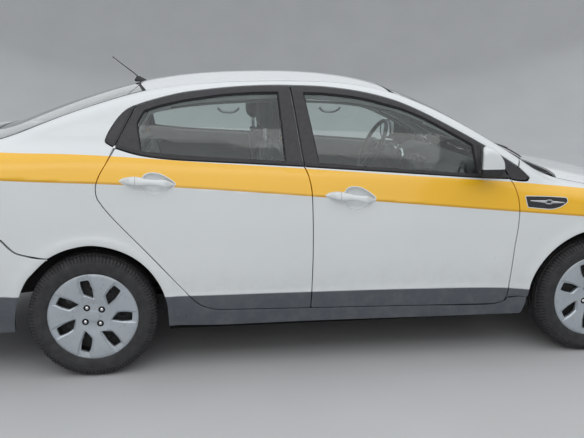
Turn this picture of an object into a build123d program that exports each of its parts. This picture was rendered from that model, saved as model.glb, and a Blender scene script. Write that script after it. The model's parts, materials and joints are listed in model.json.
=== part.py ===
from build123d import *
import math
import os

os.makedirs("parts", exist_ok=True)

# A four-door taxi cab, a small notchback saloon. Millimetres.
# +X is forwards, +Y is the car's left, +Z is up. The origin is on the ground, under the middle of the car.

# ---------------------------------------------------------------- driving dimensions
AXLE_F, AXLE_R = 1340.0, -1230.0        # wheelbase 2570
WHEEL_Z, TYRE_R, TYRE_W = 306.0, 306.0, 185.0   # 185/65 R15, standing
TRACK = 749.0                           # centre of a tyre from the car's middle plane
RIM_R, RIM_W = 191.0, 150.0
ARCH_R = 354.0
SILL_Z = 217.0                          # underside of the sills
GAP = 7.0                               # shut line
FLANGE = 10.0                           # door skin's flange
BELT_Z = 1008.0
STEER_TOP = (1322.0, 575.0, 850.0)      # strut top mount
STEER_BALL = (1342.0, 688.0, 214.0)     # lower ball joint
DOOR_AXIS = {"front": (862.0, 834.0), "rear": (-195.0, 837.0)}
BONNET_AXIS = (1020.0, 975.0)           # x, z
LID_AXIS = (-1480.0, 1078.0)            # x, z
STEER_WHEEL = (412.0, 370.0, 985.0)     # centre of the steering wheel
COLUMN_TILT = 27.0

# Top of the body along the car: x, height at the middle plane, height at 850 from it
TOP = [
    (2240, 690, 600),
    (2090, 738, 650),
    (1900, 810, 730),
    (1700, 862, 788),
    (1450, 917, 843),
    (1250, 952, 879),
    (1120, 972, 897),
    (1060, 1010, 922),
    (915, 1100, 1014),
    (750, 1192, 1102),
    (585, 1278, 1192),
    (420, 1350, 1265),
    (240, 1414, 1338),
    (66, 1442, 1345),
    (-115, 1455, 1345),
    (-284, 1459, 1346),
    (-453, 1457, 1345),
    (-618, 1450, 1340),
    (-783, 1437, 1330),
    (-947, 1412, 1308),
    (-1060, 1385, 1285),
    (-1305, 1320, 1215),
    (-1575, 1224, 1118),
    (-1735, 1163, 1068),
    (-1900, 1150, 1062),
    (-2050, 1132, 1050),
    (-2240, 1105, 1030),
]


def mirrored(points):
    """The same outline points on the other side of the middle plane."""
    return [(-y, z) for y, z in points]


def section(side, shoulder, glass, top):
    """Cross-section between its two sides, run the whole length. Each argument is a run of (y, z) points: an arc through three, or a line."""
    with BuildPart() as p:
        with BuildSketch(Plane.YZ.offset(-2300)):
            with BuildLine():
                for m in (lambda q: q, mirrored):
                    s, h, g, t = m(side), m(shoulder), m(glass), m(top)
                    Line(m([(0, 100)])[0], m([(abs(side[0][0]), 100)])[0])
                    Line(m([(abs(side[0][0]), 100)])[0], s[0])
                    ThreePointArc(*s)
                    Line(s[2], h[0])
                    ThreePointArc(h[0], g[0], t[0])
                    Line(t[0], t[1])
                    Line(t[1], m([(0, 1560)])[0])
            make_face()
        extrude(amount=4600)
    return p.part


def side_section(d):
    """The outer side drawn in by d."""
    return section(
        [(800 - d, 217), (850 - d, 600), (808 - d, 955)],
        [(772 - d, BELT_Z)],
        [(687 - d, 1204)],
        [(578 - d, 1388), (492 - d, 1560)],
    )


def plan(d):
    """Plan view outline drawn in by d, run upwards."""
    def q(x, y):
        return (x * (1 - d / 2185), y * (1 - d / 850))
    with BuildPart() as p:
        with BuildSketch(Plane.XY.offset(100)):
            with BuildLine():
                for k in (1, -1):
                    ThreePointArc(q(-2125, 560 * k), q(-2035, 715 * k), q(-1800, 799 * k))
                    ThreePointArc(q(-1800, 799 * k), q(-1230, 836 * k), q(-600, 850 * k))
                    Line(q(-600, 850 * k), q(500, 850 * k))
                    ThreePointArc(q(500, 850 * k), q(1130, 842 * k), q(1700, 806 * k))
                    ThreePointArc(q(1700, 806 * k), q(1945, 700 * k), q(2090, 480 * k))
                ThreePointArc(q(-2125, 560), q(-2185, 0), q(-2125, -560))
                ThreePointArc(q(2090, 480), q(2185, 0), q(2090, -480))
            make_face()
        extrude(amount=1500)
    return p.part


def ends(d):
    """Side view of the nose, the tail and the underside, drawn in by d, run across."""
    def q(x, z):
        return (x - d if x > 0 else x + d, z + d if z < 300 else z)
    with BuildPart() as p:
        with BuildSketch(Plane.XZ):
            with BuildLine():
                Polyline(q(-2060, 1600), q(-2088, 1128), q(-2146, 790), q(-2178, 715), q(-2186, 600))
                ThreePointArc(q(-2186, 600), q(-2170, 380), q(-2110, 228))
                Polyline(q(-2110, 228), q(-1600, 236), q(-900, SILL_Z), q(950, SILL_Z), q(1600, 200), q(2100, 190))
                ThreePointArc(q(2100, 190), q(2184, 400), q(2178, 560))
                Polyline(q(2178, 560), q(2128, 700), q(2070, 770), q(2060, 1600))
                Line(q(2060, 1600), q(-2060, 1600))
            make_face()
        extrude(amount=1000, both=True)
    return p.part


def top(d):
    """Everything under the body's top surface, lowered by d."""
    with BuildPart() as p:
        for x, middle, edge in TOP:
            with BuildSketch(Plane.YZ.offset(x)):
                with BuildLine():
                    ThreePointArc((-850, edge - d), (0, middle - d), (850, edge - d))
                    Polyline((850, edge - d), (850, 60), (-850, 60), (-850, edge - d))
                make_face()
        loft(ruled=True)
    return p.part


def hull(d):
    """The closed body drawn in by d."""
    with BuildPart() as p:
        add(side_section(d))
        add(plan(d), mode=Mode.INTERSECT)
        add(ends(d), mode=Mode.INTERSECT)
        add(top(d), mode=Mode.INTERSECT)
    return p.part


def polygon(points, grow=0.0):
    """Corner points of a closed outline, drawn out by grow. A point that starts with 'arc' is the middle of an arc between its neighbours, and an arc becomes five chords."""
    pts = []
    n = len(points)
    for i, p in enumerate(points):
        if p[0] == "arc":
            (x1, y1), (x2, y2), (x3, y3) = points[i - 1], p[1:], points[(i + 1) % n]
            # centre of the circle through the three points
            k = 2 * (x1 * (y2 - y3) + x2 * (y3 - y1) + x3 * (y1 - y2))
            u, v, w = x1 * x1 + y1 * y1, x2 * x2 + y2 * y2, x3 * x3 + y3 * y3
            cx = (u * (y2 - y3) + v * (y3 - y1) + w * (y1 - y2)) / k
            cy = (u * (x3 - x2) + v * (x1 - x3) + w * (x2 - x1)) / k
            r = math.hypot(x1 - cx, y1 - cy)
            a1, a2, a3 = (math.atan2(y - cy, x - cx) for x, y in ((x1, y1), (x2, y2), (x3, y3)))
            turn = math.remainder(a2 - a1, 2 * math.pi) + math.remainder(a3 - a2, 2 * math.pi)
            for j in range(1, 5):
                a = a1 + turn * j / 5
                pts.append((cx + r * math.cos(a), cy + r * math.sin(a)))
        else:
            pts.append(tuple(p))
    if not grow:
        return pts
    n = len(pts)
    area = sum(pts[i][0] * pts[(i + 1) % n][1] - pts[(i + 1) % n][0] * pts[i][1] for i in range(n)) / 2
    s = grow if area > 0 else -grow
    out = []
    for i in range(n):
        (x0, y0), (x1, y1), (x2, y2) = pts[i - 1], pts[i], pts[(i + 1) % n]
        l1, l2 = math.hypot(x1 - x0, y1 - y0), math.hypot(x2 - x1, y2 - y1)
        n1, n2 = ((y1 - y0) / l1, (x0 - x1) / l1), ((y2 - y1) / l2, (x1 - x2) / l2)
        k = s / (1 + n1[0] * n2[0] + n1[1] * n2[1])
        out.append((x1 + k * (n1[0] + n2[0]), y1 + k * (n1[1] + n2[1])))
    return out


def across(points, near=0.0, far=1000.0, grow=0.0, shift=0.0):
    """Prism over a side view outline, on both sides of the middle plane, from |y| near to far."""
    with BuildPart() as p:
        with BuildSketch(Plane.XZ):
            with BuildLine():
                Polyline(*[(x + shift, z) for x, z in polygon(points, grow)], close=True)
            make_face()
        extrude(amount=far, both=True)
        if near:
            with Locations((0, 0, 800)):
                Box(9000, 2 * near, 3000, mode=Mode.SUBTRACT)
    return p.part


def upwards(points, low=100.0, high=1560.0, grow=0.0):
    """Prism over a plan view outline."""
    with BuildPart() as p:
        with BuildSketch(Plane.XY.offset(low)):
            with BuildLine():
                Polyline(*polygon(points, grow), close=True)
            make_face()
        extrude(amount=high - low)
    return p.part


def half(side):
    """Half space on one side, as a big box: +1 is the left."""
    with BuildPart() as p:
        with Locations((0, side * 1000, 800)):
            Box(9000, 2000, 3000)
    return p.part


def block(x0, x1, y0, y1, z0, z1):
    with BuildPart() as p:
        with Locations(((x0 + x1) / 2, (y0 + y1) / 2, (z0 + z1) / 2)):
            Box(abs(x1 - x0), abs(y1 - y0), abs(z1 - z0))
    return p.part


def rod(a, b, r, inner=0.0):
    """Round bar or tube from a to b."""
    a, b = Vector(*a), Vector(*b)
    with BuildPart() as p:
        with BuildSketch(Plane(origin=a, z_dir=b - a)):
            Circle(r)
            if inner:
                Circle(inner, mode=Mode.SUBTRACT)
        extrude(amount=(b - a).length)
    return p.part


def flip(part):
    """The same piece on the other side of the car."""
    return mirror(part, about=Plane.XZ)


def save(part, name):
    part.label = name
    export_step(part, f"parts/{name}.step")


# ---------------------------------------------------------------- side view outlines (x, z)
FRONT_DOOR = [
    (-171, 309), (800, 284), ("arc", 843, 290), (853, 325), (877, 582), ("arc", 893, 790), (849, 935),
    (776, 1052), ("arc", 330, 1290), (-247, 1391), (-201, 1022), ("arc", -176, 950), (-168, 870), (-164, 600),
]
REAR_DOOR = [
    (-171, 309), (-164, 600), (-168, 870), ("arc", -176, 950), (-201, 1022), (-247, 1391), ("arc", -640, 1375),
    (-999, 1299), (-1102, 1114), ("arc", -1200, 920), (-1150, 834), (-929, 585), (-771, 398), ("arc", -715, 340), (-640, 319),
]
FRONT_WINDOW = [(-121, 1027), (-172, 1356), ("arc", 190, 1291), (672, 1100), (680, 957)]
REAR_WINDOW = [(-279, 1033), (-299, 1361), ("arc", -640, 1345), (-960, 1274), (-994, 1215), (-985, 1092), ("arc", -640, 1052)]
FRONT_ARCH = [(1340 - 368, 100), (1340 - 368, 306), ("arc", 1340 - 254, 306 + 252), (1340, 306 + ARCH_R), ("arc", 1340 + 252, 306 + 250), (1340 + ARCH_R, 306), (1340 + ARCH_R, 100)]
REAR_ARCH = [(AXLE_R - ARCH_R, 100), (AXLE_R - ARCH_R, 306), ("arc", AXLE_R, 306 + ARCH_R), (AXLE_R + ARCH_R, 306), (AXLE_R + ARCH_R, 100)]
HEADLAMP = [(2230, 652), (2100, 640), (1960, 648), (1800, 690), (1700, 762), ("arc", 1720, 800), (1770, 812), (2000, 790), (2230, 760)]
TAIL_LAMP = [(-2300, 800), (-2060, 806), ("arc", -1960, 860), (-1900, 960), (-1915, 1000), (-2080, 1020), (-2300, 1020)]
# plan view outlines (x, y)
BONNET = [(1078, 690), ("arc", 1146, 0), (1078, -690), (1400, -735), (1750, -690), (1990, -500), (2068, -400), ("arc", 2092, 0), (2068, 400), (1990, 500), (1750, 690), (1400, 735)]
BOOT = [(-1745, 590), ("arc", -1775, 0), (-1745, -590), (-2000, -600), (-2300, -560), (-2300, 560), (-2000, 600)]
SCREEN = [(1066, 0), ("arc", 1040, 330), (925, 668), (700, 655), (235, 520), ("arc", 262, 0), (235, -520), (700, -655), (925, -668), ("arc", 1040, -330)]
BACKLIGHT = [(-1010, 0), ("arc", -1000, 250), (-965, 520), (-1300, 585), (-1690, 640), ("arc", -1735, 0), (-1690, -640), (-1300, -585), (-965, -520), ("arc", -1000, -250)]

# ---------------------------------------------------------------- shared shells
hull_0 = hull(0)
hull_8 = hull(8)
hull_25 = hull(25)
hull_45 = hull(45)
top_30 = top(30)
core_flange = side_section(FLANGE)
core_under = side_section(FLANGE + 5)
core_door = section(
    [(715, 217), (752, 600), (745, 930)],
    [(732, BELT_Z)],
    [(650, 1204)],
    [(542, 1388), (456, 1560)],
)
core_thick = section(
    [(700, 217), (742, 600), (735, 930)],
    [(722, BELT_Z)],
    [(640, 1204)],
    [(532, 1388), (446, 1560)],
)
core_glass_out = side_section(8)
core_glass_in = side_section(13)
plan_0 = plan(0)
plan_60 = plan(60)
LEFT, RIGHT = half(1), half(-1)

with BuildPart() as shell_8:
    add(hull_0)
    add(hull_8, mode=Mode.SUBTRACT)
with BuildPart() as shell_25:
    add(hull_0)
    add(hull_25, mode=Mode.SUBTRACT)
with BuildPart() as shell_45:
    add(hull_0)
    add(hull_45, mode=Mode.SUBTRACT)

# ---------------------------------------------------------------- doors
HANDLE = {"front": (65, 872), "rear": (-950, 958)}  # middle of the grip: x, z


def door_solid(shape, window, which):
    """Outer flange, inner body behind it, the window cut through both, and the grip on the outside."""
    with BuildPart() as d:
        add(side_section(0))
        add(core_door, mode=Mode.SUBTRACT)
        add(plan_0, mode=Mode.INTERSECT)
        add(LEFT, mode=Mode.INTERSECT)
        add(across(shape, grow=-GAP / 2), mode=Mode.INTERSECT)
        # the deep part is narrower than the flange, most of all along its rear edge
        with BuildPart(mode=Mode.PRIVATE) as rim:
            add(across(shape, grow=-GAP / 2))
            with BuildPart(mode=Mode.PRIVATE) as deep:
                add(across(shape, grow=-14))
                add(across(shape, grow=-14, shift=60), mode=Mode.INTERSECT)
            add(deep.part, mode=Mode.SUBTRACT)
            add(core_flange, mode=Mode.INTERSECT)
        add(rim.part, mode=Mode.SUBTRACT)
        add(across(window), mode=Mode.SUBTRACT)
        hx, hz = HANDLE[which]
        # grip: a bar on two feet, standing off the skin
        y_skin = 838 if which == "front" else 826
        with Locations((hx, y_skin + 27, hz)):
            Box(230, 22, 30)
        for dx in (-98, 98):
            with Locations((hx + dx, y_skin + 6, hz)):
                Box(28, 44, 24)
    return d.part


def glass_solid(window):
    with BuildPart() as g:
        add(core_glass_out)
        add(core_glass_in, mode=Mode.SUBTRACT)
        add(LEFT, mode=Mode.INTERSECT)
        add(across(window), mode=Mode.INTERSECT)
    return g.part


doors = {}
for which, shape, window in (("front", FRONT_DOOR, FRONT_WINDOW), ("rear", REAR_DOOR, REAR_WINDOW)):
    door = door_solid(shape, window, which)
    doors[which] = door
    pane = glass_solid(window)
    for side, name in ((1, "left"), (-1, "right")):
        with BuildPart() as door_part:
            add(door if side == 1 else flip(door))
        save(door_part.part, f"{which}_door_{name}")
        with BuildPart() as pane_part:
            add(pane if side == 1 else flip(pane))
        save(pane_part.part, f"{which}_window_{name}")

# door mirrors: a housing on a stalk from the sail corner of the front door
with BuildPart() as mirror_left:
    with BuildSketch(Plane.XZ.offset(-800)):
        with BuildLine():
            Polyline(*polygon([(650, 968), (772, 972), ("arc", 762, 1050), (700, 1098), ("arc", 660, 1104), (640, 1080)]), close=True)
        make_face()
    extrude(amount=-158)
    with Locations((715, 788, 985)):
        Box(80, 60, 30)
    add(side_section(0.4), mode=Mode.SUBTRACT)
    add(doors["front"], mode=Mode.SUBTRACT)
    mirror_main = mirror_left.solids().sort_by(SortBy.VOLUME)[-1]
with BuildPart() as mirror_left:
    add(mirror_main)
save(mirror_left.part, "door_mirror_left")
with BuildPart() as mirror_right:
    add(flip(mirror_left.part))
save(mirror_right.part, "door_mirror_right")

# ---------------------------------------------------------------- body sides: pillars, sill, quarter, one pressing each
BODY_SIDE = [
    (-870, 217), (960, 217), (975, 306), (935, 320), (935, 925), (945, 945), (905, 1000), (860, 1078), (760, 1160), (600, 1260), (200, 1480),
    (-900, 1520), (-2300, 1520), (-2300, 772), (-1720, 742), (-1640, 690), (-1585, 640), (-1500, 606), (-1380, 596), (-870, 596),
]
with BuildPart() as body_side_left:
    add(hull_0)
    with BuildPart(mode=Mode.PRIVATE) as inside:
        add(core_thick)
        add(plan_60, mode=Mode.INTERSECT)
        add(top_30, mode=Mode.INTERSECT)
    add(inside.part, mode=Mode.SUBTRACT)
    with BuildPart(mode=Mode.PRIVATE) as deck_edge:
        # the pressing turns inwards beside the boot opening
        add(shell_25.part)
        add(block(-2300, -1600, 590, 900, 1000, 1400), mode=Mode.INTERSECT)
    add(deck_edge.part)
    add(LEFT, mode=Mode.INTERSECT)
    add(across(BODY_SIDE), mode=Mode.INTERSECT)
    # the roof, both screens and the boot opening are other pieces' places
    add(block(-1100, 300, -10, 527, 1300, 1560), mode=Mode.SUBTRACT)
    add(upwards(SCREEN, low=900), mode=Mode.SUBTRACT)
    add(upwards(BACKLIGHT, low=1040), mode=Mode.SUBTRACT)
    add(block(-1800, -1600, -10, 560, 900, 1560), mode=Mode.SUBTRACT)
    add(across(REAR_ARCH), mode=Mode.SUBTRACT)
    add(across(TAIL_LAMP, grow=1.5), mode=Mode.SUBTRACT)
    add(upwards(BOOT, grow=3.5), mode=Mode.SUBTRACT)
    # door apertures: wide where the doors' flanges lie, narrower behind
    for shape in (FRONT_DOOR, REAR_DOOR):
        with BuildPart(mode=Mode.PRIVATE) as rebate:
            add(across(shape, grow=GAP / 2))
            add(core_under, mode=Mode.SUBTRACT)
        with BuildPart(mode=Mode.PRIVATE) as deep:
            add(across(shape, grow=-8))
            add(across(shape, grow=-8, shift=54), mode=Mode.INTERSECT)
        add(rebate.part, mode=Mode.SUBTRACT)
        add(deep.part, mode=Mode.SUBTRACT)
    # the hinge pillars stand back from the swinging edges, the front one also from the wing
    add(block(815, 1000, 777, 900, 320, 1003), mode=Mode.SUBTRACT)
    add(block(890, 1000, 740, 900, 930, 1060), mode=Mode.SUBTRACT)
    add(block(-246, -150, 790, 900, 300, 1000), mode=Mode.SUBTRACT)
    jack = body_side_left.solids().sort_by(SortBy.VOLUME)[-1]
with BuildPart() as body_side_left:
    add(jack)
save(body_side_left.part, "body_side_left")
with BuildPart() as body_side_right:
    add(flip(body_side_left.part))
save(body_side_right.part, "body_side_right")

# ---------------------------------------------------------------- roof, screens, bonnet, boot lid
with BuildPart() as roof_panel:
    add(hull_0)
    add(top_30, mode=Mode.SUBTRACT)
    add(block(-1100, 300, -527, 527, 1300, 1560), mode=Mode.INTERSECT)
    add(upwards(SCREEN, grow=3), mode=Mode.SUBTRACT)
    add(upwards(BACKLIGHT, grow=3), mode=Mode.SUBTRACT)
    solids = roof_panel.solids().sort_by(SortBy.VOLUME)
with BuildPart() as roof_main:
    add(solids[-1])
save(roof_main.part, "roof_panel")

for name, shape in (("windscreen", SCREEN), ("rear_window", BACKLIGHT)):
    with BuildPart() as screen:
        add(hull_0)
        add(top(7), mode=Mode.SUBTRACT)
        add(upwards(shape, low=900), mode=Mode.INTERSECT)
        add(side_section(43), mode=Mode.INTERSECT)
    save(screen.part, name)

# ---------------------------------------------------------------- bonnet, wings, bumpers, lamps
GRILLE_Y = 430.0
with BuildPart() as bonnet:
    add(shell_25.part)
    add(upwards(BONNET, low=690, high=1100), mode=Mode.INTERSECT)
    add(across(HEADLAMP, near=404, grow=4), mode=Mode.SUBTRACT)
save(bonnet.part, "bonnet")

GOOSENECK = [(0, 0), (-20, -298), (-150, -262), (-255, -170), (-305, -60), (-318, 32)]  # x, z from the lid's hinge
with BuildPart() as boot_lid:
    add(shell_25.part)
    add(upwards(BOOT, low=500), mode=Mode.INTERSECT)
    add(across([(-1700, 1400), (-1700, 1050), (-2040, 805), (-2300, 805), (-2300, 1400)]), mode=Mode.INTERSECT)
    for k in (1, -1):
        with BuildSketch(Plane.XZ.offset(-k * 560 - 9)):
            with BuildLine():
                Polyline(*[(LID_AXIS[0] + x, LID_AXIS[1] + z) for x, z in GOOSENECK])
            trace(line_width=20)
        extrude(amount=18)
save(boot_lid.part, "boot_lid")

FENDER = [
    (859, 322), (884, 582), ("arc", 900, 790), (856, 938), (912, 1003), (940, 1044), (1100, 1070), (1720, 1000), (1720, 780),
    (1700, 738), (1660, 600), (1640, 300), (1500, 240), (1100, 240), (959, 322),
]
with BuildPart() as wing:
    add(shell_25.part)
    add(LEFT, mode=Mode.INTERSECT)
    add(across(FENDER, near=560), mode=Mode.INTERSECT)
    add(across(FRONT_ARCH), mode=Mode.SUBTRACT)
    add(upwards(BONNET, low=600, grow=3.5), mode=Mode.SUBTRACT)
    add(upwards(SCREEN, low=600, grow=3), mode=Mode.SUBTRACT)
    add(across(HEADLAMP, grow=3), mode=Mode.SUBTRACT)
    add(block(960, 1300, 0, 690, 900, 1100), mode=Mode.SUBTRACT)
    add(body_side_left.part, mode=Mode.SUBTRACT)
    wing_main = wing.solids().sort_by(SortBy.VOLUME)[-1]
with BuildPart() as front_wings:
    add(wing_main)
    add(flip(wing_main))
save(front_wings.part, "front_wings")

with BuildPart() as cowl_panel:
    add(shell_25.part)
    add(block(900, 1250, -688, 688, 900, 1100), mode=Mode.INTERSECT)
    add(upwards(BONNET, low=600, grow=6), mode=Mode.SUBTRACT)
    add(upwards(SCREEN, low=600, grow=3), mode=Mode.SUBTRACT)
    add(front_wings.part, mode=Mode.SUBTRACT)
    cowl_main = cowl_panel.solids().sort_by(SortBy.VOLUME)[-1]
with BuildPart() as cowl_panel:
    add(cowl_main)
save(cowl_panel.part, "cowl_panel")

NOSE = [(2300, 190), (1643, 190), (1643, 300), (1664, 600), (1704, 734), (1704, 760), (2000, 900), (2300, 900)]
with BuildPart() as front_bumper:
    add(shell_25.part)
    add(across(NOSE), mode=Mode.INTERSECT)
    add(across(FRONT_ARCH), mode=Mode.SUBTRACT)
    add(upwards(BONNET, low=500, grow=4), mode=Mode.SUBTRACT)
    add(across(HEADLAMP, near=401, grow=3), mode=Mode.SUBTRACT)
    add(block(1600, 1995, -900, 900, 770, 1000), mode=Mode.SUBTRACT)
    # lower intake, and the slot grille between the lamps
    add(block(2000, 2300, -400, 400, 300, 455), mode=Mode.SUBTRACT)
    add(block(2000, 2300, -330, 330, 640, 700), mode=Mode.SUBTRACT)
    add(block(1000, 2130, -600, 600, 100, 212), mode=Mode.SUBTRACT)
    add(front_wings.part, mode=Mode.SUBTRACT)
    bumper_main = front_bumper.solids().sort_by(SortBy.VOLUME)[-1]
with BuildPart() as front_bumper:
    add(bumper_main)
    # tow eye's threaded socket, in a shallow recess
    with Locations((2150, -240, 520)):
        Cylinder(radius=26, height=110, rotation=(0, 90, 0))
    add(hull_0, mode=Mode.INTERSECT)
    add(rod((2156, -240, 520), (2300, -240, 520), 20), mode=Mode.SUBTRACT)
    add(rod((2116, -240, 520), (2200, -240, 520), 8), mode=Mode.SUBTRACT)
    for k in (1, -1):
        add(rod((2000, 78 * k, 560), (2300, 78 * k, 560), 3), mode=Mode.SUBTRACT)
save(front_bumper.part, "front_bumper")

with BuildPart() as grille:
    add(hull_8)
    add(block(2110, 2200, -398, 398, 302, 453), mode=Mode.INTERSECT)
    with Locations(*[(2150, 0, 302 + 151 / 6 * (i + 0.5)) for i in range(6)]):
        Box(200, 900, 13, mode=Mode.SUBTRACT)
save(grille.part, "lower_grille")

TAIL = [(-2300, 210), (-1588, 210), (-1588, 606), (-1643, 686), (-1722, 737), (-2000, 760), (-2300, 767)]
with BuildPart() as rear_bumper:
    add(shell_25.part)
    add(across(TAIL), mode=Mode.INTERSECT)
    add(block(-2060, -1500, -740, 740, 100, 800), mode=Mode.SUBTRACT)
    add(across(REAR_ARCH), mode=Mode.SUBTRACT)
    add(body_side_left.part, mode=Mode.SUBTRACT)
    add(body_side_right.part, mode=Mode.SUBTRACT)
    tail_skin = rear_bumper.solids().sort_by(SortBy.VOLUME)[-1]
with BuildPart() as rear_bumper:
    add(tail_skin)
save(rear_bumper.part, "rear_bumper")

with BuildPart() as tail_panel:
    # behind the bumper and under the boot lid, between the tail lamps
    add(hull(6))
    add(block(-2300, -2050, -561, 561, 440, 798), mode=Mode.INTERSECT)
    add(hull(31), mode=Mode.SUBTRACT)
    add(rear_bumper.part, mode=Mode.SUBTRACT)
    tail_main = tail_panel.solids().sort_by(SortBy.VOLUME)[-1]
with BuildPart() as tail_panel:
    add(tail_main)
    for k in (1, -1):
        add(rod((-2300, 75 * k, 784), (-2000, 75 * k, 784), 3), mode=Mode.SUBTRACT)
save(tail_panel.part, "tail_panel")

for name, shape in (("headlamp", HEADLAMP), ("tail_lamp", TAIL_LAMP)):
    with BuildPart() as lamp:
        add(shell_45.part)
        add(LEFT, mode=Mode.INTERSECT)
        if name == "headlamp":
            add(across(shape, near=407), mode=Mode.INTERSECT)
        else:
            add(across(shape, near=480), mode=Mode.INTERSECT)
            add(upwards(BOOT, low=600, grow=4), mode=Mode.SUBTRACT)
        lamp_main = lamp.solids().sort_by(SortBy.VOLUME)[-1]
    with BuildPart() as pair:
        add(lamp_main)
        add(flip(lamp_main))
    save(pair.part, f"{name}s")

# ---------------------------------------------------------------- floor, bulkheads, inner structure
with BuildPart() as floor_pan:
    add(block(-480, 980, -698, 698, 228, 244))
    add(block(-440, 980, -130, 130, 228, 400))
    add(block(-500, 1000, -112, 112, 200, 382), mode=Mode.SUBTRACT)
    add(block(-492, -480, -698, 698, 228, 375))
    add(block(-500, -470, -112, 112, 200, 372), mode=Mode.SUBTRACT)
    add(block(-1000, -480, -600, 600, 363, 375))
    add(block(-1000, -988, -600, 600, 363, 470))
    add(block(-2120, -988, -600, 600, 458, 470))
    # spare wheel well
    with Locations((-1725, -70, 382)):
        Cylinder(radius=300, height=176)
    with Locations((-1725, -70, 388)):
        Cylinder(radius=290, height=176, mode=Mode.SUBTRACT)
    # dash panel and the wheelhouse walls and rails in front of it
    add(block(968, 980, -690, 690, 228, 900))
    for k in (1, -1):
        add(block(970, 1925, 400 * k, 460 * k, 370, 450))
        add(block(970, 1700, 458 * k, 470 * k, 330, 700))
        add(block(1170, 1480, 458 * k, 470 * k, 600, 826))
        add(block(1170, 1480, 458 * k, 665 * k, 816, 826))
        add(block(1170, 1182, 458 * k, 665 * k, 700, 826))
        add(block(1468, 1480, 458 * k, 665 * k, 700, 826))
    add(block(1885, 1925, -460, 460, 370, 450))
    for x, k in ((-1230, 1), (-1230, -1)):
        # rear wheelhouses
        with BuildPart(mode=Mode.PRIVATE) as house:
            with Locations((x, 667 * k, 306)):
                Cylinder(radius=376, height=134, rotation=(90, 0, 0))
            with Locations((x, (673 if k > 0 else -673), 306)):
                Cylinder(radius=366, height=134, rotation=(90, 0, 0), mode=Mode.SUBTRACT)
            add(block(-1700, -700, -900, 900, -100, 420), mode=Mode.SUBTRACT)
        add(house.part)
        add(block(-1606, -854, 590 * k, 602 * k, 400, 470))
    add(block(950, 1000, -112, 112, 200, 382), mode=Mode.SUBTRACT)
    # strut top holes, wider than the struts
    for k in (1, -1):
        add(rod((STEER_TOP[0], (STEER_TOP[1] + 5) * k, 780), (STEER_TOP[0], (STEER_TOP[1] + 5) * k, 900), 36), mode=Mode.SUBTRACT)
        add(block(1285, 1395, 450 * k, 480 * k, 290, 400), mode=Mode.SUBTRACT)
    # back panel of the cabin
    add(block(-1022, -1010, -600, 600, 458, 1030))
    for other in (body_side_left.part, body_side_right.part, rear_bumper.part, front_bumper.part, tail_panel.part):
        add(other, mode=Mode.SUBTRACT)
    floor_main = floor_pan.solids().sort_by(SortBy.VOLUME)[-1]
with BuildPart() as floor_pan:
    add(floor_main)
save(floor_pan.part, "floor_pan")

with BuildPart() as parcel_shelf:
    with BuildSketch(Plane.XZ):
        with BuildLine():
            Polyline((-1006, 1046), (-1684, 1106), (-1684, 1116), (-1006, 1056), close=True)
        make_face()
    extrude(amount=540, both=True)
save(parcel_shelf.part, "parcel_shelf")

with BuildPart() as liner:
    with Locations((AXLE_F, 645, WHEEL_Z)):
        Cylinder(radius=367, height=330, rotation=(90, 0, 0))
        Cylinder(radius=363, height=340, rotation=(90, 0, 0), mode=Mode.SUBTRACT)
    add(block(900, 1800, -900, 900, -100, 440), mode=Mode.SUBTRACT)
    # the strut passes through its top
    add(rod((1326, 615, 600), (1322, 575, 850), 92), mode=Mode.SUBTRACT)
    add(wing_main, mode=Mode.SUBTRACT)
    add(front_bumper.part, mode=Mode.SUBTRACT)
    liner_main = liner.solids().sort_by(SortBy.VOLUME)[-1]
with BuildPart() as wheelhouse_liners:
    add(liner_main)
    add(flip(liner_main))
save(wheelhouse_liners.part, "wheelhouse_liners")

# ---------------------------------------------------------------- power unit, suspension, tank, exhaust
with BuildPart() as engine:
    add(block(1190, 1700, -370, 340, 330, 790))
save(engine.part, "engine_block")

with BuildPart() as radiator:
    add(block(1850, 1880, -340, 340, 300, 690))
save(radiator.part, "radiator")

with BuildPart() as subframe:
    add(block(1180, 1440, -360, 360, 232, 272))
    for k in (1, -1):
        add(rod((1342, 330 * k, 252), (1342, 672 * k, 214), 14))
        with Locations((1342, 687 * k, 214)):
            Cylinder(radius=20, height=14)
    add(block(1210, 1430, -30, 30, 225, 300))
save(subframe.part, "front_subframe")

with BuildPart() as drive_shafts:
    for k in (1, -1):
        add(rod((AXLE_F, (345 if k > 0 else 375) * k, 350), (AXLE_F, 600 * k, 312), 13))
save(drive_shafts.part, "drive_shafts")

with BuildPart() as rack:
    add(rod((1150, -380, 345), (1150, 380, 345), 24))
save(rack.part, "steering_rack")

with BuildPart() as rear_beam:
    add(block(-1110, -1060, -560, 560, 300, 345))
    for k in (1, -1):
        add(block(-1290, -840, 545 * k, 585 * k, 285, 330))
        add(block(-1285, -1175, 545 * k, 655 * k, 256, 356))
        add(rod((AXLE_R, 540 * k, WHEEL_Z), (AXLE_R, 700 * k, WHEEL_Z), 20.05), mode=Mode.SUBTRACT)
save(rear_beam.part, "rear_axle_beam")

with BuildPart() as rear_springs:
    for k in (1, -1):
        add(rod((-1085, 480 * k, 345.2), (-1085, 480 * k, 457.8), 50, inner=36))
save(rear_springs.part, "rear_springs")

with BuildPart() as rear_dampers:
    for k in (1, -1):
        add(rod((-1316, 565 * k, 300), (-1316, 565 * k, 457.8), 22))
save(rear_dampers.part, "rear_dampers")

with BuildPart() as fuel_tank:
    add(block(-960, -650, -530, 240, 220, 358))
save(fuel_tank.part, "fuel_tank")

with BuildPart() as exhaust:
    add(rod((1100, 0, 262), (-530, 0, 262), 24))
    add(rod((-530, 0, 262), (-590, 290, 262), 24))
    add(rod((-590, 290, 262), (-1640, 290, 262), 24))
    with Locations((-530, 0, 262), (-590, 290, 262)):
        Sphere(24)
    with Locations((-1810, 400, 330)):
        Box(380, 220, 150)
    add(rod((-1990, 470, 290), (-2085, 470, 280), 22))
save(exhaust.part, "exhaust")

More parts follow.
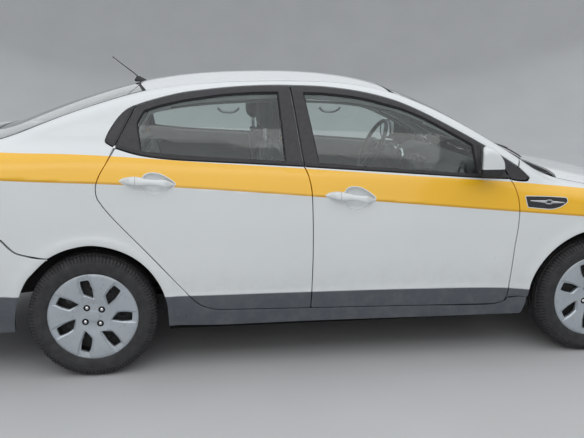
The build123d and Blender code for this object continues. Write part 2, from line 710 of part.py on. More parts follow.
# ---------------------------------------------------------------- cabin
with BuildPart() as dashboard:
    with BuildSketch(Plane.XZ):
        with BuildLine():
            Polyline(*polygon([(655, 720), (610, 860), (640, 960), ("arc", 700, 1004), (800, 1002), (935, 952), (960, 800), (940, 620), (760, 600)]), close=True)
        make_face()
    extrude(amount=650, both=True)
    # column tube, bored for the steering wheel's shaft
    tilt = math.radians(COLUMN_TILT)
    wx, wy, wz = STEER_WHEEL
    at = lambda d: (wx + d * math.cos(tilt), wy, wz - d * math.sin(tilt))
    add(rod(at(62), at(300), 38))
    add(rod(at(40), at(200), 12.05), mode=Mode.SUBTRACT)
save(dashboard.part, "dashboard")

with BuildPart() as steering_wheel:
    with BuildSketch(Plane(origin=at(0), z_dir=(math.cos(tilt), 0, -math.sin(tilt)), x_dir=(0, 1, 0))) as wheel_face:
        Circle(188)
        Circle(160, mode=Mode.SUBTRACT)
        Circle(58)
        with PolarLocations(109, 3, start_angle=-90):
            Rectangle(114, 30)
    extrude(amount=26)
    add(rod(at(0), at(52), 40))
    add(rod(at(40), at(150), 12.0))
save(steering_wheel.part, "steering_wheel")

with BuildPart() as console:
    with BuildSketch(Plane.XZ):
        with BuildLine():
            Polyline((-420, 404), (-420, 560), (60, 560), (140, 480), (520, 500), (600, 596), (740, 596), (740, 404), close=True)
        make_face()
    extrude(amount=100, both=True)
    with Locations((230, 0, 540)):
        Cylinder(radius=10, height=110)
    with Locations((230, 0, 600)):
        Sphere(24)
save(console.part, "centre_console")

SEAT = [
    (260, 400), ("arc", 290, 440), (262, 478), (-130, 462), (-180, 500), (-278, 1010), ("arc", -300, 1090), (-330, 1110), (-300, 1150),
    (-305, 1320), ("arc", -345, 1336), (-385, 1310), (-395, 1160), (-370, 1105), ("arc", -402, 1060), (-398, 980), (-300, 470), (-240, 400),
]
with BuildPart() as seat:
    with BuildSketch(Plane.XZ.offset(-365)):
        with BuildLine():
            Polyline(*polygon(SEAT), close=True)
        make_face()
    extrude(amount=240, both=True)
    # narrower above the backrest
    add(block(-500, 0, 365 - 130, 365 - 300, 1112, 1400), mode=Mode.SUBTRACT)
    add(block(-500, 0, 365 + 130, 365 + 300, 1112, 1400), mode=Mode.SUBTRACT)
    for dy in (-170, 170):
        add(block(-240, 240, 365 + dy - 15, 365 + dy + 15, 244.2, 402))
with BuildPart() as front_seats:
    add(seat.part)
    add(flip(seat.part))
save(front_seats.part, "front_seats")

with BuildPart() as rear_seat:
    with BuildSketch(Plane.XZ):
        with BuildLine():
            Polyline(*polygon([(-496, 376), ("arc", -450, 440), (-480, 500), (-850, 480), (-985, 1010), ("arc", -992, 1040), (-1004, 1044), (-1008, 900), (-1008, 472), (-986, 472), (-986, 376)]), close=True)
        make_face()
    extrude(amount=585, both=True)
save(rear_seat.part, "rear_seat")

with BuildPart() as cabin_mirror:
    with Locations((500, 0, 1270)):
        Box(26, 230, 62)
    with Locations((540, 0, 1284)):
        Box(90, 22, 16)
    add(top_30, mode=Mode.INTERSECT)
save(cabin_mirror.part, "cabin_mirror")

with BuildPart() as aerial:
    add(rod((-1008, 0, 1380), (-1168, 0, 1535), 3.2))
    with Locations((-1012, 0, 1396)):
        Box(70, 34, 34)
    add(hull_0, mode=Mode.SUBTRACT)
save(aerial.part, "aerial")

# ---------------------------------------------------------------- wheels and knuckles
def wheel(x, y, k, arm):
    """Rim with its cover, hub, stub axle and brake disc, about the axle at (x, y, WHEEL_Z); k is the side, arm where the stub axle starts."""
    with BuildPart() as r:
        with BuildSketch(Plane.XY) as s:
            with BuildLine():
                Polyline((179, y - 75), (203, y - 75), (203, y - 68), (190.8, y - 62), (190.8, y + 62), (203, y + 68), (203, y + 75), (179, y + 75), close=True)
            make_face()
            with BuildLine():
                Polyline((0, y + 46), (60, y + 48), (182, y + 62), (182, y + 74), (60, y + 60), (0, y + 58), close=True)
            make_face()
            with BuildLine():
                Polyline((0, arm), (20, arm), (20, y - 40), (68, y - 38), (68, y + 48), (0, y + 48), close=True)
            make_face()
            with BuildLine():
                Polyline((60, y - 36), (128, y - 36), (128, y - 18), (60, y - 18), close=True)
            make_face()
        revolve(axis=Axis.Y)
        with BuildSketch(Plane.XZ.offset(-y - 90)):
            with PolarLocations(130, 7, start_angle=-0.4):
                Polygon((-50, -18), (-28, 16), (46, 22), (46, -18), align=None)
        extrude(amount=70, mode=Mode.SUBTRACT)
    with BuildPart() as placed:
        with Locations((x, 0, WHEEL_Z)):
            add(r.part)
    return placed.part if k > 0 else flip(placed.part)


def tyre(x, y, k):
    with BuildPart() as t:
        with BuildSketch(Plane.XY):
            with BuildLine():
                Polyline(
                    (191.2, y - 60), (204, y - 66.5), (204.2, y - 76), (228, y - 89), (254, y - 92.5), (284, y - 88), (300, y - 74), (306, y - 40),
                    (306, y + 40), (300, y + 74), (284, y + 88), (254, y + 92.5), (228, y + 89), (204.2, y + 76), (204, y + 66.5), (191.2, y + 60), close=True,
                )
            make_face()
        revolve(axis=Axis.Y)
    with BuildPart() as placed:
        with Locations((x, 0, WHEEL_Z)):
            add(t.part)
    return placed.part if k > 0 else flip(placed.part)


for end, x, arm in (("front", AXLE_F, 641.0), ("rear", AXLE_R, 560.0)):
    for k, side in ((1, "left"), (-1, "right")):
        with BuildPart() as one_wheel:
            add(wheel(x, TRACK, k, arm))
        save(one_wheel.part, f"{end}_wheel_{side}")
        with BuildPart() as one_tyre:
            add(tyre(x, TRACK, k))
        save(one_tyre.part, f"{end}_tyre_{side}")

for k, side in ((1, "left"), (-1, "right")):
    with BuildPart() as knuckle:
        add(block(1296, 1388, 641 * k, 702 * k, 244, 420))
        # strut along the steering axis, its spring round it, and the ball joint's pin
        t = Vector(*STEER_TOP) - Vector(*STEER_BALL)
        p = lambda z: (STEER_BALL[0] + t.X * (z - STEER_BALL[2]) / t.Z, (STEER_BALL[1] + t.Y * (z - STEER_BALL[2]) / t.Z) * k, z)
        add(rod(p(400), p(815), 22))
        add(rod(p(655), p(795), 58))
        add(rod(p(227), p(248), 9))
        # caliper
        add(block(1245, 1300, 640 * k, 700 * k, 300, 400))
        add(rod((AXLE_F, 600 * k, WHEEL_Z), (AXLE_F, 760 * k, WHEEL_Z), 20.05), mode=Mode.SUBTRACT)
    save(knuckle.part, f"knuckle_{side}")
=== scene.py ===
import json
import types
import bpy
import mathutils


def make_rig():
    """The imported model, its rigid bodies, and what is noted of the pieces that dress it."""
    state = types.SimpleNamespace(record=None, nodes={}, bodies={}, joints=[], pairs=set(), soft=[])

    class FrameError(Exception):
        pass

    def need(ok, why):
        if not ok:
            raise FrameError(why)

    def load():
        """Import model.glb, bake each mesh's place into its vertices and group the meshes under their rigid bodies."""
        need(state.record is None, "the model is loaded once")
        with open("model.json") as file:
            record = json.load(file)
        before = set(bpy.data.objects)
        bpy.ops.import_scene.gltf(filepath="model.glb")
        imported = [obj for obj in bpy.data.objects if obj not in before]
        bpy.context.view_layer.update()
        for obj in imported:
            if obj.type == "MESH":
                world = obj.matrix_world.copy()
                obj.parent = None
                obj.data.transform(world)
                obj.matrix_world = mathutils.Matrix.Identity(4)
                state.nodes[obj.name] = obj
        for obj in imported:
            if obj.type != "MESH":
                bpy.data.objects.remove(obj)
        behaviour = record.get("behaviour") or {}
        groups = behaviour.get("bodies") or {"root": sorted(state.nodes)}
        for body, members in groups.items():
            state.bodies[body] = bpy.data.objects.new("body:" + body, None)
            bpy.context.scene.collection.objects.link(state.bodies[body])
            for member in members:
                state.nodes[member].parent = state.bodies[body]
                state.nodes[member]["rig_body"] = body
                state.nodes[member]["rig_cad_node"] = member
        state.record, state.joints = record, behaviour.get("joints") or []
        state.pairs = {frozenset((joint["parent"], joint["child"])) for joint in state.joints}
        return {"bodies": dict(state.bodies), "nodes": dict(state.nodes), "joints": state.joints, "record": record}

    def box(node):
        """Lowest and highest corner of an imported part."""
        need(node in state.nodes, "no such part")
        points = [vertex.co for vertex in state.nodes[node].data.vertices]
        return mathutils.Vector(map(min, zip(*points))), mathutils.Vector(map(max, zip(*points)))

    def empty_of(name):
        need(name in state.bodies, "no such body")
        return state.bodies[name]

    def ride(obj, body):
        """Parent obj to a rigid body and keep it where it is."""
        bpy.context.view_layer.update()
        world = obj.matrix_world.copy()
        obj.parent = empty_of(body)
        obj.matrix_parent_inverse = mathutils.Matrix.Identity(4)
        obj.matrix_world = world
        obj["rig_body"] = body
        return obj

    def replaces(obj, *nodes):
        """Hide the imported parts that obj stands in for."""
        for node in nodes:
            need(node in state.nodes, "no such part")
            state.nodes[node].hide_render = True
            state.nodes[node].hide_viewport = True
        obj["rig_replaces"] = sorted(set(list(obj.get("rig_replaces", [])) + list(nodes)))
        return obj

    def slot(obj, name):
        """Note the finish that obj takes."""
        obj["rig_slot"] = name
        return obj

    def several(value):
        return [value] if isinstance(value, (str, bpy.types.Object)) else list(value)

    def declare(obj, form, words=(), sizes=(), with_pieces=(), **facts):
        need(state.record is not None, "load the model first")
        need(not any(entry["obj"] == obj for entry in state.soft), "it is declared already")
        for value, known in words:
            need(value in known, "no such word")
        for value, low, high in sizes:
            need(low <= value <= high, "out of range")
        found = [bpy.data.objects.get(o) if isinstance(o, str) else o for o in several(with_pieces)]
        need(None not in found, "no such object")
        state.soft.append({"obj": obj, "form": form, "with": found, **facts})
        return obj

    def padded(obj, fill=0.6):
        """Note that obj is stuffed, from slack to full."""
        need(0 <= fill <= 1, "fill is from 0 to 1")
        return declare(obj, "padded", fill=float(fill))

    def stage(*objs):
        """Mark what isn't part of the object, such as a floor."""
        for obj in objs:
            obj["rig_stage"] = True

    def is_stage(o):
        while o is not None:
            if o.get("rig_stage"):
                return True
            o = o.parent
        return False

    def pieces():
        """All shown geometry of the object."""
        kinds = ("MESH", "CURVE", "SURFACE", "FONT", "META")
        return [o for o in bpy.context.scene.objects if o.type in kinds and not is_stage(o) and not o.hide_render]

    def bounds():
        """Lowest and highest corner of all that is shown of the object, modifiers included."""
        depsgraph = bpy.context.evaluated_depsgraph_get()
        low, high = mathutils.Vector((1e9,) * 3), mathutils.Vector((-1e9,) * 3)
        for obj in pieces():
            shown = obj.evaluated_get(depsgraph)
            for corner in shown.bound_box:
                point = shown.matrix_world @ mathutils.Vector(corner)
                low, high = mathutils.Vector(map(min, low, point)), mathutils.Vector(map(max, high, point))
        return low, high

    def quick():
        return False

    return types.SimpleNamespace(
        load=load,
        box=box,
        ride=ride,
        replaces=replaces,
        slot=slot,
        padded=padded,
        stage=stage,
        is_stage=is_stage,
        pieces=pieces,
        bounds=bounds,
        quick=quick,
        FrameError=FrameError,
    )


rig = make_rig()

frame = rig.load()

import bpy, bmesh, math, json
import numpy as np
from mathutils import Vector, Matrix
from mathutils.geometry import delaunay_2d_cdt

cad_lo, cad_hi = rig.bounds()
SCN = bpy.context.scene
PI = math.pi

# ============================================================ curves and tables
def pchip(xs, ys, x):
    xs, ys = np.asarray(xs, float), np.asarray(ys, float)
    h, d = np.diff(xs), np.diff(ys) / np.diff(xs)
    m = np.zeros(len(xs))
    for i in range(1, len(xs) - 1):
        if d[i - 1] * d[i] > 0:
            w1, w2 = 2 * h[i] + h[i - 1], h[i] + 2 * h[i - 1]
            m[i] = (w1 + w2) / (w1 / d[i - 1] + w2 / d[i])
    m[0], m[-1] = d[0], d[-1]
    i = np.clip(np.searchsorted(xs, x) - 1, 0, len(xs) - 2)
    t = (x - xs[i]) / h[i]
    y = (1 + 2 * t) * (1 - t) ** 2 * ys[i] + t * (1 - t) ** 2 * h[i] * m[i] + t * t * (3 - 2 * t) * ys[i + 1] + t * t * (t - 1) * h[i] * m[i + 1]
    lo, hi = x < xs[0], x > xs[-1]
    y = np.where(lo, ys[0] + m[0] * (x - xs[0]), y)
    return np.where(hi, ys[-1] + m[-1] * (x - xs[-1]), y)


def table(points, sigma=0.03, pad=0.6):
    """Smooth curve through (x, y) points, rounded over about sigma."""
    xs, ys = zip(*sorted(points))
    X = np.arange(xs[0] - pad, xs[-1] + pad, 0.002)
    Y = pchip(xs, ys, X)
    if sigma:
        n = int(3 * sigma / 0.002)
        k = np.exp(-0.5 * (np.arange(-n, n + 1) * 0.002 / sigma) ** 2)
        k /= k.sum()
        Yp = np.concatenate([Y[0] + (Y[1] - Y[0]) * np.arange(-n, 0), Y, Y[-1] + (Y[-1] - Y[-2]) * np.arange(1, n + 1)])
        Y = np.convolve(Yp, k, "valid")
    return lambda x: np.interp(x, X, Y)


def sstep(a, b, x):
    t = np.clip((x - a) / (b - a), 0, 1)
    return t * t * (3 - 2 * t)


def smax(a, b, k):
    h = np.clip(0.5 + 0.5 * (a - b) / k, 0, 1)
    return b * (1 - h) + a * h + k * h * (1 - h)


def smin(a, b, k):
    return -smax(-a, -b, k)


# ============================================================ the body's surface, as F(x, y, z) = 0
AX_F, AX_R, AZ, TR = 1.340, -1.230, 0.306, 0.749
side_z = table([(0.10, .770), (0.20, .795), (0.30, .822), (0.40, .839), (0.55, .849), (0.70, .849), (0.82, .842), (0.90, .830), (0.96, .810), (1.00, .790), (1.05, .742), (1.12, .62), (1.2, .40)], .018)
side_x = table([(-2.3, .735), (-1.8, .803), (-1.23, .838), (-.6, .850), (0, .850), (.5, .850), (1.13, .843), (1.7, .812), (2.3, .755)], .12)
glass_z = table([(0.80, .835), (0.93, .800), (1.008, .772), (1.10, .733), (1.204, .687), (1.30, .636), (1.388, .580), (1.46, .525), (1.6, .40)], .03)
glass_x = table([(-2.2, .075), (-1.8, .055), (-1.3, .020), (-.8, .002), (-.4, 0), (.3, 0), (.7, .006), (1.1, .022), (1.4, .05)], .10)
roof_x = table([(1.35, .815), (1.06, 1.008), (.915, 1.100), (.75, 1.193), (.585, 1.280), (.42, 1.352), (.24, 1.410), (.066, 1.440), (-.115, 1.455), (-.284, 1.459), (-.453, 1.457), (-.618, 1.450), (-.783, 1.436), (-.947, 1.411), (-1.06, 1.387), (-1.305, 1.318), (-1.575, 1.224), (-1.735, 1.161), (-2.0, 1.055)], .045)
roof_c = table([(1.2, .135), (.6, .125), (.1, .14), (-.6, .155), (-1.2, .15), (-1.8, .14)], .1)
hood_x = table([(.95, 1.008), (1.06, .987), (1.12, .973), (1.25, .951), (1.45, .915), (1.70, .864), (1.90, .812), (2.05, .760), (2.2, .700)], .06)
deck_x = table([(-1.5, 1.178), (-1.735, 1.163), (-1.90, 1.150), (-2.05, 1.130), (-2.2, 1.105)], .03)
nose_z = table([(.19, 2.105), (.25, 2.152), (.35, 2.176), (.50, 2.181), (.60, 2.176), (.66, 2.158), (.72, 2.128), (.78, 2.085), (.86, 2.00), (1.0, 1.83)], .02)
tail_z = table([(.19, -2.09), (.25, -2.13), (.36, -2.172), (.50, -2.182), (.62, -2.181), (.70, -2.176), (.745, -2.160), (.79, -2.143), (.95, -2.125), (1.08, -2.112), (1.14, -2.098), (1.25, -2.04)], .012)


def ylow(x, z):
    w = sstep(.45, .95, z)
    y = side_z(z + .062 * x * w) + side_x(x) - .850
    for ax in (AX_F, AX_R):
        r = np.hypot(x - ax, z - AZ)
        y = y + .009 * np.exp(-((r - .372) / .030) ** 2) * sstep(.18, .30, z) * np.where(r > .372, 1, 1)
    # the crease under the stripe, through the handles
    d = z - crease(x)
    y = y + .0045 * np.exp(-np.abs(d) / .035) * sstep(1.9, 1.5, x) * sstep(-2.1, -1.8, x)
    # the lowest body line
    d = z - (.405 - .02 * sstep(.3, 1.0, x))
    y = y + .0035 * sstep(.012, -.012, d) * sstep(-1.1, -.8, x) * sstep(1.1, .9, x)
    return y


def crease(x):
    return .885 - .0805 * (x + .268) * 1.0 - .012 * sstep(.3, 1.3, x)


def F(x, y, z):
    y = np.abs(y)
    body = smax(y - ylow(x, z), z - np.where(x > -.3, hood_x(x) - .088 * y * y - .03 * y ** 6, deck_x(x) - .055 * y * y - .16 * y ** 6), .085)
    body = smax(body, x - (nose_z(z) - .36 * y * y - .10 * y ** 4), .13)
    body = smax(body, (tail_z(z) + .15 * y * y + .12 * y ** 4) - x, .10)
    glass = smax(y - (glass_z(z) - glass_x(x)), z - (roof_x(x) - roof_c(x) * y * y), .050)
    glass = np.maximum(smax(glass, .895 - z, .07), np.maximum(x - 1.24, -1.93 - x))
    return smin(body, glass, .035)


def solve(O, D, t0, t1):
    """Distances along rays O + tD where F changes sign, inside at t0 and outside at t1."""
    a, b = np.full(len(O), t0, float), np.full(len(O), t1, float)
    for _ in range(26):
        m = (a + b) / 2
        P = O + D * m[:, None]
        out = F(P[:, 0], P[:, 1], P[:, 2]) > 0
        b = np.where(out, m, b)
        a = np.where(out, a, m)
    return O + D * ((a + b) / 2)[:, None]


RC = np.array([0., 0., .75])     # axis of the radial map
RS = .85
EC = {"front": 1.25, "rear": -1.35}
LC = (-1.55, .72)


def lift(kind, uv):
    """3-D points on the body for map coordinates."""
    uv = np.asarray(uv, float)
    u, v = uv[:, 0], uv[:, 1]
    n = len(u)
    z0 = np.zeros(n)
    if kind == "S":      # side view: x, z
        return solve(np.stack([u, z0, v], 1), np.tile([0., 1, 0], (n, 1)), .2, 1.1)
    if kind == "T":      # from above: x, y
        return solve(np.stack([u, v, z0], 1), np.tile([0., 0, 1], (n, 1)), .55, 1.7)
    if kind == "R":      # round the car's long axis: x, angle
        t = v / RS
        return solve(np.stack([u, z0, z0 + RC[2]], 1), np.stack([z0, np.cos(t), np.sin(t)], 1), .1, 1.3)
    if kind in ("front", "rear"):   # round an upright axis: angle, z
        s = 1 if kind == "front" else -1
        t = u / RS
        return solve(np.stack([z0 + EC[kind], z0, v], 1), np.stack([s * np.cos(t), np.sin(t), z0], 1), .1, 1.5)
    if kind == "L":      # boot lid: y, angle in side view
        t = v / .55
        return solve(np.stack([z0 + LC[0], u, z0 + LC[1]], 1), np.stack([-np.sin(t), z0, np.cos(t)], 1), .1, 1.2)


def to_uv(kind, P):
    P = np.asarray(P, float)
    x, y, z = P[:, 0], P[:, 1], P[:, 2]
    if kind == "S":
        return np.stack([x, z], 1)
    if kind == "T":
        return np.stack([x, y], 1)
    if kind == "R":
        return np.stack([x, RS * np.arctan2(z - RC[2], y)], 1)
    if kind in ("front", "rear"):
        s = 1 if kind == "front" else -1
        return np.stack([RS * np.arctan2(y, s * (x - EC[kind])), z], 1)
    if kind == "L":
        return np.stack([y, .55 * np.arctan2(-(x - LC[0]), z - LC[1])], 1)


def normals(P):
    e = .002
    x, y, z = P.T
    g = np.stack([F(x + e, y, z) - F(x - e, y, z), F(x, y + e, z) - F(x, y - e, z), F(x, y, z + e) - F(x, y, z - e)], 1)
    return g / np.maximum(np.linalg.norm(g, axis=1, keepdims=True), 1e-9)


# ============================================================ outlines
def S(x, z, r=None):
    return ("S", x / 1000, z / 1000, None if r is None else r / 1000)


def T(x, y, r=None):
    return ("T", x / 1000, y / 1000, None if r is None else r / 1000)


def D3(x, y, z, r=None):
    return ("3", x / 1000, y / 1000, z / 1000, None if r is None else r / 1000)


def catmull(P, step):
    """Smooth open curve through points P."""
    P = np.asarray(P, float)
    if len(P) == 2:
        n = max(1, int(round(np.linalg.norm(P[1] - P[0]) / step)))
        return P[0] + (P[1] - P[0]) * np.linspace(0, 1, n + 1)[:, None]
    Q = np.vstack([2 * P[0] - P[1], P, 2 * P[-1] - P[-2]])
    out = []
    for i in range(1, len(Q) - 2):
        p0, p1, p2, p3 = Q[i - 1:i + 3]
        d = [max(np.linalg.norm(b - a), 1e-6) ** .5 for a, b in ((p0, p1), (p1, p2), (p2, p3))]
        t0, t1 = 0, d[0]
        t2, t3 = t1 + d[1], t1 + d[1] + d[2]
        n = max(2, int(round(np.linalg.norm(p2 - p1) / step)))
        t = np.linspace(t1, t2, n + 1)[:-1, None]
        A1 = (t1 - t) / (t1 - t0) * p0 + (t - t0) / (t1 - t0) * p1
        A2 = (t2 - t) / (t2 - t1) * p1 + (t - t1) / (t2 - t1) * p2
        A3 = (t3 - t) / (t3 - t2) * p2 + (t - t2) / (t3 - t2) * p3
        B1 = (t2 - t) / (t2 - t0) * A1 + (t - t0) / (t2 - t0) * A2
        B2 = (t3 - t) / (t3 - t1) * A2 + (t - t1) / (t3 - t1) * A3
        out.append((t2 - t) / (t2 - t1) * B1 + (t - t1) / (t2 - t1) * B2)
    out.append(P[-1:])
    return np.vstack(out)


def resample(P, step, closed=True):
    Q = np.vstack([P, P[:1]]) if closed else P
    s = np.concatenate([[0], np.cumsum(np.linalg.norm(np.diff(Q, axis=0), axis=1))])
    n = max(3, int(round(s[-1] / step)))
    t = np.linspace(0, s[-1], n + 1)
    R = np.stack([np.interp(t, s, Q[:, i]) for i in range(Q.shape[1])], 1)
    return R[:-1] if closed else R


def area2(P):
    x, y = P[:, 0], P[:, 1]
    return .5 * np.sum(x * np.roll(y, -1) - np.roll(x, -1) * y)


def ring_of(kind, ctrl, step=.006):
    """Closed dense outline in map coordinates. A control point with a radius is a corner."""
    A = []
    R = []
    for c in ctrl:
        if c[0] == "uv":
            A.append([c[1], c[2]]); R.append(c[3]); continue
        if c[0] == "3":
            P = np.array([[c[1], c[2], c[3]]])
        else:
            P = lift(c[0], [[c[1], c[2]]])
        A.append(to_uv(kind, P)[0]); R.append(c[-1])
    A = np.array(A)
    corners = [i for i, r in enumerate(R) if r is not None]
    n = len(A)
    if not corners:
        B = np.vstack([A[-3:], A, A[:3]])
        C = catmull(B, step / 2)
        d0 = np.linalg.norm(C - A[0], axis=1)
        half = len(C) // 2
        i0 = int(np.argmin(d0[:half])); i1 = half + int(np.argmin(d0[half:]))
        return resample(C[i0:i1], step)
    segs = []
    for a, i in enumerate(corners):
        j = corners[(a + 1) % len(corners)]
        idx = [k % n for k in range(i, i + ((j - i) % n or n) + 1)]
        segs.append(catmull(A[idx], .002))
    out = []
    for a, seg in enumerate(segs):
        r0, r1 = R[corners[a]], R[corners[(a + 1) % len(corners)]]
        s = np.concatenate([[0], np.cumsum(np.linalg.norm(np.diff(seg, axis=0), axis=1))])
        L = s[-1]
        r0, r1 = min(r0, L * .45), min(r1, L * .45)
        t = np.arange(r0, L - r1, .002) if L - r1 > r0 else np.array([L / 2])
        t = np.concatenate([t, [L - r1]])
        mid = np.stack([np.interp(t, s, seg[:, k]) for k in (0, 1)], 1)
        out.append((mid, seg[-1], r1))
    res = []
    for a, (mid, corner, r) in enumerate(out):
        nxt = out[(a + 1) % len(out)][0]
        res.append(mid)
        if r > .0005:
            p, q = mid[-1], nxt[0]
            t = np.linspace(0, 1, 9)[1:-1, None]
            res.append((1 - t) ** 2 * p + 2 * t * (1 - t) * corner + t * t * q)
        else:
            res.append(corner[None])
    P = np.vstack(res)
    keep = np.linalg.norm(P - np.roll(P, 1, axis=0), axis=1) > 1e-5
    P = P[keep]
    if area2(P) < 0:
        P = P[::-1]
    # even spacing, but corners keep their points
    s = np.concatenate([[0], np.cumsum(np.linalg.norm(np.diff(np.vstack([P, P[:1]]), axis=0), axis=1))])
    turn = np.abs(np.angle(np.exp(1j * (np.arctan2(*(np.roll(P, -1, 0) - P).T[::-1]) - np.arctan2(*(P - np.roll(P, 1, 0)).T[::-1])))))
    picks, last = [0], 0
    acc = 0
    for i in range(1, len(P)):
        acc += turn[i]
        if s[i] - s[last] > step or acc > .22:
            picks.append(i); last = i; acc = 0
    return P[picks]


def grow(P, d):
    """Closed outline drawn out by d (in if negative); P runs anticlockwise."""
    a, b = np.roll(P, 1, 0), np.roll(P, -1, 0)
    e1, e2 = P - a, b - P
    n1 = np.stack([e1[:, 1], -e1[:, 0]], 1) / np.maximum(np.linalg.norm(e1, axis=1, keepdims=True), 1e-9)
    n2 = np.stack([e2[:, 1], -e2[:, 0]], 1) / np.maximum(np.linalg.norm(e2, axis=1, keepdims=True), 1e-9)
    k = 1 + np.sum(n1 * n2, 1, keepdims=True)
    return P + d * (n1 + n2) / np.maximum(k, .35)


def inside(P, Q):
    """Which of points Q lie in polygon P."""
    x, y = Q[:, 0][:, None], Q[:, 1][:, None]
    x1, y1 = P[:, 0], P[:, 1]
    x2, y2 = np.roll(x1, -1), np.roll(y1, -1)
    c = ((y1 > y) != (y2 > y)) & (x < (x2 - x1) * (y - y1) / np.where(y2 == y1, 1e-12, y2 - y1) + x1)
    return c.sum(1) % 2 == 1


def hexgrid(P, h, holes=(), clear=.55):
    lo, hi = P.min(0), P.max(0)
    xs = np.arange(lo[0], hi[0], h)
    rows = []
    for j, y in enumerate(np.arange(lo[1], hi[1], h * .866)):
        rows.append(np.stack([xs + (h / 2 if j % 2 else 0), np.full(len(xs), y)], 1))
    if not rows:
        return np.zeros((0, 2))
    G = np.vstack(rows)
    G = G[inside(P, G)]
    for H in holes:
        G = G[~inside(H, G)]
    for B in (P, *holes):
        if len(G):
            keep = np.ones(len(G), bool)
            for i in range(0, len(G), 2000):
                d = np.sqrt(((G[i:i + 2000, None, :] - B[None, ::1, :]) ** 2).sum(2)).min(1)
                keep[i:i + 2000] = d > clear * h
            G = G[keep]
    return G


def fill(P, holes=(), h=.014):
    """Triangles over a polygon with holes, in 2-D. The outline's points come first, in order."""
    rings = [P, *holes]
    V = [*rings, hexgrid(P, h, holes)]
    pts = np.vstack(V)
    edges = []
    k = 0
    for r in rings:
        edges += [(k + i, k + (i + 1) % len(r)) for i in range(len(r))]
        k += len(r)
    res = delaunay_2d_cdt([Vector(p) for p in pts], edges, [], 1 if not holes else 0, 1e-7)
    verts, faces, orig = res[0], res[2], res[3]
    out = np.array([[v.x, v.y] for v in verts])
    m = np.full(len(out), -1)
    for i, o in enumerate(orig):
        if o:
            m[i] = min(o)
    T3 = np.array([f for f in faces if len(f) == 3])
    c = out[T3].mean(1)
    ok = inside(P, c)
    for H in holes:
        ok &= ~inside(H, c)
    T3 = T3[ok]
    if (m < 0).any():
        base = len(pts)
        extra = np.where(m < 0)[0]
        pts = np.vstack([pts, out[extra]])
        m[extra] = base + np.arange(len(extra))
    T3 = m[T3]
    a, b, c = pts[T3[:, 0]], pts[T3[:, 1]], pts[T3[:, 2]]
    cr = (b[:, 0] - a[:, 0]) * (c[:, 1] - a[:, 1]) - (b[:, 1] - a[:, 1]) * (c[:, 0] - a[:, 0])
    T3 = T3[np.abs(cr) > 1e-12]
    cr = cr[np.abs(cr) > 1e-12]
    T3[cr < 0] = T3[cr < 0][:, ::-1]
    return pts, T3


# ============================================================ meshes
def mesh_object(name, V, Fc, mats, smooth=True, mat_index=None, N=None):
    me = bpy.data.meshes.new(name)
    me.from_pydata([tuple(v) for v in V], [], [tuple(f) for f in Fc])
    me.update()
    ob = bpy.data.objects.new(name, me)
    SCN.collection.objects.link(ob)
    for m in (mats if isinstance(mats, (list, tuple)) else [mats]):
        me.materials.append(m)
    if smooth:
        me.polygons.foreach_set("use_smooth", [True] * len(me.polygons))
    if mat_index is not None:
        me.polygons.foreach_set("material_index", mat_index)
    me.update()
    if N is not None:
        me.normals_split_custom_set_from_vertices([tuple(n) for n in N])
    return ob


PIECES = {}


def single(name, geo, mats, body, replaces=(), slot=None, smooth=True, mat_index=None):
    ob = mesh_object(name, geo[0], [tuple(f) for f in geo[1]], mats, smooth, mat_index, geo[2] if len(geo) > 2 else None)
    return add_piece(ob, body, replaces, slot)


def join(*geos):
    """Several (V, faces[, N]) as one."""
    V, Fc, N, k = [], [], [], 0
    with_n = all(len(g) > 2 and g[2] is not None for g in geos)
    for g in geos:
        V.append(np.asarray(g[0], float))
        Fc += [tuple(int(i) + k for i in f) for f in g[1]]
        if with_n:
            N.append(np.asarray(g[2], float))
        k += len(g[0])
    return (np.vstack(V), Fc, np.vstack(N)) if with_n else (np.vstack(V), Fc)


def mirror_y(geo):
    V = np.asarray(geo[0], float).copy()
    V[:, 1] *= -1
    Fc = [tuple(f)[::-1] for f in geo[1]]
    if len(geo) > 2 and geo[2] is not None:
        N = np.asarray(geo[2], float).copy()
        N[:, 1] *= -1
        return V, Fc, N
    return V, Fc


def add_piece(ob, body, replaces=(), slot=None):
    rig.ride(ob, body)
    if replaces:
        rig.replaces(ob, *replaces)
    if slot:
        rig.slot(ob, slot)
    PIECES[ob.name] = ob
    return ob


def pair(name, geo, mats, body, replaces=None, slot=None, smooth=True, mat_index=None):
    """The piece on the left, built at y > 0, and its mirror image on the right. body and replaces may hold {} for the side."""
    out = []
    V, Fc = np.asarray(geo[0], float), geo[1]
    N = geo[2] if len(geo) > 2 else None
    for sd in ("left", "right"):
        W, M = V.copy(), None if N is None else N.copy()
        G = [tuple(f) for f in Fc]
        if sd == "right":
            W[:, 1] *= -1
            G = [f[::-1] for f in G]
            if M is not None:
                M[:, 1] *= -1
        ob = mesh_object(f"{name}_{sd}", W, G, mats, smooth, mat_index, M)
        add_piece(ob, body.format(sd), [r.format(sd) for r in (replaces or [])], slot)
        out.append(ob)
    return out


def off_surface(kind, uv, depth, mode="normal"):
    P = lift(kind, uv)
    if mode == "normal":
        return P - normals(P) * depth
    if mode == "y":
        Q = P.copy(); Q[:, 1] -= depth; return Q
    if mode == "z":
        Q = P.copy(); Q[:, 2] -= depth; return Q
    if mode == "x":
        Q = P.copy(); Q[:, 0] -= depth * np.sign(P[:, 0]); return Q


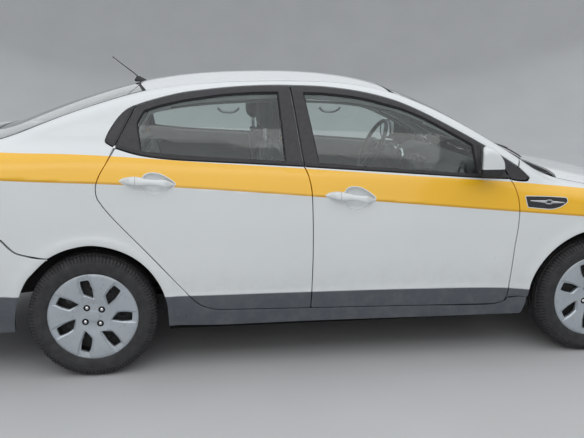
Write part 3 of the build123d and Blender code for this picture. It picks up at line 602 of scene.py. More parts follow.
def sheet(fn, outline, holes=(), gap=.0022, lipdepth=.014, h=.016, base=0.0, nfn=None, hole_gap=None, hole_lip=None, back=None, roll=.0025):
    """Vertices, triangles and vertex normals of a panel. fn(uv, depth) places map points; the panel has a rolled edge, a returned lip, and with back a closed rear face at that depth."""
    P0 = grow(outline, -gap)
    H0 = [grow(H, (hole_gap if hole_gap is not None else gap)) for H in holes]
    P1 = grow(P0, -roll)
    H1 = [grow(H, roll) for H in H0]
    uv, T3 = fill(P1, H1, h)
    top = fn(uv, base)
    if nfn is not None:
        N = nfn(fn(uv, 0.0))
    else:
        e = 5e-4
        du = fn(uv + [e, 0], base) - fn(uv - [e, 0], base)
        dv = fn(uv + [0, e], base) - fn(uv - [0, e], base)
        N = np.cross(du, dv)
        N /= np.maximum(np.linalg.norm(N, axis=1, keepdims=True), 1e-12)
        out = top - fn(uv, base + .001)
        N *= np.sign((N * out).sum(1, keepdims=True) + 1e-12)
    V, NN, faces = [top], [N], [T3]
    count, start = len(uv), 0
    for ring, ring0, sgn, deep in [(P1, P0, 1, lipdepth)] + [(a, b, -1, hole_lip or lipdepth) for a, b in zip(H1, H0)]:
        n = len(ring)
        p1, p0 = fn(ring, base), fn(ring0, base)
        t = p0 - p1
        t /= np.maximum(np.linalg.norm(t, axis=1, keepdims=True), 1e-9)
        n1 = N[start:start + n]
        levels = [(grow(ring0, -sgn * roll * .30), base + roll * .10, .35), (ring0, base + roll * .5, .8), (grow(ring0, sgn * .0003), base + roll * 1.3, 1.), (grow(ring0, sgn * .0006), base + deep, 1.)]
        prev = start + np.arange(n)
        for r, d, w in levels:
            V.append(fn(r, d))
            m = n1 * (1 - w) + t * w
            NN.append(m / np.maximum(np.linalg.norm(m, axis=1, keepdims=True), 1e-9))
            cur = count + np.arange(n)
            count += n
            a, b, c, e = prev, np.roll(prev, -1), cur, np.roll(cur, -1)
            q1, q2 = np.stack([a, c, b], 1), np.stack([b, c, e], 1)
            if sgn < 0:
                q1, q2 = q1[:, ::-1], q2[:, ::-1]
            faces += [q1, q2]
            prev = cur
        start += n
    if back is not None:
        uvb, Tb = fill(grow(P0, .0006), [grow(H, -.0006) for H in H0], h * 1.6)
        V.append(fn(uvb, back))
        bn = fn(uvb, back + .001) - V[-1]
        NN.append(bn / np.maximum(np.linalg.norm(bn, axis=1, keepdims=True), 1e-9))
        faces.append(Tb[:, ::-1] + count)
    V, NN, faces = np.vstack(V), np.vstack(NN), np.vstack(faces)
    a, b, c = V[T3[:, 0]], V[T3[:, 1]], V[T3[:, 2]]
    if (np.cross(b - a, c - a) * N[T3[:, 0]]).sum() < 0:
        faces = faces[:, ::-1]
    return V, faces, NN


def skin(kind, outline, holes=(), mode="normal", **kw):
    """A panel on the body's surface."""
    return sheet(lambda uv, d: off_surface(kind, uv, d, mode), outline, holes, nfn=normals, **kw)


# ============================================================ materials
def new_mat(name):
    m = bpy.data.materials.new(name)
    m.use_nodes = True
    nt = m.node_tree
    b = nt.nodes["Principled BSDF"]
    return m, nt, b


def node(nt, kind, **kw):
    n = nt.nodes.new(kind)
    for k, v in kw.items():
        if k in n.inputs:
            n.inputs[k].default_value = v
        else:
            setattr(n, k, v)
    return n


def coords(nt):
    return nt.nodes.new("ShaderNodeTexCoord").outputs["Object"]


def noise(nt, scale, detail=3, rough=.55, co=None, stretch=None):
    co = co or coords(nt)
    if stretch:
        mp = nt.nodes.new("ShaderNodeMapping")
        mp.inputs["Scale"].default_value = stretch
        nt.links.new(co, mp.inputs["Vector"])
        co = mp.outputs[0]
    n = nt.nodes.new("ShaderNodeTexNoise")
    n.inputs["Scale"].default_value = scale
    n.inputs["Detail"].default_value = detail
    n.inputs["Roughness"].default_value = rough
    nt.links.new(co, n.inputs["Vector"])
    return n.outputs["Fac"]


def ramp(nt, fac, stops):
    r = nt.nodes.new("ShaderNodeValToRGB")
    el = r.color_ramp.elements
    while len(el) > 1:
        el.remove(el[-1])
    el[0].position, el[0].color = stops[0][0], (*stops[0][1], 1) if len(stops[0][1]) == 3 else stops[0][1]
    for p, c in stops[1:]:
        e = el.new(p)
        e.color = (*c, 1) if len(c) == 3 else c
    nt.links.new(fac, r.inputs["Fac"])
    return r.outputs["Color"]


def grey(v):
    return (v, v, v)


def mix(nt, fac, a, b):
    m = nt.nodes.new("ShaderNodeMix")
    m.data_type = "RGBA"
    for sock, val in ((m.inputs[0], fac), (m.inputs[6], a), (m.inputs[7], b)):
        if isinstance(val, bpy.types.NodeSocket):
            nt.links.new(val, sock)
        elif isinstance(val, (int, float)):
            sock.default_value = val
        else:
            sock.default_value = (*val, 1) if len(val) == 3 else val
    return m.outputs[2]


def math_node(nt, op, a, b=None, c=None, clamp=False):
    m = nt.nodes.new("ShaderNodeMath")
    m.operation = op
    m.use_clamp = clamp
    for i, val in enumerate((a, b, c)):
        if val is None:
            continue
        if isinstance(val, bpy.types.NodeSocket):
            nt.links.new(val, m.inputs[i])
        else:
            m.inputs[i].default_value = val
    return m.outputs[0]


def bump(nt, b, height, strength=.2, dist=.001):
    n = nt.nodes.new("ShaderNodeBump")
    n.inputs["Strength"].default_value = strength
    n.inputs["Distance"].default_value = dist
    nt.links.new(height, n.inputs["Height"])
    nt.links.new(n.outputs[0], b.inputs["Normal"])


def simple(name, c0, c1, rough=(.4, .55), scale=30, bump_scale=None, bump_strength=.15, bump_dist=.0005, metallic=0, coat=0, spec=.5, stretch=None):
    """Procedural finish: two near colours mixed by noise, roughness that varies, and a fine surface bump."""
    m, nt, b = new_mat(name)
    f = noise(nt, scale, 4, stretch=stretch)
    nt.links.new(ramp(nt, f, [(.3, c0), (.7, c1)]), b.inputs["Base Color"])
    r = nt.nodes.new("ShaderNodeMapRange")
    r.inputs["To Min"].default_value, r.inputs["To Max"].default_value = rough
    nt.links.new(noise(nt, scale * 2.3, 3, stretch=stretch), r.inputs["Value"])
    nt.links.new(r.outputs[0], b.inputs["Roughness"])
    b.inputs["Metallic"].default_value = metallic
    b.inputs["Specular IOR Level"].default_value = spec
    if coat:
        b.inputs["Coat Weight"].default_value = coat
        b.inputs["Coat Roughness"].default_value = .04
    if bump_scale:
        bump(nt, b, noise(nt, bump_scale, 2), bump_strength, bump_dist)
    return m


def paint_material():
    """White lacquer with the yellow side stripe and the dark lower band, laid out along the car."""
    m, nt, b = new_mat("body_paint")
    co = coords(nt)
    sep = nt.nodes.new("ShaderNodeSeparateXYZ")
    nt.links.new(co, sep.inputs[0])
    x, y, z = sep.outputs
    def line(points):
        """z of a line along x, through the points, by a curve node."""
        fc = nt.nodes.new("ShaderNodeFloatCurve")
        mp = fc.mapping
        c = mp.curves[0]
        pts = sorted(points)
        x0, x1 = -2.2, 2.2
        lo, hi = 0.2, 1.3
        px = [((a - x0) / (x1 - x0), (v - lo) / (hi - lo)) for a, v in pts]
        c.points[0].location = px[0]
        c.points[-1].location = px[-1]
        for p in px[1:-1]:
            c.points.new(*p)
        for p in c.points:
            p.handle_type = "AUTO_CLAMPED"
        mp.update()
        xx = math_node(nt, "MULTIPLY_ADD", x, 1 / (x1 - x0), -x0 / (x1 - x0))
        nt.links.new(xx, fc.inputs["Value"])
        return math_node(nt, "MULTIPLY_ADD", fc.outputs[0], hi - lo, lo)
    top = line([(-2.2, 1.128), (-1.62, 1.094), (-1.286, 1.084), (-1.0, 1.066), (-.644, 1.037), (-.194, 1.004), (.291, .965), (.839, .923), (1.243, .879), (1.6, .835), (2.2, .75)])
    bot = line([(-2.2, 1.01), (-1.62, .972), (-1.097, .948), (-.814, .930), (-.268, .884), (.173, .842), (.881, .775), (1.249, .740), (1.6, .705), (2.2, .64)])
    band = line([(-2.2, .42), (-1.55, .415), (-.878, .399), (-.267, .396), (.401, .389), (.822, .376), (.968, .362), (1.6, .34), (2.2, .33)])
    in_stripe = math_node(nt, "MULTIPLY", math_node(nt, "LESS_THAN", z, top), math_node(nt, "GREATER_THAN", z, bot))
    side = math_node(nt, "GREATER_THAN", math_node(nt, "ABSOLUTE", y), math_node(nt, "MULTIPLY_ADD", math_node(nt, "GREATER_THAN", x, 1.15), .125, .60))
    front = math_node(nt, "LESS_THAN", x, 1.78)
    rear = math_node(nt, "GREATER_THAN", x, -1.93)
    in_stripe = math_node(nt, "MULTIPLY", in_stripe, math_node(nt, "MULTIPLY", side, math_node(nt, "MULTIPLY", front, rear)))
    in_band = math_node(nt, "LESS_THAN", z, band)
    # painted highlight: a thin lighter grey line, about 4 mm tall, along the top edge of the dark lower band
    edge = math_node(nt, "LESS_THAN", math_node(nt, "ABSOLUTE", math_node(nt, "SUBTRACT", z, band)), .0022)
    n1 = noise(nt, 2.2, 4, .6, co)
    n2 = noise(nt, 15, 6, .7, co)
    white = mix(nt, n1, (.70, .735, .745), (.77, .795, .80))
    yellow = mix(nt, n1, (.93, .50, .018), (.97, .55, .028))
    dark = mix(nt, n1, (.055, .066, .083), (.075, .086, .104))
    # painted shade: the yellow is darkened over the lowest 6 to 13 mm of the stripe, in place of the shade under the
    # body crease
    crease_shade = nt.nodes.new("ShaderNodeMapRange")
    crease_shade.inputs["From Min"].default_value, crease_shade.inputs["From Max"].default_value = .013, .006
    nt.links.new(math_node(nt, "SUBTRACT", z, bot), crease_shade.inputs["Value"])
    yellow = mix(nt, math_node(nt, "MULTIPLY", crease_shade.outputs[0], .85, clamp=True), yellow, (.62, .315, .010))
    col = mix(nt, in_stripe, white, yellow)
    col = mix(nt, in_band, col, dark)
    col = mix(nt, math_node(nt, "MULTIPLY", edge, .55), col, (.50, .53, .56))
    # road dust, thicker low down
    low = nt.nodes.new("ShaderNodeMapRange")
    low.inputs["From Min"].default_value, low.inputs["From Max"].default_value = .62, .22
    low.inputs["To Min"].default_value, low.inputs["To Max"].default_value = 0, .20
    nt.links.new(z, low.inputs["Value"])
    dust = math_node(nt, "MULTIPLY", low.outputs[0], ramp_fac(nt, n2, .42, .72), clamp=True)
    col = mix(nt, dust, col, (.30, .285, .26))
    nt.links.new(col, b.inputs["Base Color"])
    rr = nt.nodes.new("ShaderNodeMapRange")
    rr.inputs["To Min"].default_value, rr.inputs["To Max"].default_value = .22, .40
    nt.links.new(n2, rr.inputs["Value"])
    nt.links.new(math_node(nt, "ADD", rr.outputs[0], math_node(nt, "MULTIPLY", dust, .35)), b.inputs["Roughness"])
    b.inputs["Coat Weight"].default_value = .8
    b.inputs["Coat Roughness"].default_value = .07
    bump(nt, b, noise(nt, 420, 2, .5, co), .03, .0002)
    return m


def ramp_fac(nt, fac, a, b):
    r = nt.nodes.new("ShaderNodeMapRange")
    r.inputs["From Min"].default_value, r.inputs["From Max"].default_value = a, b
    nt.links.new(fac, r.inputs["Value"])
    return r.outputs[0]


def glass_material(name, tint, alpha_like=.35):
    m, nt, b = new_mat(name)
    n = noise(nt, 6, 3)
    nt.links.new(mix(nt, n, tint, tuple(c * .93 for c in tint)), b.inputs["Base Color"])
    b.inputs["Transmission Weight"].default_value = 1.0
    b.inputs["IOR"].default_value = 1.12
    rr = nt.nodes.new("ShaderNodeMapRange")
    rr.inputs["To Min"].default_value, rr.inputs["To Max"].default_value = .0, .03
    nt.links.new(noise(nt, 40, 3), rr.inputs["Value"])
    nt.links.new(rr.outputs[0], b.inputs["Roughness"])
    b.inputs["Coat Weight"].default_value = 1.0
    b.inputs["Coat Roughness"].default_value = .015
    b.inputs["Coat IOR"].default_value = 1.5
    return m


def plain_white():
    """The body colour without the stripe, for inner pressings, grips and mirrors."""
    m, nt, b = new_mat("body_white")
    co = coords(nt)
    n1, n2 = noise(nt, 2.2, 4, .6, co), noise(nt, 24, 5, .65, co)
    nt.links.new(mix(nt, n1, (.70, .735, .745), (.77, .795, .80)), b.inputs["Base Color"])
    r = nt.nodes.new("ShaderNodeMapRange")
    r.inputs["To Min"].default_value, r.inputs["To Max"].default_value = .22, .42
    nt.links.new(n2, r.inputs["Value"])
    nt.links.new(r.outputs[0], b.inputs["Roughness"])
    b.inputs["Coat Weight"].default_value = .8
    b.inputs["Coat Roughness"].default_value = .07
    bump(nt, b, noise(nt, 420, 2, .5, co), .03, .0002)
    return m


M_WHITE = plain_white()
M_PAINT = paint_material()
M_BLACK = simple("window_frame_black", (.022, .021, .024), (.034, .033, .037), (.34, .5), 40, 900, .08, .0002)
M_PLAST = simple("moulded_black_plastic", (.020, .020, .022), (.034, .034, .036), (.55, .72), 60, 700, .3, .0004)
M_RUBBER = simple("seal_rubber", (.012, .012, .013), (.022, .022, .023), (.6, .8), 80, 300, .2, .0003)
M_GLASS = glass_material("window_glass_tint", (.80, .87, .85))
M_UNDER = simple("underseal", (.018, .018, .019), (.035, .034, .033), (.7, .9), 12, 60, .5, .002)
M_STEEL = simple("bare_steel", (.20, .195, .19), (.33, .32, .31), (.38, .6), 14, 120, .2, .0005, metallic=1)
M_CAST = simple("cast_metal", (.13, .13, .135), (.24, .24, .245), (.5, .75), 16, 90, .5, .001, metallic=.7)
M_CHROME = simple("bright_trim", (.72, .72, .73), (.82, .82, .83), (.06, .14), 30, None, metallic=1)
M_TRIMGREY = simple("interior_grey_plastic", (.060, .060, .064), (.085, .085, .09), (.5, .68), 50, 500, .3, .0004)
M_HEAD = simple("headlining", (.30, .298, .29), (.36, .355, .345), (.85, .95), 30, 900, .5, .0006)
M_CARPET = simple("carpet", (.020, .020, .022), (.05, .05, .053), (.9, 1.), 160, 700, .9, .003)

# ============================================================ outlines shared by the panels (side view, mm)
DLO_TOP = [(-1149, 1139), (-1132, 1176), (-1099, 1227), (-1070, 1261), (-1035, 1288), (-985, 1308), (-900, 1333), (-782, 1360), (-693, 1372), (-567, 1385), (-440, 1393), (-326, 1396), (-244, 1395), (-94, 1390), (74, 1371), (190, 1348), (300, 1316), (407, 1271), (495, 1227), (582, 1181), (724, 1103), (817, 1047), (894, 991), (942, 943)]
DLO_F = [p for p in DLO_TOP if -200 < p[0] < 600]
DLO_R = [p for p in DLO_TOP if -930 < p[0] < -300][::-1]
DLO_BOT = [(942, 943), (849, 937), (669, 948), (426, 967), (203, 984), (-201, 1014), (-498, 1035), (-644, 1044), (-860, 1060), (-995, 1080), (-1102, 1108), (-1149, 1135)]
C_SHUT = [(-999, 1300), (-1102, 1114), (-1137, 1046), (-1172, 986), (-1187, 939), (-1184, 890), (-1160, 848), (-1109, 783), (-929, 583), (-771, 398), (-715, 345), (-640, 317)]
B_SHUT = [(-247, 1394), (-201, 1022), (-185, 975), (-172, 914), (-168, 857), (-164, 611), (-168, 376), (-171, 309)]
A_SHUT = [(775, 1075), (849, 935), (869, 906), (886, 848), (892, 793), (890, 706), (877, 582), (863, 373), (853, 297)]
DOOR_LOW = [(853, 285), (411, 294), (-171, 306), (-640, 317)]


def Sx(points, r0=None, r1=None):
    """S control points; the first and last may be corners."""
    out = [S(*p) for p in points]
    if r0 is not None:
        out[0] = S(*points[0], r0)
    if r1 is not None:
        out[-1] = S(*points[-1], r1)
    return out


def zbot(x):
    """Belt line's height at x, mm."""
    p = sorted(DLO_BOT)
    return float(np.interp(x, [a for a, _ in p], [b for _, b in p]))


# lower skins of the doors, up to the belt moulding
FD = [S(-171, 306, 14), S(411, 293), S(800, 284, 30), S(853, 297, 22)] + [S(*p) for p in A_SHUT[::-1][1:7]] + [S(869, 906), S(851, 936, 4)] + [S(669, 947), S(426, 966), S(203, 983), S(-199, 1013, 4)] + [S(*p) for p in B_SHUT[2:-1]]
RD = [S(-640, 317, 22), S(-400, 311), S(-171, 306, 14)] + [S(*p) for p in B_SHUT[::-1][1:6]] + [S(-202, 1014, 4), S(-498, 1034), S(-644, 1043), S(-860, 1059), S(-995, 1079), S(-1099, 1108, 6)] + [S(*p) for p in C_SHUT[2:-1]]


# body side pressing: A pillar, roof rail, C pillar, quarter panel
ARCH_R_PTS = [(-1592, 306), (-1579, 368), (-1548, 457), (-1493, 533), (-1419, 601), (-1377, 625), (-1323, 645), (-1230, 660), (-1137, 646), (-1046, 608), (-970, 547), (-912, 460), (-882, 370), (-876, 306)]
BS = [
    S(903, 994, 3), S(950, 1028, 3), T(944, 689, 6), T(840, 683), T(700, 655), T(450, 594), T(296, 550, 8), T(60, 530), T(-300, 528), T(-700, 526), T(-965, 518, 10),
    T(-1000, 524), T(-1300, 583), T(-1550, 628), T(-1690, 655, 25), T(-1735, 640, 12), T(-1748, 606, 6), T(-1900, 606), T(-1980, 604),
    D3(-2019, 603, 1078), D3(-2036, 602, 1050), D3(-2047, 601, 1031, 4), D3(-2020, 667, 1024), S(-1960, 1008), S(-1905, 985, 20), S(-1925, 900), S(-1980, 830), S(-2060, 800), D3(-2110, 640, 790, 6), D3(-2130, 560, 775, 6), D3(-2090, 720, 770),
    S(-1960, 766), S(-1800, 752), S(-1700, 738), S(-1632, 696), S(-1598, 659), S(-1569, 633), S(-1520, 617), S(-1464, 608), S(-1421, 602, 3),
] + [S(*p) for p in ARCH_R_PTS[5:-1]] + [S(-876, 306), S(-874, 236, 6), S(-640, 228), S(-200, 228), S(400, 222), S(958, 216, 10), S(968, 280), S(968, 322, 3), S(860, 315, 3)] + [
    S(858, 300, 10), S(800, 284), S(411, 293), S(-171, 306), S(-400, 311)] + [S(-640, 317, 22)] + [S(*p) for p in C_SHUT[::-1][1:-1]] + [S(-1102, 1110, 3), S(-1152, 1134, 22)] + [S(*p) for p in DLO_TOP[1:-2]]


def sym(points):
    """A closed outline from its left half, which starts and ends on the middle plane."""
    back = []
    for p in points[::-1]:
        q = list(p)
        j = {"T": 2, "3": 2, "S": None, "uv": 1}[p[0]]
        if abs(p[j]) < 1e-9:
            continue
        q[j] = -q[j]
        back.append(tuple(q))
    return list(points) + back


def sym_uv(kind, points):
    """As sym, but through map coordinates, for maps whose first coordinate changes sign across the middle."""
    A = []
    for p in points:
        if p[0] == "3":
            uv = to_uv(kind, [[p[1], p[2], p[3]]])[0]
        elif p[0] == "uv":
            uv = np.array([p[1], p[2]])
        else:
            uv = to_uv(kind, lift(p[0], [[p[1], p[2]]]))[0]
        A.append(("uv", float(uv[0]), float(uv[1]), p[-1]))
    back = [("uv", -a[1], a[2], a[3]) for a in A[::-1] if abs(a[1]) > 1e-6]
    return A + back


# ------------------------------------------------------------ outer panels
R_FD, R_RD = ring_of("S", FD), ring_of("S", RD)


def ellipse_ring(cx, cz, a, b, n=40, power=2.0):
    t = np.arange(n) / n * 2 * PI
    c, s_ = np.cos(t), np.sin(t)
    return np.stack([cx + a * np.sign(c) * np.abs(c) ** (2 / power), cz + b * np.sign(s_) * np.abs(s_) ** (2 / power)], 1)


CUPS = {"front": (.0663, .8605, .0775, .0545), "rear": (-.8993, .9475, .0770, .0495)}
LEAF = catmull(np.array([(-1, .10), (-.93, .62), (-.70, .93), (-.34, 1.0), (.08, .90), (.48, .60), (.80, .28), (1.0, -.02), (.84, -.30), (.50, -.66), (.10, -.92), (-.30, -1.0), (-.66, -.86), (-.90, -.50), (-1, .10)]), .06)[:-1]


def cup_ring(which, k=1.0, n=56):
    """The finger cup behind a grip: round at the back, drawn out to a point at the front."""
    cx, cz, ca, cb = CUPS[which]
    P = np.vstack([LEAF, LEAF[:1]])
    s_ = np.concatenate([[0], np.cumsum(np.linalg.norm(np.diff(P, axis=0), axis=1))])
    t = np.linspace(0, s_[-1], n + 1)[:-1]
    Q = np.stack([np.interp(t, s_, P[:, 0]), np.interp(t, s_, P[:, 1])], 1) * [ca * k, cb * k] + [cx, cz]
    return Q if area2(Q) > 0 else Q[::-1]


for which, ring in (("front", R_FD), ("rear", R_RD)):
    cup = cup_ring(which)
    geo = skin("S", ring, [cup], lipdepth=.020, hole_gap=0, hole_lip=.004)
    pair(f"{which}_door_skin", geo, M_PAINT, f"{which}_door_{{}}", [f"{which}_door_{{}}"], "paint")
    # the finger cup, dished in behind the grip
    levels = [(1.0, .0010), (.97, .0050), (.90, .0105), (.78, .0155), (.60, .0190), (.38, .0210), (.16, .0218), (.04, .0220)]
    V, Fc = [], []
    n = 56
    for k, d in levels:
        V.append(off_surface("S", cup_ring(which, k), d))
    for i in range(len(levels) - 1):
        for j in range(n):
            a, b = i * n + j, i * n + (j + 1) % n
            Fc.append((a, b, b + n, a + n))
    Fc.append(tuple(range((len(levels) - 1) * n, len(levels) * n)))
    pair(f"{which}_door_cup", (np.vstack(V), Fc), M_WHITE, f"{which}_door_{{}}", None, "paint")

R_BS = ring_of("R", BS)
pair("body_side_skin", skin("R", R_BS, lipdepth=.014), M_PAINT, "body", ["body_side_{}"], "paint")

WING = [S(906, 991, 2), S(953, 1026, 3), T(949, 692, 4), D3(1004, 704, 983), D3(1078, 694, 955, 6), T(1150, 705), T(1270, 720), T(1400, 735), T(1600, 722), T(1720, 700, 6),
        S(1704, 762, 8), S(1704, 738, 4), S(1680, 670), S(1664, 600), S(1648, 420), S(1643, 330, 6)]
_arc = [S(1340 + 366 * math.cos(a), 306 + 362 * math.sin(a)) for a in np.radians(np.linspace(35, 165, 12))]
WING = WING[:-1] + [S(1650, 470, 4), S(1640, 505, 3)] + [S(*p) for p in [(1600, 560), (1530, 618), (1440, 655), (1340, 668), (1240, 655), (1150, 614), (1070, 550), (1012, 470), (983, 390), (975, 322)]] + [S(972, 318, 3), S(862, 322, 3)] + [S(*p) for p in A_SHUT[::-1][2:7]] + [S(869, 906), S(855, 931, 2), S(914, 923), S(948, 923, 6), S(961, 938, 6)]
R_WING = ring_of("R", WING)
pair("front_wing_skin", skin("R", R_WING, lipdepth=.006), M_PAINT, "body", ["front_wings"], "paint")

R_BONNET = ring_of("T", sym([T(1168, 0), T(1184, 330), T(1198, 500), T(1180, 610), T(1146, 699, 9), T(1270, 716), T(1400, 731), T(1600, 718), T(1752, 688, 20), T(1990, 500), T(2066, 405, 22), T(2092, 0)]))
single("bonnet_skin", skin("T", R_BONNET, lipdepth=.014, h=.022), M_PAINT, "bonnet", ["bonnet"], "paint")

R_ROOF = ring_of("T", sym([T(286, 0), T(284, 300), T(277, 544, 12), T(60, 527), T(-300, 525), T(-700, 523), T(-960, 515, 14), T(-1000, 250), T(-1008, 0)]))
single("roof_skin", skin("T", R_ROOF, lipdepth=.008, h=.024), M_PAINT, "body", ["roof_panel"], "paint")

R_LID = ring_of("L", sym_uv("L", [D3(-1772, 0, 1160), D3(-1765, 300, 1155), D3(-1748, 588, 1140, 18), D3(-1900, 600, 1120), D3(-2040, 592, 1100), D3(-2105, 575, 1000), D3(-2150, 552, 810, 16), D3(-2170, 300, 806), D3(-2175, 0, 806)]))
single("boot_lid_skin", skin("L", R_LID, lipdepth=.014, h=.020), M_PAINT, "boot_lid", ["boot_lid"], "paint")

FB_TOP = [D3(2096, 0, 745), T(2096, 200), T(2071, 408, 10), D3(2120, 398, 660, 14), D3(2000, 560, 645), S(1880, 668), S(1800, 694), S(1709, 742, 6)]
FB = FB_TOP + [S(1680, 670), S(1664, 600), S(1650, 470, 4), S(1690, 410), S(1704, 360), S(1708, 306), S(1706, 215, 14), D3(1900, 620, 205), D3(2060, 380, 205), D3(2110, 0, 205)]
R_FB = ring_of("front", sym_uv("front", FB))
intake = ring_of("front", sym_uv("front", [D3(2170, 0, 455), D3(2160, 385, 455, 30), D3(2160, 400, 305, 30), D3(2170, 0, 302)]))
slot_g = ring_of("front", sym_uv("front", [D3(2150, 0, 702), D3(2140, 322, 696, 16), D3(2140, 330, 652, 14), D3(2150, 0, 640)]))
fog_l = ring_of("front", [D3(2110, 500, 425, 18), D3(2010, 640, 438, 22), D3(2010, 650, 355, 20), D3(2110, 510, 335, 24)])
fog_r = np.stack([-fog_l[::-1, 0], fog_l[::-1, 1]], 1)
single("front_bumper_skin", skin("front", R_FB, [intake, slot_g, fog_l, fog_r], lipdepth=.014, hole_lip=.035, h=.020), M_PAINT, "body", ["front_bumper"], "paint")

RB = [D3(-2175, 0, 766), D3(-2150, 400, 766), D3(-2110, 600, 764), S(-1990, 760), S(-1800, 749), S(-1706, 735), S(-1636, 692), S(-1602, 655), S(-1570, 629), S(-1520, 613), S(-1464, 604), S(-1423, 598, 3),
      S(-1459, 566), S(-1493, 532), S(-1524, 498), S(-1548, 456), S(-1567, 410), S(-1585, 350), S(-1599, 280), S(-1606, 222, 14), D3(-1850, 640, 215), D3(-2050, 350, 213), D3(-2085, 0, 213)]
R_RB = ring_of("rear", sym_uv("rear", RB))
single("rear_bumper_skin", skin("rear", R_RB, lipdepth=.016, h=.022), M_PAINT, "body", ["rear_bumper"], "paint")

# ------------------------------------------------------------ small builders
def poly_tube(P, r, n=10, ends=True, up=(0, 0, 1), flat=1.0):
    """Tube along points P; r is one radius or one a point. flat squashes it along up."""
    P = np.asarray(P, float)
    R = np.full(len(P), float(r)) if np.isscalar(r) else np.asarray(r, float)
    t = np.gradient(P, axis=0)
    t /= np.maximum(np.linalg.norm(t, axis=1, keepdims=True), 1e-12)
    u = np.tile(np.asarray(up, float), (len(P), 1))
    a = np.cross(t, u)
    bad = np.linalg.norm(a, axis=1) < 1e-3
    a[bad] = np.cross(t[bad], [[1., .01, 0]])
    a /= np.linalg.norm(a, axis=1, keepdims=True)
    b = np.cross(a, t)
    for i in range(1, len(P)):
        if (a[i] * a[i - 1]).sum() < 0:
            a[i] *= -1; b[i] *= -1
    th = np.arange(n) / n * 2 * PI
    V = (P[:, None] + R[:, None, None] * (np.cos(th)[None, :, None] * a[:, None] + flat * np.sin(th)[None, :, None] * b[:, None])).reshape(-1, 3)
    F_ = []
    for i in range(len(P) - 1):
        for j in range(n):
            k = (j + 1) % n
            F_.append((i * n + j, i * n + k, (i + 1) * n + k, (i + 1) * n + j))
    if ends:
        F_.append(tuple(range(n))[::-1])
        F_.append(tuple(range((len(P) - 1) * n, len(P) * n)))
    return V, F_


def smooth_path(P, step=.01):
    return catmull(np.asarray(P, float), step)


def loft(sections, caps=True, closed=True):
    """Skin through equal-length rings of points."""
    n = len(sections[0])
    V = np.vstack(sections)
    F_ = []
    for i in range(len(sections) - 1):
        for j in range(n if closed else n - 1):
            k = (j + 1) % n
            F_.append((i * n + j, i * n + k, (i + 1) * n + k, (i + 1) * n + j))
    if caps:
        F_.append(tuple(range(n))[::-1])
        F_.append(tuple(range(len(V) - n, len(V))))
    return V, F_


def revolve(profile, centre, axis="y", n=48, sign=1, close=False):
    """Profile of (radius, offset along the axis) turned about an axis through centre."""
    p = np.asarray(profile, float)
    th = np.arange(n) / n * 2 * PI
    r, h = p[:, 0], p[:, 1] * sign
    C, S_ = np.cos(th), np.sin(th)
    a = r[:, None] * C[None]
    b = r[:, None] * S_[None]
    hh = np.repeat(h[:, None], n, 1)
    if axis == "y":
        V = np.stack([a, hh, b], 2)
    elif axis == "x":
        V = np.stack([hh, a, b], 2)
    else:
        V = np.stack([a, b, hh], 2)
    V = V.reshape(-1, 3) + np.asarray(centre, float)
    F_ = []
    m = len(p)
    for i in range(m if close else m - 1):
        i2 = (i + 1) % m
        for j in range(n):
            k = (j + 1) % n
            F_.append((i * n + j, i * n + k, i2 * n + k, i2 * n + j))
    return V, F_


def fix_normals(ob):
    """Faces all look outwards."""
    bm = bmesh.new()
    bm.from_mesh(ob.data)
    bmesh.ops.remove_doubles(bm, verts=bm.verts, dist=1e-6)
    bmesh.ops.recalc_face_normals(bm, faces=bm.faces)
    bm.to_mesh(ob.data)
    bm.free()
    return ob


def auto_smooth(ob, angle=35):
    """Edges sharper than the angle are shaded sharp."""
    bm = bmesh.new()
    bm.from_mesh(ob.data)
    lim = math.radians(angle)
    for e in bm.edges:
        e.smooth = not (len(e.link_faces) == 2 and e.calc_face_angle(0) > lim)
    for f in bm.faces:
        f.smooth = True
    bm.to_mesh(ob.data)
    bm.free()
    return ob


def solid(name, geo, mat, body, replaces=(), slot=None, angle=35, bevel=0, seg=2):
    ob = mesh_object(name, geo[0], geo[1], mat)
    fix_normals(ob)
    if bevel:
        bm = bmesh.new()
        bm.from_mesh(ob.data)
        es = [e for e in bm.edges if len(e.link_faces) == 2 and e.calc_face_angle(0) > math.radians(angle)]
        bmesh.ops.bevel(bm, geom=es, offset=bevel, segments=seg, profile=.6, affect="EDGES", clamp_overlap=True)
        bm.to_mesh(ob.data)
        bm.free()
    auto_smooth(ob, angle if not bevel else 50)
    return add_piece(ob, body, replaces, slot)


def solid_pair(name, geo, mat, body, replaces=None, slot=None, angle=35, bevel=0, seg=2):
    out = []
    for sd, g in (("left", geo), ("right", mirror_y(geo[:2]))):
        out.append(solid(f"{name}_{sd}", g, mat, body.format(sd), [r.format(sd) for r in (replaces or [])], slot, angle, bevel, seg))
    return out


def box_geo(c, s):
    x, y, z = c
    a, b, d = s[0] / 2, s[1] / 2, s[2] / 2
    V = [(x + i * a, y + j * b, z + k * d) for k in (-1, 1) for j in (-1, 1) for i in (-1, 1)]
    return np.array(V), [(0, 2, 3, 1), (4, 5, 7, 6), (0, 1, 5, 4), (2, 6, 7, 3), (0, 4, 6, 2), (1, 3, 7, 5)]


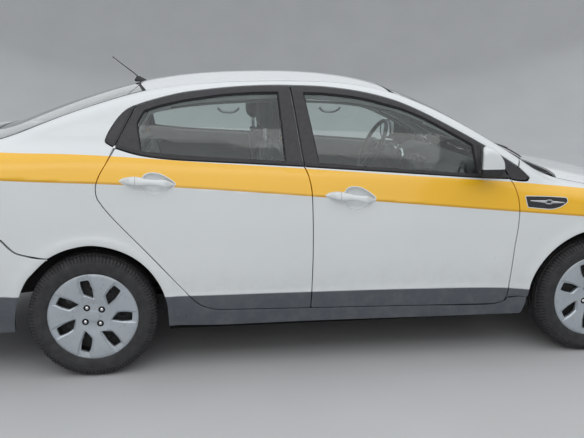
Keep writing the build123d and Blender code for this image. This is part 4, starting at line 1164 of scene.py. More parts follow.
def strip(kind, line, w0, w1, base, thick, mode="normal"):
    """A narrow raised strip along a line of map points: from w0 to w1 beside it, its face at depth base and thick mm deep."""
    P = resample(np.asarray(line, float), .012, False)
    t = np.gradient(P, axis=0)
    t /= np.linalg.norm(t, axis=1, keepdims=True)
    nrm = np.stack([-t[:, 1], t[:, 0]], 1)
    rows = []
    for w, d in ((w0, base + thick), (w0, base + .0008), (w0 + .0008, base), ((w0 + w1) / 2, base - .0003), (w1 - .0008, base), (w1, base + .0008), (w1, base + thick)):
        rows.append(off_surface(kind, P + nrm * w, d, mode))
    n = len(P)
    V = np.vstack(rows)
    F_ = []
    m = len(rows)
    for i in range(m):
        i2 = (i + 1) % m
        for j in range(n - 1):
            F_.append((i * n + j, i * n + j + 1, i2 * n + j + 1, i2 * n + j))
    F_.append(tuple(i * n for i in range(m)))
    F_.append(tuple(i * n + n - 1 for i in range(m))[::-1])
    return V, F_


def bowl(kind, ring, d0, d1, inset=.004, h=.02, mode="normal", sgn=1):
    """A dish open towards the outside: walls from depth d0 to d1 inside the ring, then a floor."""
    n = len(ring)
    V = [off_surface(kind, ring, d0, mode)]
    r1 = grow(ring, -inset * .5)
    V.append(off_surface(kind, r1, d0 + (d1 - d0) * .6, mode))
    r2 = grow(ring, -inset)
    uv, T3 = fill(r2, [], h)
    V.append(off_surface(kind, uv, d1, mode))
    F_ = []
    for a in (0, 1):
        for j in range(n):
            k = (j + 1) % n
            F_.append((a * n + j, (a + 1) * n + j, (a + 1) * n + k, a * n + k))
    F_ += [tuple(int(i) + 2 * n for i in f) for f in T3]
    return np.vstack(V), F_


# ------------------------------------------------------------ window frames, glass and seals of the doors
top_at = {p[0]: p[1] for p in DLO_TOP}
FFRAME = [S(-198, 1013, 3), S(-245, 1395, 3)] + [S(*p) for p in DLO_F + [(700, 1117)]] + [S(776, 1073, 3), S(851, 937, 3), S(669, 947), S(426, 966), S(203, 983)]
RFRAME = [S(-203, 1014, 3), S(-250, 1395, 3)] + [S(*p) for p in DLO_R] + [S(-998, 1301, 3), S(-1101, 1112, 3), S(-995, 1080), S(-860, 1059), S(-644, 1043), S(-498, 1034)]
FGLASS = [S(-184, 1361, 7), S(-100, 1359), S(-4, 1350), S(93, 1338), S(157, 1325), S(221, 1308), S(300, 1287), S(340, 1273), S(426, 1236), S(511, 1192), S(596, 1145), S(672, 1103, 9), S(683, 958, 7), S(437, 978), S(212, 996), S(-127, 1027, 7)]
RGLASS = [S(-307, 1364, 7), S(-287, 1037, 7), S(-434, 1047), S(-645, 1060), S(-815, 1075), S(-981, 1092, 10), S(-992, 1160), S(-999, 1221, 6), S(-965, 1278, 6), S(-900, 1299), S(-839, 1313), S(-777, 1326), S(-694, 1338), S(-600, 1351), S(-506, 1358), S(-411, 1363)]
for which, fr, gl in (("front", FFRAME, FGLASS), ("rear", RFRAME, RGLASS)):
    rf, rg = ring_of("S", fr), ring_of("S", gl)
    body = f"{which}_door_{{}}"
    pair(f"{which}_door_frame", skin("S", rf, [rg], base=.0006, lipdepth=.021, hole_lip=.010, hole_gap=0, back=.022, h=.02), M_BLACK, body, None, "black_plastic")
    pair(f"{which}_door_glass", skin("S", grow(rg, .006), base=.0115, lipdepth=.0035, back=.0150, gap=0, roll=.0008, h=.03), M_GLASS, body, [f"{which}_window_{{}}"], "window_glass")
    pair(f"{which}_door_glass_seal", skin("S", grow(rg, .0004), [grow(rg, -.0055)], base=.0065, lipdepth=.005, gap=0, hole_gap=0, roll=.0012, h=.02), M_RUBBER, body, None, "black_plastic")

belt_f = to_uv("S", lift("S", np.array([(-199, 1013), (-50, 1003), (203, 983), (426, 966), (669, 947), (849, 937)]) / 1000))
belt_r = to_uv("S", lift("S", np.array([(-1096, 1107), (-1050, 1094), (-995, 1080), (-860, 1059), (-644, 1043), (-498, 1034), (-350, 1025), (-204, 1014)]) / 1000))
solid_pair("front_door_belt_strip", strip("S", catmull(belt_f, .02), .003, .017, -.0022, .006), M_PLAST, "front_door_{}", None, "black_plastic")
solid_pair("rear_door_belt_strip", strip("S", catmull(belt_r, .02), .003, .017, -.0022, .006), M_PLAST, "rear_door_{}", None, "black_plastic")

SAIL = [S(779, 1074, 2), S(817, 1049), S(902, 990), S(941, 962), S(956, 940, 6), S(945, 927, 6), S(914, 926), S(856, 934, 2)]
pair("mirror_sail_fixed", skin("S", ring_of("S", SAIL), base=.0006, lipdepth=.012), M_BLACK, "body", None, "black_plastic")
CTRIM = [S(-1003, 1299, 2), S(-1105, 1112, 2), S(-1150, 1138, 9), S(-1132, 1175), S(-1100, 1225), S(-1071, 1259), S(-1037, 1286)]
r_ct = ring_of("S", CTRIM)
pair("quarter_trim", skin("S", r_ct, base=.0006, lipdepth=.012), M_BLACK, "body", None, "black_plastic")
pair("quarter_trim_raised", skin("S", grow(r_ct, -.009), base=-.0010, lipdepth=.003, gap=0, roll=.0012, h=.012), M_BLACK, "body", None, "black_plastic")

# ------------------------------------------------------------ door frames' jambs on the body, and the doors' inner bodies
F_FULL = ring_of("S", FD[:6] + [S(*p) for p in A_SHUT[::-1][3:7]] + [S(869, 906), S(849, 937), S(776, 1074, 3)] + [S(*p) for p in [(700, 1119)] + DLO_F[::-1]] + [S(-246, 1394, 3), S(-199, 1014), S(-185, 975), S(-172, 914), S(-168, 857), S(-164, 611), S(-168, 376)])
R_FULL = ring_of("S", [S(-640, 317, 22), S(-400, 311), S(-171, 306, 14)] + [S(*p) for p in B_SHUT[::-1][1:6]] + [S(-202, 1014), S(-248, 1394, 3)] + [S(*p) for p in DLO_R] + [S(-999, 1300, 3)] + [S(*p) for p in C_SHUT[1:-1]])


def both(P, Q):
    """The outline of what two outlines share."""
    pts = np.vstack([P, Q])
    n, m = len(P), len(Q)
    edges = [(i, (i + 1) % n) for i in range(n)] + [(n + i, n + (i + 1) % m) for i in range(m)]
    res = delaunay_2d_cdt([Vector(p) for p in pts], edges, [], 0, 1e-7)
    V = np.array([[v.x, v.y] for v in res[0]])
    T3 = np.array([f for f in res[2] if len(f) == 3])
    c = V[T3].mean(1)
    T3 = T3[inside(P, c) & inside(Q, c)]
    seen = {}
    for t in T3:
        for a, b in ((t[0], t[1]), (t[1], t[2]), (t[2], t[0])):
            seen[(a, b)] = 1
    nxt = {a: b for (a, b) in seen if (b, a) not in seen}
    best = []
    left_ = dict(nxt)
    while left_:
        s0 = next(iter(left_))
        loop = [s0]
        cur = left_.pop(s0)
        while cur != s0 and cur in left_:
            loop.append(cur)
            cur = left_.pop(cur)
        if len(loop) > len(best):
            best = loop
    R = V[best]
    if area2(R) < 0:
        R = R[::-1]
    return resample(R, .008)


def shifted(P, dx):
    return P + np.array([dx, 0.])


f_deep = both(grow(F_FULL, -.014), shifted(grow(F_FULL, -.014), .060))
r_deep = both(grow(R_FULL, -.014), shifted(grow(R_FULL, -.014), .060))
f_open = both(grow(F_FULL, -.008), shifted(grow(F_FULL, -.008), .054))
r_open = both(grow(R_FULL, -.008), shifted(grow(R_FULL, -.008), .054))


def belt_cut(drop):
    b = sorted(DLO_BOT)
    xs = [-1.3] + [a / 1000 for a, _ in b] + [1.0]
    zs = [b[0][1] / 1000 - .03] + [v / 1000 for _, v in b] + [.93]
    zs[1] = 1.10
    top_line = [(x, z - drop) for x, z in zip(xs, zs)]
    return np.array([(-1.3, .1), (1.0, .1)] + top_line[::-1])


def jamb_depth(uv):
    x, z = uv[:, 0], uv[:, 1]
    d = .030 + (.048) * sstep(.795, .812, x) * sstep(1.02, .98, z)
    d = d + .034 * sstep(-.256, -.248, x) * sstep(-.134, -.144, x) * sstep(1.03, .99, z)
    return d


JAMB = ring_of("S", [S(-858, 244, 6), S(925, 244, 8), S(925, 900, 20), S(900, 975), S(850, 1058), S(760, 1118), S(600, 1200), S(420, 1280), S(240, 1344), S(60, 1385), S(-250, 1402), S(-500, 1400), S(-800, 1375), S(-1000, 1330), S(-1090, 1265),
                     S(-1160, 1150), S(-1195, 1000), S(-1210, 850, 20), S(-1130, 740), S(-1040, 660), S(-940, 560), S(-868, 430, 20)])


def jamb_fn(uv, d):
    P = lift("S", uv)
    return P - normals(P) * (jamb_depth(uv) + d)[:, None]


geo = sheet(jamb_fn, JAMB, [f_open, r_open], lipdepth=.02, hole_lip=.052, hole_gap=0, gap=0, h=.018, back=None)
pair("door_aperture", geo, M_WHITE, "body", None, "paint")
for which, opening in (("front", f_open), ("rear", r_open)):
    P = off_surface("S", opening, 0)
    Q = jamb_fn(grow(opening, .003), -.004)
    pair(f"{which}_aperture_seal", poly_tube(np.vstack([Q, Q[:1]]), .0052, 8, False, up=(0, 1, 0)), M_RUBBER, "body", None, "black_plastic")


def inner_fn(face, taper=.02):
    def fn(uv, d):
        P = lift("S", uv)
        n = normals(P)
        q = P - n * (face - d)[:, None] if not np.isscalar(face - d) else P - n * (face - d)
        return q
    return fn


M_DOORPAINT = M_PAINT
for which, deep in (("front", f_deep), ("rear", r_deep)):
    ring = both(deep, belt_cut(.004))
    body = f"{which}_door_{{}}"
    # pressed steel inner, then the trim card over it
    pair(f"{which}_door_inner_panel", sheet(inner_fn(.088), ring, lipdepth=.076, gap=0, h=.03, roll=.006), M_WHITE, body, None, "paint")
    card = grow(ring, -.012)
    pair(f"{which}_door_card", sheet(inner_fn(.0965), card, lipdepth=.009, gap=0, h=.02, roll=.005), M_TRIMGREY, body, None, "black_plastic")


def waist_trim(which, x0, x1):
    """Padded rail along the top of the door, from the card's face out to the glass."""
    X = np.linspace(x0, x1, 40)
    zb = np.array([zbot(x * 1000) for x in X]) / 1000
    rows = []
    for dz, dd in ((-.075, .1075), (-.040, .1085), (-.016, .1075), (-.004, .1030), (.004, .0930), (.0065, .0780), (.0060, .0600), (.0045, .0420), (.0020, .0385), (-.010, .0380), (-.030, .0600), (-.075, .0900)):
        P = lift("S", np.stack([X, zb + dz], 1))
        Q = lift("S", np.stack([X, zb - .02], 1))
        rows.append(np.stack([P[:, 0], Q[:, 1] - dd, zb + dz], 1))
    rows = np.array(rows)
    return loft([rows[:, i] for i in range(len(X))])


for which, x0_, x1_ in (("front", -.120, .690), ("rear", -1.020, -.232)):
    solid_pair(f"{which}_door_waist_trim", waist_trim(which, x0_, x1_), M_TRIMGREY, f"{which}_door_{{}}", None, "black_plastic", angle=50)

# ------------------------------------------------------------ screens, cowl, wipers
M_LENS = glass_material("clear_lamp_cover", (.93, .95, .96))
M_CHROME_DARK = simple("reflector_silver", (.55, .56, .58), (.70, .71, .73), (.10, .22), 50, None, metallic=1)


def red_lens():
    """Tail lamp lens: red, with an amber band and a clear band, moulded with fine prisms."""
    m, nt, b = new_mat("tail_lamp_lens")
    co = coords(nt)
    sep = nt.nodes.new("ShaderNodeSeparateXYZ")
    nt.links.new(co, sep.inputs[0])
    z = sep.outputs[2]
    n = noise(nt, 30, 3, .5, co)
    red = mix(nt, n, (.50, .010, .012), (.62, .016, .016))
    amber = mix(nt, n, (.80, .26, .02), (.88, .32, .03))
    clear = mix(nt, n, (.72, .72, .74), (.82, .82, .83))
    in_a = math_node(nt, "MULTIPLY", math_node(nt, "GREATER_THAN", z, .868), math_node(nt, "LESS_THAN", z, .905))
    in_c = math_node(nt, "MULTIPLY", math_node(nt, "GREATER_THAN", z, .828), math_node(nt, "LESS_THAN", z, .866))
    nt.links.new(mix(nt, in_c, mix(nt, in_a, red, amber), clear), b.inputs["Base Color"])
    b.inputs["Roughness"].default_value = .08
    b.inputs["Subsurface Weight"].default_value = .25
    b.inputs["Subsurface Radius"].default_value = (.01, .003, .003)
    b.inputs["Coat Weight"].default_value = 1
    b.inputs["Coat Roughness"].default_value = .02
    wv = nt.nodes.new("ShaderNodeTexWave")
    wv.inputs["Scale"].default_value = 55
    wv.bands_direction = "Y"
    nt.links.new(co, wv.inputs["Vector"])
    bump(nt, b, wv.outputs["Fac"], .35, .0006)
    return m


M_RED = red_lens()
M_AMBER = simple("amber_lens", (.82, .30, .02), (.90, .38, .04), (.08, .16), 40, 900, .2, .0004, coat=1)

R_WS = ring_of("T", sym([T(1064, 0), T(1040, 330), T(928, 687, 24), T(840, 680), T(700, 652), T(450, 591), T(299, 547, 24), T(291, 300), T(293, 0)]))
single("windscreen_glass", skin("T", R_WS, base=.0012, lipdepth=.004, back=.0060, h=.03, gap=.004, roll=.0015), M_GLASS, "body", ["windscreen"], "window_glass")
ws_hole = ring_of("T", sym([T(972, 0), T(950, 330), T(868, 618, 60), T(700, 590), T(450, 548), T(300, 497, 50), T(300, 300), T(304, 0)]))
single("windscreen_frit", skin("T", grow(R_WS, -.006), [ws_hole], base=.0064, lipdepth=.001, hole_lip=.001, gap=0, hole_gap=0, roll=.0004, h=.03), M_BLACK, "body", None or [], "black_plastic")
single("windscreen_seal", skin("T", grow(R_WS, .0022), [grow(R_WS, -.0065)], base=.0002, lipdepth=.008, hole_lip=.003, gap=0, hole_gap=0, roll=.0012, h=.03), M_RUBBER, "body", [], "black_plastic")
R_BL = ring_of("T", sym([T(-1013, 0), T(-1004, 250), T(-970, 513, 20), T(-1300, 580), T(-1550, 625), T(-1686, 648, 40), T(-1722, 400), T(-1733, 0)]))
single("rear_window_glass", skin("T", R_BL, base=.0012, lipdepth=.004, back=.0060, h=.03, gap=.004, roll=.0015), M_GLASS, "body", ["rear_window"], "window_glass")
bl_hole = ring_of("T", sym([T(-1048, 0), T(-1042, 250), T(-1030, 470, 40), T(-1300, 530), T(-1550, 566), T(-1640, 575, 60), T(-1668, 400), T(-1672, 0)]))
single("rear_window_frit", skin("T", grow(R_BL, -.006), [bl_hole], base=.0064, lipdepth=.001, hole_lip=.001, gap=0, hole_gap=0, roll=.0004, h=.03), M_BLACK, "body", [], "black_plastic")
single("rear_window_seal", skin("T", grow(R_BL, .0022), [grow(R_BL, -.0065)], base=.0002, lipdepth=.008, hole_lip=.003, gap=0, hole_gap=0, roll=.0012, h=.03), M_RUBBER, "body", [], "black_plastic")
heat = []
for i in range(13):
    x = -1.085 - i * .0455
    yy = np.interp(x, [-1.64, -1.3, -1.03], [.545, .505, .455]) - .006
    L = np.stack([np.full(40, x) - .012 * (1 - np.linspace(-1, 1, 40) ** 2), np.linspace(-yy, yy, 40)], 1)
    heat.append(poly_tube(off_surface("T", L, .0068), .0007, 4))
solid("rear_window_heater", join(*heat), simple("heater_lines", (.18, .09, .05), (.26, .13, .08), (.4, .6), 60), "body", [], "black_plastic")

COWL = ring_of("T", sym([T(1163, 0), T(1179, 330), T(1192, 500), T(1176, 598, 8), T(1034, 606, 8), T(1030, 668, 8), T(1066, 684, 4), T(1000, 700), T(936, 690, 4), T(1045, 330), T(1069, 0)]))
single("cowl_grille", skin("T", COWL, base=.006, lipdepth=.012, h=.02), M_PLAST, "body", ["cowl_panel"], "black_plastic")
slats = []
for i in range(-24, 25):
    y = i * .0235
    if abs(abs(y) - .30) < .03 or abs(y) < .02:
        continue
    x0 = 1.069 - .027 * (y / .33) ** 2 * .8 + .010
    x1 = 1.163 + .016 * (y / .33) ** 2 * .7 - .018
    if x1 - x0 < .012:
        continue
    L = np.stack([np.linspace(x0, x1, 8), np.full(8, y)], 1)
    slats.append(poly_tube(off_surface("T", L, .0045), .0032, 6, flat=.8))
solid("cowl_slats", join(*slats), M_PLAST, "body", [], "black_plastic")
# the wells at the cowl's ends, which the bonnet's hinge arms come up through
well = ring_of("T", [T(1172, 590, 10), T(1172, 680, 10), T(1080, 682), T(1000, 684, 10), T(1000, 596, 10)])
pair("cowl_well", sheet(lambda uv, d: off_surface("T", uv, .080 - d), well if area2(well) > 0 else well[::-1], gap=0, lipdepth=.052, h=.02, roll=.006), M_PLAST, "body", None, "black_plastic")


def on_glass(x, y, lift_by):
    P = lift("T", [[x, y]])
    return (P + normals(P) * lift_by)[0]


def wiper(name, pivot, tip_a, tip_b, joint_t):
    """Arm from its pivot on the cowl to the blade, and the blade along the screen's foot."""
    a, b = np.array(tip_a), np.array(tip_b)
    L = [a + (b - a) * t for t in np.linspace(0, 1, 26)]
    blade = np.array([on_glass(p[0] + .010 * math.sin(PI * i / 25), p[1], .004) for i, p in enumerate(L)])
    spine = np.array([on_glass(p[0] + .010 * math.sin(PI * i / 25), p[1], .0135 + .004 * math.sin(PI * i / 25)) for i, p in enumerate(L)])
    j = int(joint_t * 25)
    p0 = on_glass(*pivot, .004)
    arm = smooth_path([p0 + [0, 0, .008], p0 + (spine[j] - p0) * .25 + [0, 0, .016], p0 + (spine[j] - p0) * .7 + [0, 0, .012], spine[j] + [0, 0, .004]], .012)
    g = [poly_tube(blade, np.concatenate([[.002], np.full(24, .0032), [.002]]), 6), poly_tube(spine, np.concatenate([[.002], np.full(24, .0048), [.002]]), 8, flat=.7),
         poly_tube(arm, np.linspace(.0075, .0045, len(arm)), 8, flat=.6), revolve([(.0, .016), (.008, .0155), (.014, .012), (.016, .004), (.016, -.006)], p0, "z", 20)]
    return solid(name, join(*g), M_PLAST, "body", [], "black_plastic")


wiper("wiper_driver", (1.030, .455), (1.000, -.10), (.945, .52), .46)
wiper("wiper_passenger", (1.062, -.075), (1.010, -.55), (1.012, -.06), .45)

# ------------------------------------------------------------ lamps, grille, bumper fittings
LAMP = [S(1708, 760, 5), T(1735, 706), T(1768, 691), T(1900, 585), T(1992, 507), T(2062, 413, 16), D3(2118, 404, 664, 12), D3(2000, 566, 650), S(1880, 672), S(1800, 698), S(1713, 745, 5)]
R_LAMP = ring_of("front", LAMP)
pair("headlamp_lens", skin("front", R_LAMP, base=.0004, lipdepth=.008, back=.0035, roll=.002, h=.016), M_LENS, "body", ["headlamps"], "lamp_clear")
M_LAMPDARK = simple("lamp_housing", (.035, .036, .04), (.06, .06, .066), (.25, .4), 40, 400, .2, .0003)
solid_pair("headlamp_housing", bowl("front", grow(R_LAMP, -.004), .006, .090, inset=.010), M_LAMPDARK, "body", None, "lamp_clear", angle=50)


def reflector(c, r, aim):
    """Round lamp unit: bezel, dished reflector and bulb shield, facing aim."""
    g = []
    prof = [(r * 1.16, -.004), (r * 1.14, .004), (r * 1.05, .007), (r, .003), (r * .96, -.006), (r * .8, -.018), (r * .55, -.028), (r * .3, -.033), (r * .24, -.030), (r * .22, -.012), (r * .14, -.006), (.0005, -.004)]
    V, F_ = revolve(prof, (0, 0, 0), "x", 40)
    q = Vector((1, 0, 0)).rotation_difference(Vector(aim).normalized()).to_matrix()
    V = V @ np.array(q).T + np.array(c)
    return V, F_


solid_pair("headlamp_units", join(reflector((1.951, .572, .690), .032, (1, .32, .24)), reflector((2.003, .468, .680), .030, (1, .15, .24))), M_CHROME_DARK, "body", None, "lamp_clear", angle=40)
sig = resample(catmull(to_uv("front", lift("S", np.array([(1740, 742), (1800, 728), (1860, 714)]) / 1000)), .01), .012, False)
solid_pair("headlamp_indicator", strip("front", sig, -.014, .014, .020, .010), M_AMBER, "body", None, "lamp_clear")

single("grille_backing", skin("front", grow(slot_g, .004), base=.030, lipdepth=.004, gap=0), M_PLAST, "body", [], "black_plastic")
bars = []
for z in (.655, .671, .687):
    L = np.stack([np.linspace(-.315, .315, 60), np.full(60, z)], 1) * [1, 1]
    uv = to_uv("front", [[2.14, y, z] for y in np.linspace(-.318, .318, 60)])
    bars.append(poly_tube(off_surface("front", uv, .014), .0042, 8, flat=.7))
solid("upper_grille_bars", join(*bars), M_PLAST, "body", [], "black_plastic")
rim = np.vstack([slot_g, slot_g[:1]])
solid("upper_grille_surround", poly_tube(off_surface("front", grow(slot_g, .0005)[np.r_[0:len(slot_g), 0]], -.0005), .0042, 8, False), M_CHROME, "body", [], "steel_bare")
bars = []
for i, z in enumerate(np.linspace(.322, .438, 6)):
    uv = to_uv("front", [[2.14, y, z] for y in np.linspace(-.385, .385, 60)])
    bars.append(poly_tube(off_surface("front", uv, .024), .0052, 8, flat=.6))
for y in np.linspace(-.34, .34, 9):
    uv = to_uv("front", [[2.14, y, z] for z in np.linspace(.310, .448, 8)])
    bars.append(poly_tube(off_surface("front", uv, .028), .0036, 6))
solid("lower_grille_bars", join(*bars), M_PLAST, "body", ["lower_grille"], "black_plastic")
single("lower_grille_backing", skin("front", grow(intake, .004), base=.060, lipdepth=.004, gap=0), M_PLAST, "body", [], "black_plastic")
single("lower_grille_sleeve", (lambda r: (np.vstack([off_surface("front", r, .010), off_surface("front", r, .060)]), [(j, (j + 1) % len(r), len(r) + (j + 1) % len(r), len(r) + j) for j in range(len(r))]))(grow(intake, .003)), M_PLAST, "body", [], "black_plastic")
solid_pair("fog_recess", bowl("front", grow(fog_l, .002), .012, .050, inset=.006), M_PLAST, "body", None, "black_plastic", angle=50)
fc = off_surface("front", fog_l.mean(0)[None], .030)[0]
solid_pair("fog_lamp", reflector(tuple(fc), .030, (1, .45, 0)), M_CHROME_DARK, "body", None, "lamp_clear", angle=40)
fz = [tuple(off_surface("front", np.stack([np.linspace(fog_l[:, 0].min() + .01, fog_l[:, 0].max() - .01, 20), np.full(20, fog_l[:, 1].mean() + dz)], 1), .022)) for dz in (-.028, .028)]
solid_pair("fog_bars", join(*[poly_tube(np.array(q), .0035, 6) for q in fz]), M_PLAST, "body", None, "black_plastic")

M_PLATE = simple("blank_plate", (.74, .75, .75), (.80, .80, .80), (.3, .45), 6, 300, .1, .0002)


def plate(name, centre, lean, body, sx):
    """A blank number plate with a pressed border in its holder."""
    W, H = .260, .056
    def outline(w, h, r):
        t = np.linspace(0, PI / 2, 6)
        out = []
        for cx, cy, a in ((w - r, h - r, 0), (-w + r, h - r, 1), (-w + r, -h + r, 2), (w - r, -h + r, 3)):
            out += [(cx + r * math.cos(u + a * PI / 2), cy + r * math.sin(u + a * PI / 2)) for u in t]
        return np.array(out)
    def place(P, d):
        y, z = P[:, 0], P[:, 1]
        return np.stack([np.full(len(P), centre[0]) + sx * d - sx * z * math.sin(lean), centre[1] + y, centre[2] + z * math.cos(lean)], 1)
    rings = [place(outline(W, H, .010), 0), place(outline(W, H, .010), .0016), place(outline(W - .001, H - .001, .009), .0028), place(outline(W - .004, H - .004, .008), .0028), place(outline(W - .0055, H - .0055, .007), .0017)]
    ob = solid(name, loft(rings), M_PLATE, body, [], "paint", angle=30)
    hold = solid(name + "_holder", loft([place(outline(W + .006, H + .006, .012), -.008), place(outline(W + .006, H + .006, .012), .0004), place(outline(W + .004, H + .004, .011), .0014), place(outline(W - .004, H - .004, .009), .0014)]), M_PLAST, body, [], "black_plastic", angle=30)
    return ob


plate("front_plate", (2.186 - .0085, 0, .560), .0, "body", 1)
pair("front_bumper_lower_lip", (lambda uv: (off_surface("front", np.vstack([uv, uv + [0, -.016], uv + [0, -.020]]), 0) + np.repeat([[.006, 0, 0], [.004, 0, 0], [-.02, 0, 0]], len(uv), 0) * 0,
     [(i, i + 1, len(uv) + i + 1, len(uv) + i) for i in range(len(uv) - 1)] + [(len(uv) + i, len(uv) + i + 1, 2 * len(uv) + i + 1, 2 * len(uv) + i) for i in range(len(uv) - 1)]))(to_uv("front", [[2.1 * 1 + 0 * y, y, .222] for y in np.linspace(0, .60, 40)])), M_PLAST, "body", None, "black_plastic")

R_TL = ring_of("rear", [D3(-2082, 606, 1028, 12), D3(-2053, 702, 1018), S(-1962, 1003), S(-1911, 982, 18), S(-1930, 900), S(-1984, 835), S(-2058, 806), D3(-2112, 645, 797), D3(-2142, 565, 797, 8), D3(-2110, 588, 960)])
pair("tail_lamp_lens", skin("rear", R_TL, base=-.0006, lipdepth=.010, roll=.003, h=.012), M_RED, "body", ["tail_lamps"], "lamp_red")
pair("tail_lamp_frame", skin("rear", grow(R_TL, .001), [grow(R_TL, -.0035)], base=.0008, lipdepth=.008, gap=0, hole_gap=0, roll=.001, h=.02), M_LAMPDARK, "body", None, "lamp_red")
refl = np.array([[-2.12, y, .352] for y in np.linspace(.50, .64, 14)])
solid_pair("rear_reflector", strip("rear", to_uv("rear", refl), -.013, .013, -.002, .006), M_RED, "body", None, "lamp_red")
# boot lid's fittings: plate, garnish over it with its lamps
tp = lambda z: float(solve(np.array([[-1.35, 0, z]]), np.array([[-1., 0, 0]]), .1, 1.5)[0][0])
plate("rear_plate", (tp(.895) + .0015, 0, .895), .0 + math.atan2(tp(.94) - tp(.85), .09) * 1.0, "boot_lid", -1)
gar = to_uv("L", lift("rear", to_uv("rear", [[-2.12, y, .978] for y in np.linspace(-.36, .36, 50)])))
solid("boot_garnish", strip("L", gar, -.013, .013, -.009, .014), M_CHROME, "boot_lid", [], "steel_bare")
for k in (-1, 1):
    lg = to_uv("L", lift("rear", to_uv("rear", [[-2.12, y, .960] for y in np.linspace(k * .11 - .03, k * .11 + .03, 12)])))
    solid("plate_lamp_" + ("left" if k > 0 else "right"), strip("L", lg, -.005, .006, -.007, .010), M_LENS, "boot_lid", [], "lamp_clear")

# the strip between bumper and lid
TP = ring_of("rear", sym_uv("rear", [D3(-2160, 0, 800), D3(-2140, 300, 800), D3(-2125, 556, 799, 6), D3(-2125, 575, 765, 6), D3(-2140, 300, 765), D3(-2160, 0, 765)]))
single("tail_panel_strip", skin("rear", grow(TP, .010), base=.0130, lipdepth=.010, h=.03), M_WHITE, "body", ["tail_panel"], "paint")

# ------------------------------------------------------------ grips
def star_union(P, Q, c, n=300):
    """Outline of the union of two outlines that both hold the point c, as seen from it."""
    out = []
    for t in np.arange(n) / n * 2 * PI:
        d = np.array([math.cos(t), math.sin(t)])
        far = 0
        for R in (P, Q):
            A, B = R - c, np.roll(R, -1, axis=0) - c
            E = B - A
            den = d[0] * E[:, 1] - d[1] * E[:, 0]
            ok = np.abs(den) > 1e-12
            u = np.where(ok, (A[:, 0] * E[:, 1] - A[:, 1] * E[:, 0]) / np.where(ok, den, 1), -1)
            v = np.where(ok, (A[:, 0] * d[1] - A[:, 1] * d[0]) / np.where(ok, den, 1), -1)
            hit = u[ok & (v >= -1e-9) & (v <= 1 + 1e-9) & (u > 0)]
            if len(hit):
                far = max(far, hit.max())
        out.append(c + d * far)
    return np.array(out)


for which, (x0, z0), (x1, z1) in (("front", (-.1005, .8785), (.1415, .8505)), ("rear", (-1.0745, .9645), (-.8230, .9430))):
    n = 48
    tt = np.linspace(0, 1, n)
    uv = np.stack([x0 + (x1 - x0) * tt, z0 + (z1 - z0) * tt - .001 * np.sin(PI * tt)], 1)
    P = lift("S", uv)
    N = normals(P)
    e = np.clip(np.sin(PI * tt), 0, 1)
    hc = catmull(np.array([(0, .0022), (.04, .0070), (.14, .0150), (.27, .0196), (.40, .0172), (.52, .0138), (.66, .0140), (.79, .0172), (.90, .0125), (.97, .0055), (1, .0022)]), .01)
    hh = np.interp(tt, hc[:, 0], hc[:, 1])
    st = -.001 + .026 * sstep(0, .22, tt) * sstep(1, .78, tt)       # how far the bar stands out
    th = .0035 + .0075 * e ** .5
    C = P + N * (st + .002)[:, None]
    secs = []
    a = np.arange(24) / 24 * 2 * PI
    zdir = np.array([0., 0, 1])
    for i in range(n):
        up_ = zdir - N[i] * (zdir @ N[i])
        up_ /= np.linalg.norm(up_)
        ca, sa = np.cos(a), np.sin(a)
        secs.append(C[i] + N[i] * (th[i] * np.sign(ca) * np.abs(ca) ** .8)[:, None] + up_ * (hh[i] * np.sign(sa) * np.abs(sa) ** .9)[:, None])
    solid_pair(f"{which}_door_grip", loft(secs), M_WHITE, f"{which}_door_{{}}", None, "paint", angle=60)
    # white border left in the stripe round the grip and its cup
    m_ = .0050
    rr = np.concatenate([np.stack([uv[:, 0], uv[:, 1] - hh - m_], 1)[2:-1], [[uv[-1, 0] + .0060, uv[-1, 1]]], np.stack([uv[:, 0], uv[:, 1] + hh + m_], 1)[2:-1][::-1], [[uv[0, 0] - .008, uv[0, 1]]]])
    cup = cup_ring(which)
    mid = np.array([CUPS[which][0] - .02, z0 + (z1 - z0) * (CUPS[which][0] - .02 - x0) / (x1 - x0)])
    outl = resample(star_union(rr, grow(cup, .0038), mid), .0045)
    if area2(outl) < 0:
        outl = outl[::-1]
    pair(f"{which}_door_grip_border", skin("S", outl, [grow(cup, -.0006)], base=-.0009, lipdepth=.0016, gap=0, hole_gap=0, hole_lip=.0022, roll=.0006, h=.012), M_WHITE, f"{which}_door_{{}}", None, "paint")
    # the grip's two feet, and the seam of its end cap
    feet = []
    for t, wx, wz in ((.15, .020, .012), (.88, .015, .0085)):
        i = int(t * n)
        s0 = [P[i] + N[i] * (-.001) + np.array([math.cos(u) * wx, 0, math.sin(u) * wz]) for u in a]
        s1 = [C[i] + N[i] * (-.002) + np.array([math.cos(u) * wx * .85, 0, math.sin(u) * wz * .85]) for u in a]
        feet.append(loft([np.array(s0), np.array(s1)]))
    solid_pair(f"{which}_door_grip_feet", join(*feet), M_WHITE, f"{which}_door_{{}}", None, "paint")
    i = int(.285 * n)
    seam = secs[i] + (secs[i] - C[i]) * .010
    solid_pair(f"{which}_door_grip_seam", poly_tube(np.vstack([seam, seam[:1]]), .0006, 5, False), M_PLAST, f"{which}_door_{{}}", None, "black_plastic")

# ------------------------------------------------------------ door mirrors
MO = ring_of("S", [("uv", .626, .972, .018), ("uv", .690, .962, None), ("uv", .744, .966, .022), ("uv", .757, .998, None), ("uv", .750, 1.045, None), ("uv", .722, 1.082, None), ("uv", .684, 1.105, None), ("uv", .648, 1.1115, .016), ("uv", .629, 1.100, .016)], .005)
mc = np.array([.690, 1.036])
M_Y = ((.806, .52), (.812, .68), (.822, .84), (.838, .945), (.862, .99), (.895, 1.0), (.925, .985), (.942, .94), (.951, .86), (.9560, .70), (.9575, .50))
M_SPLIT, M_TILT = 1.009, .36


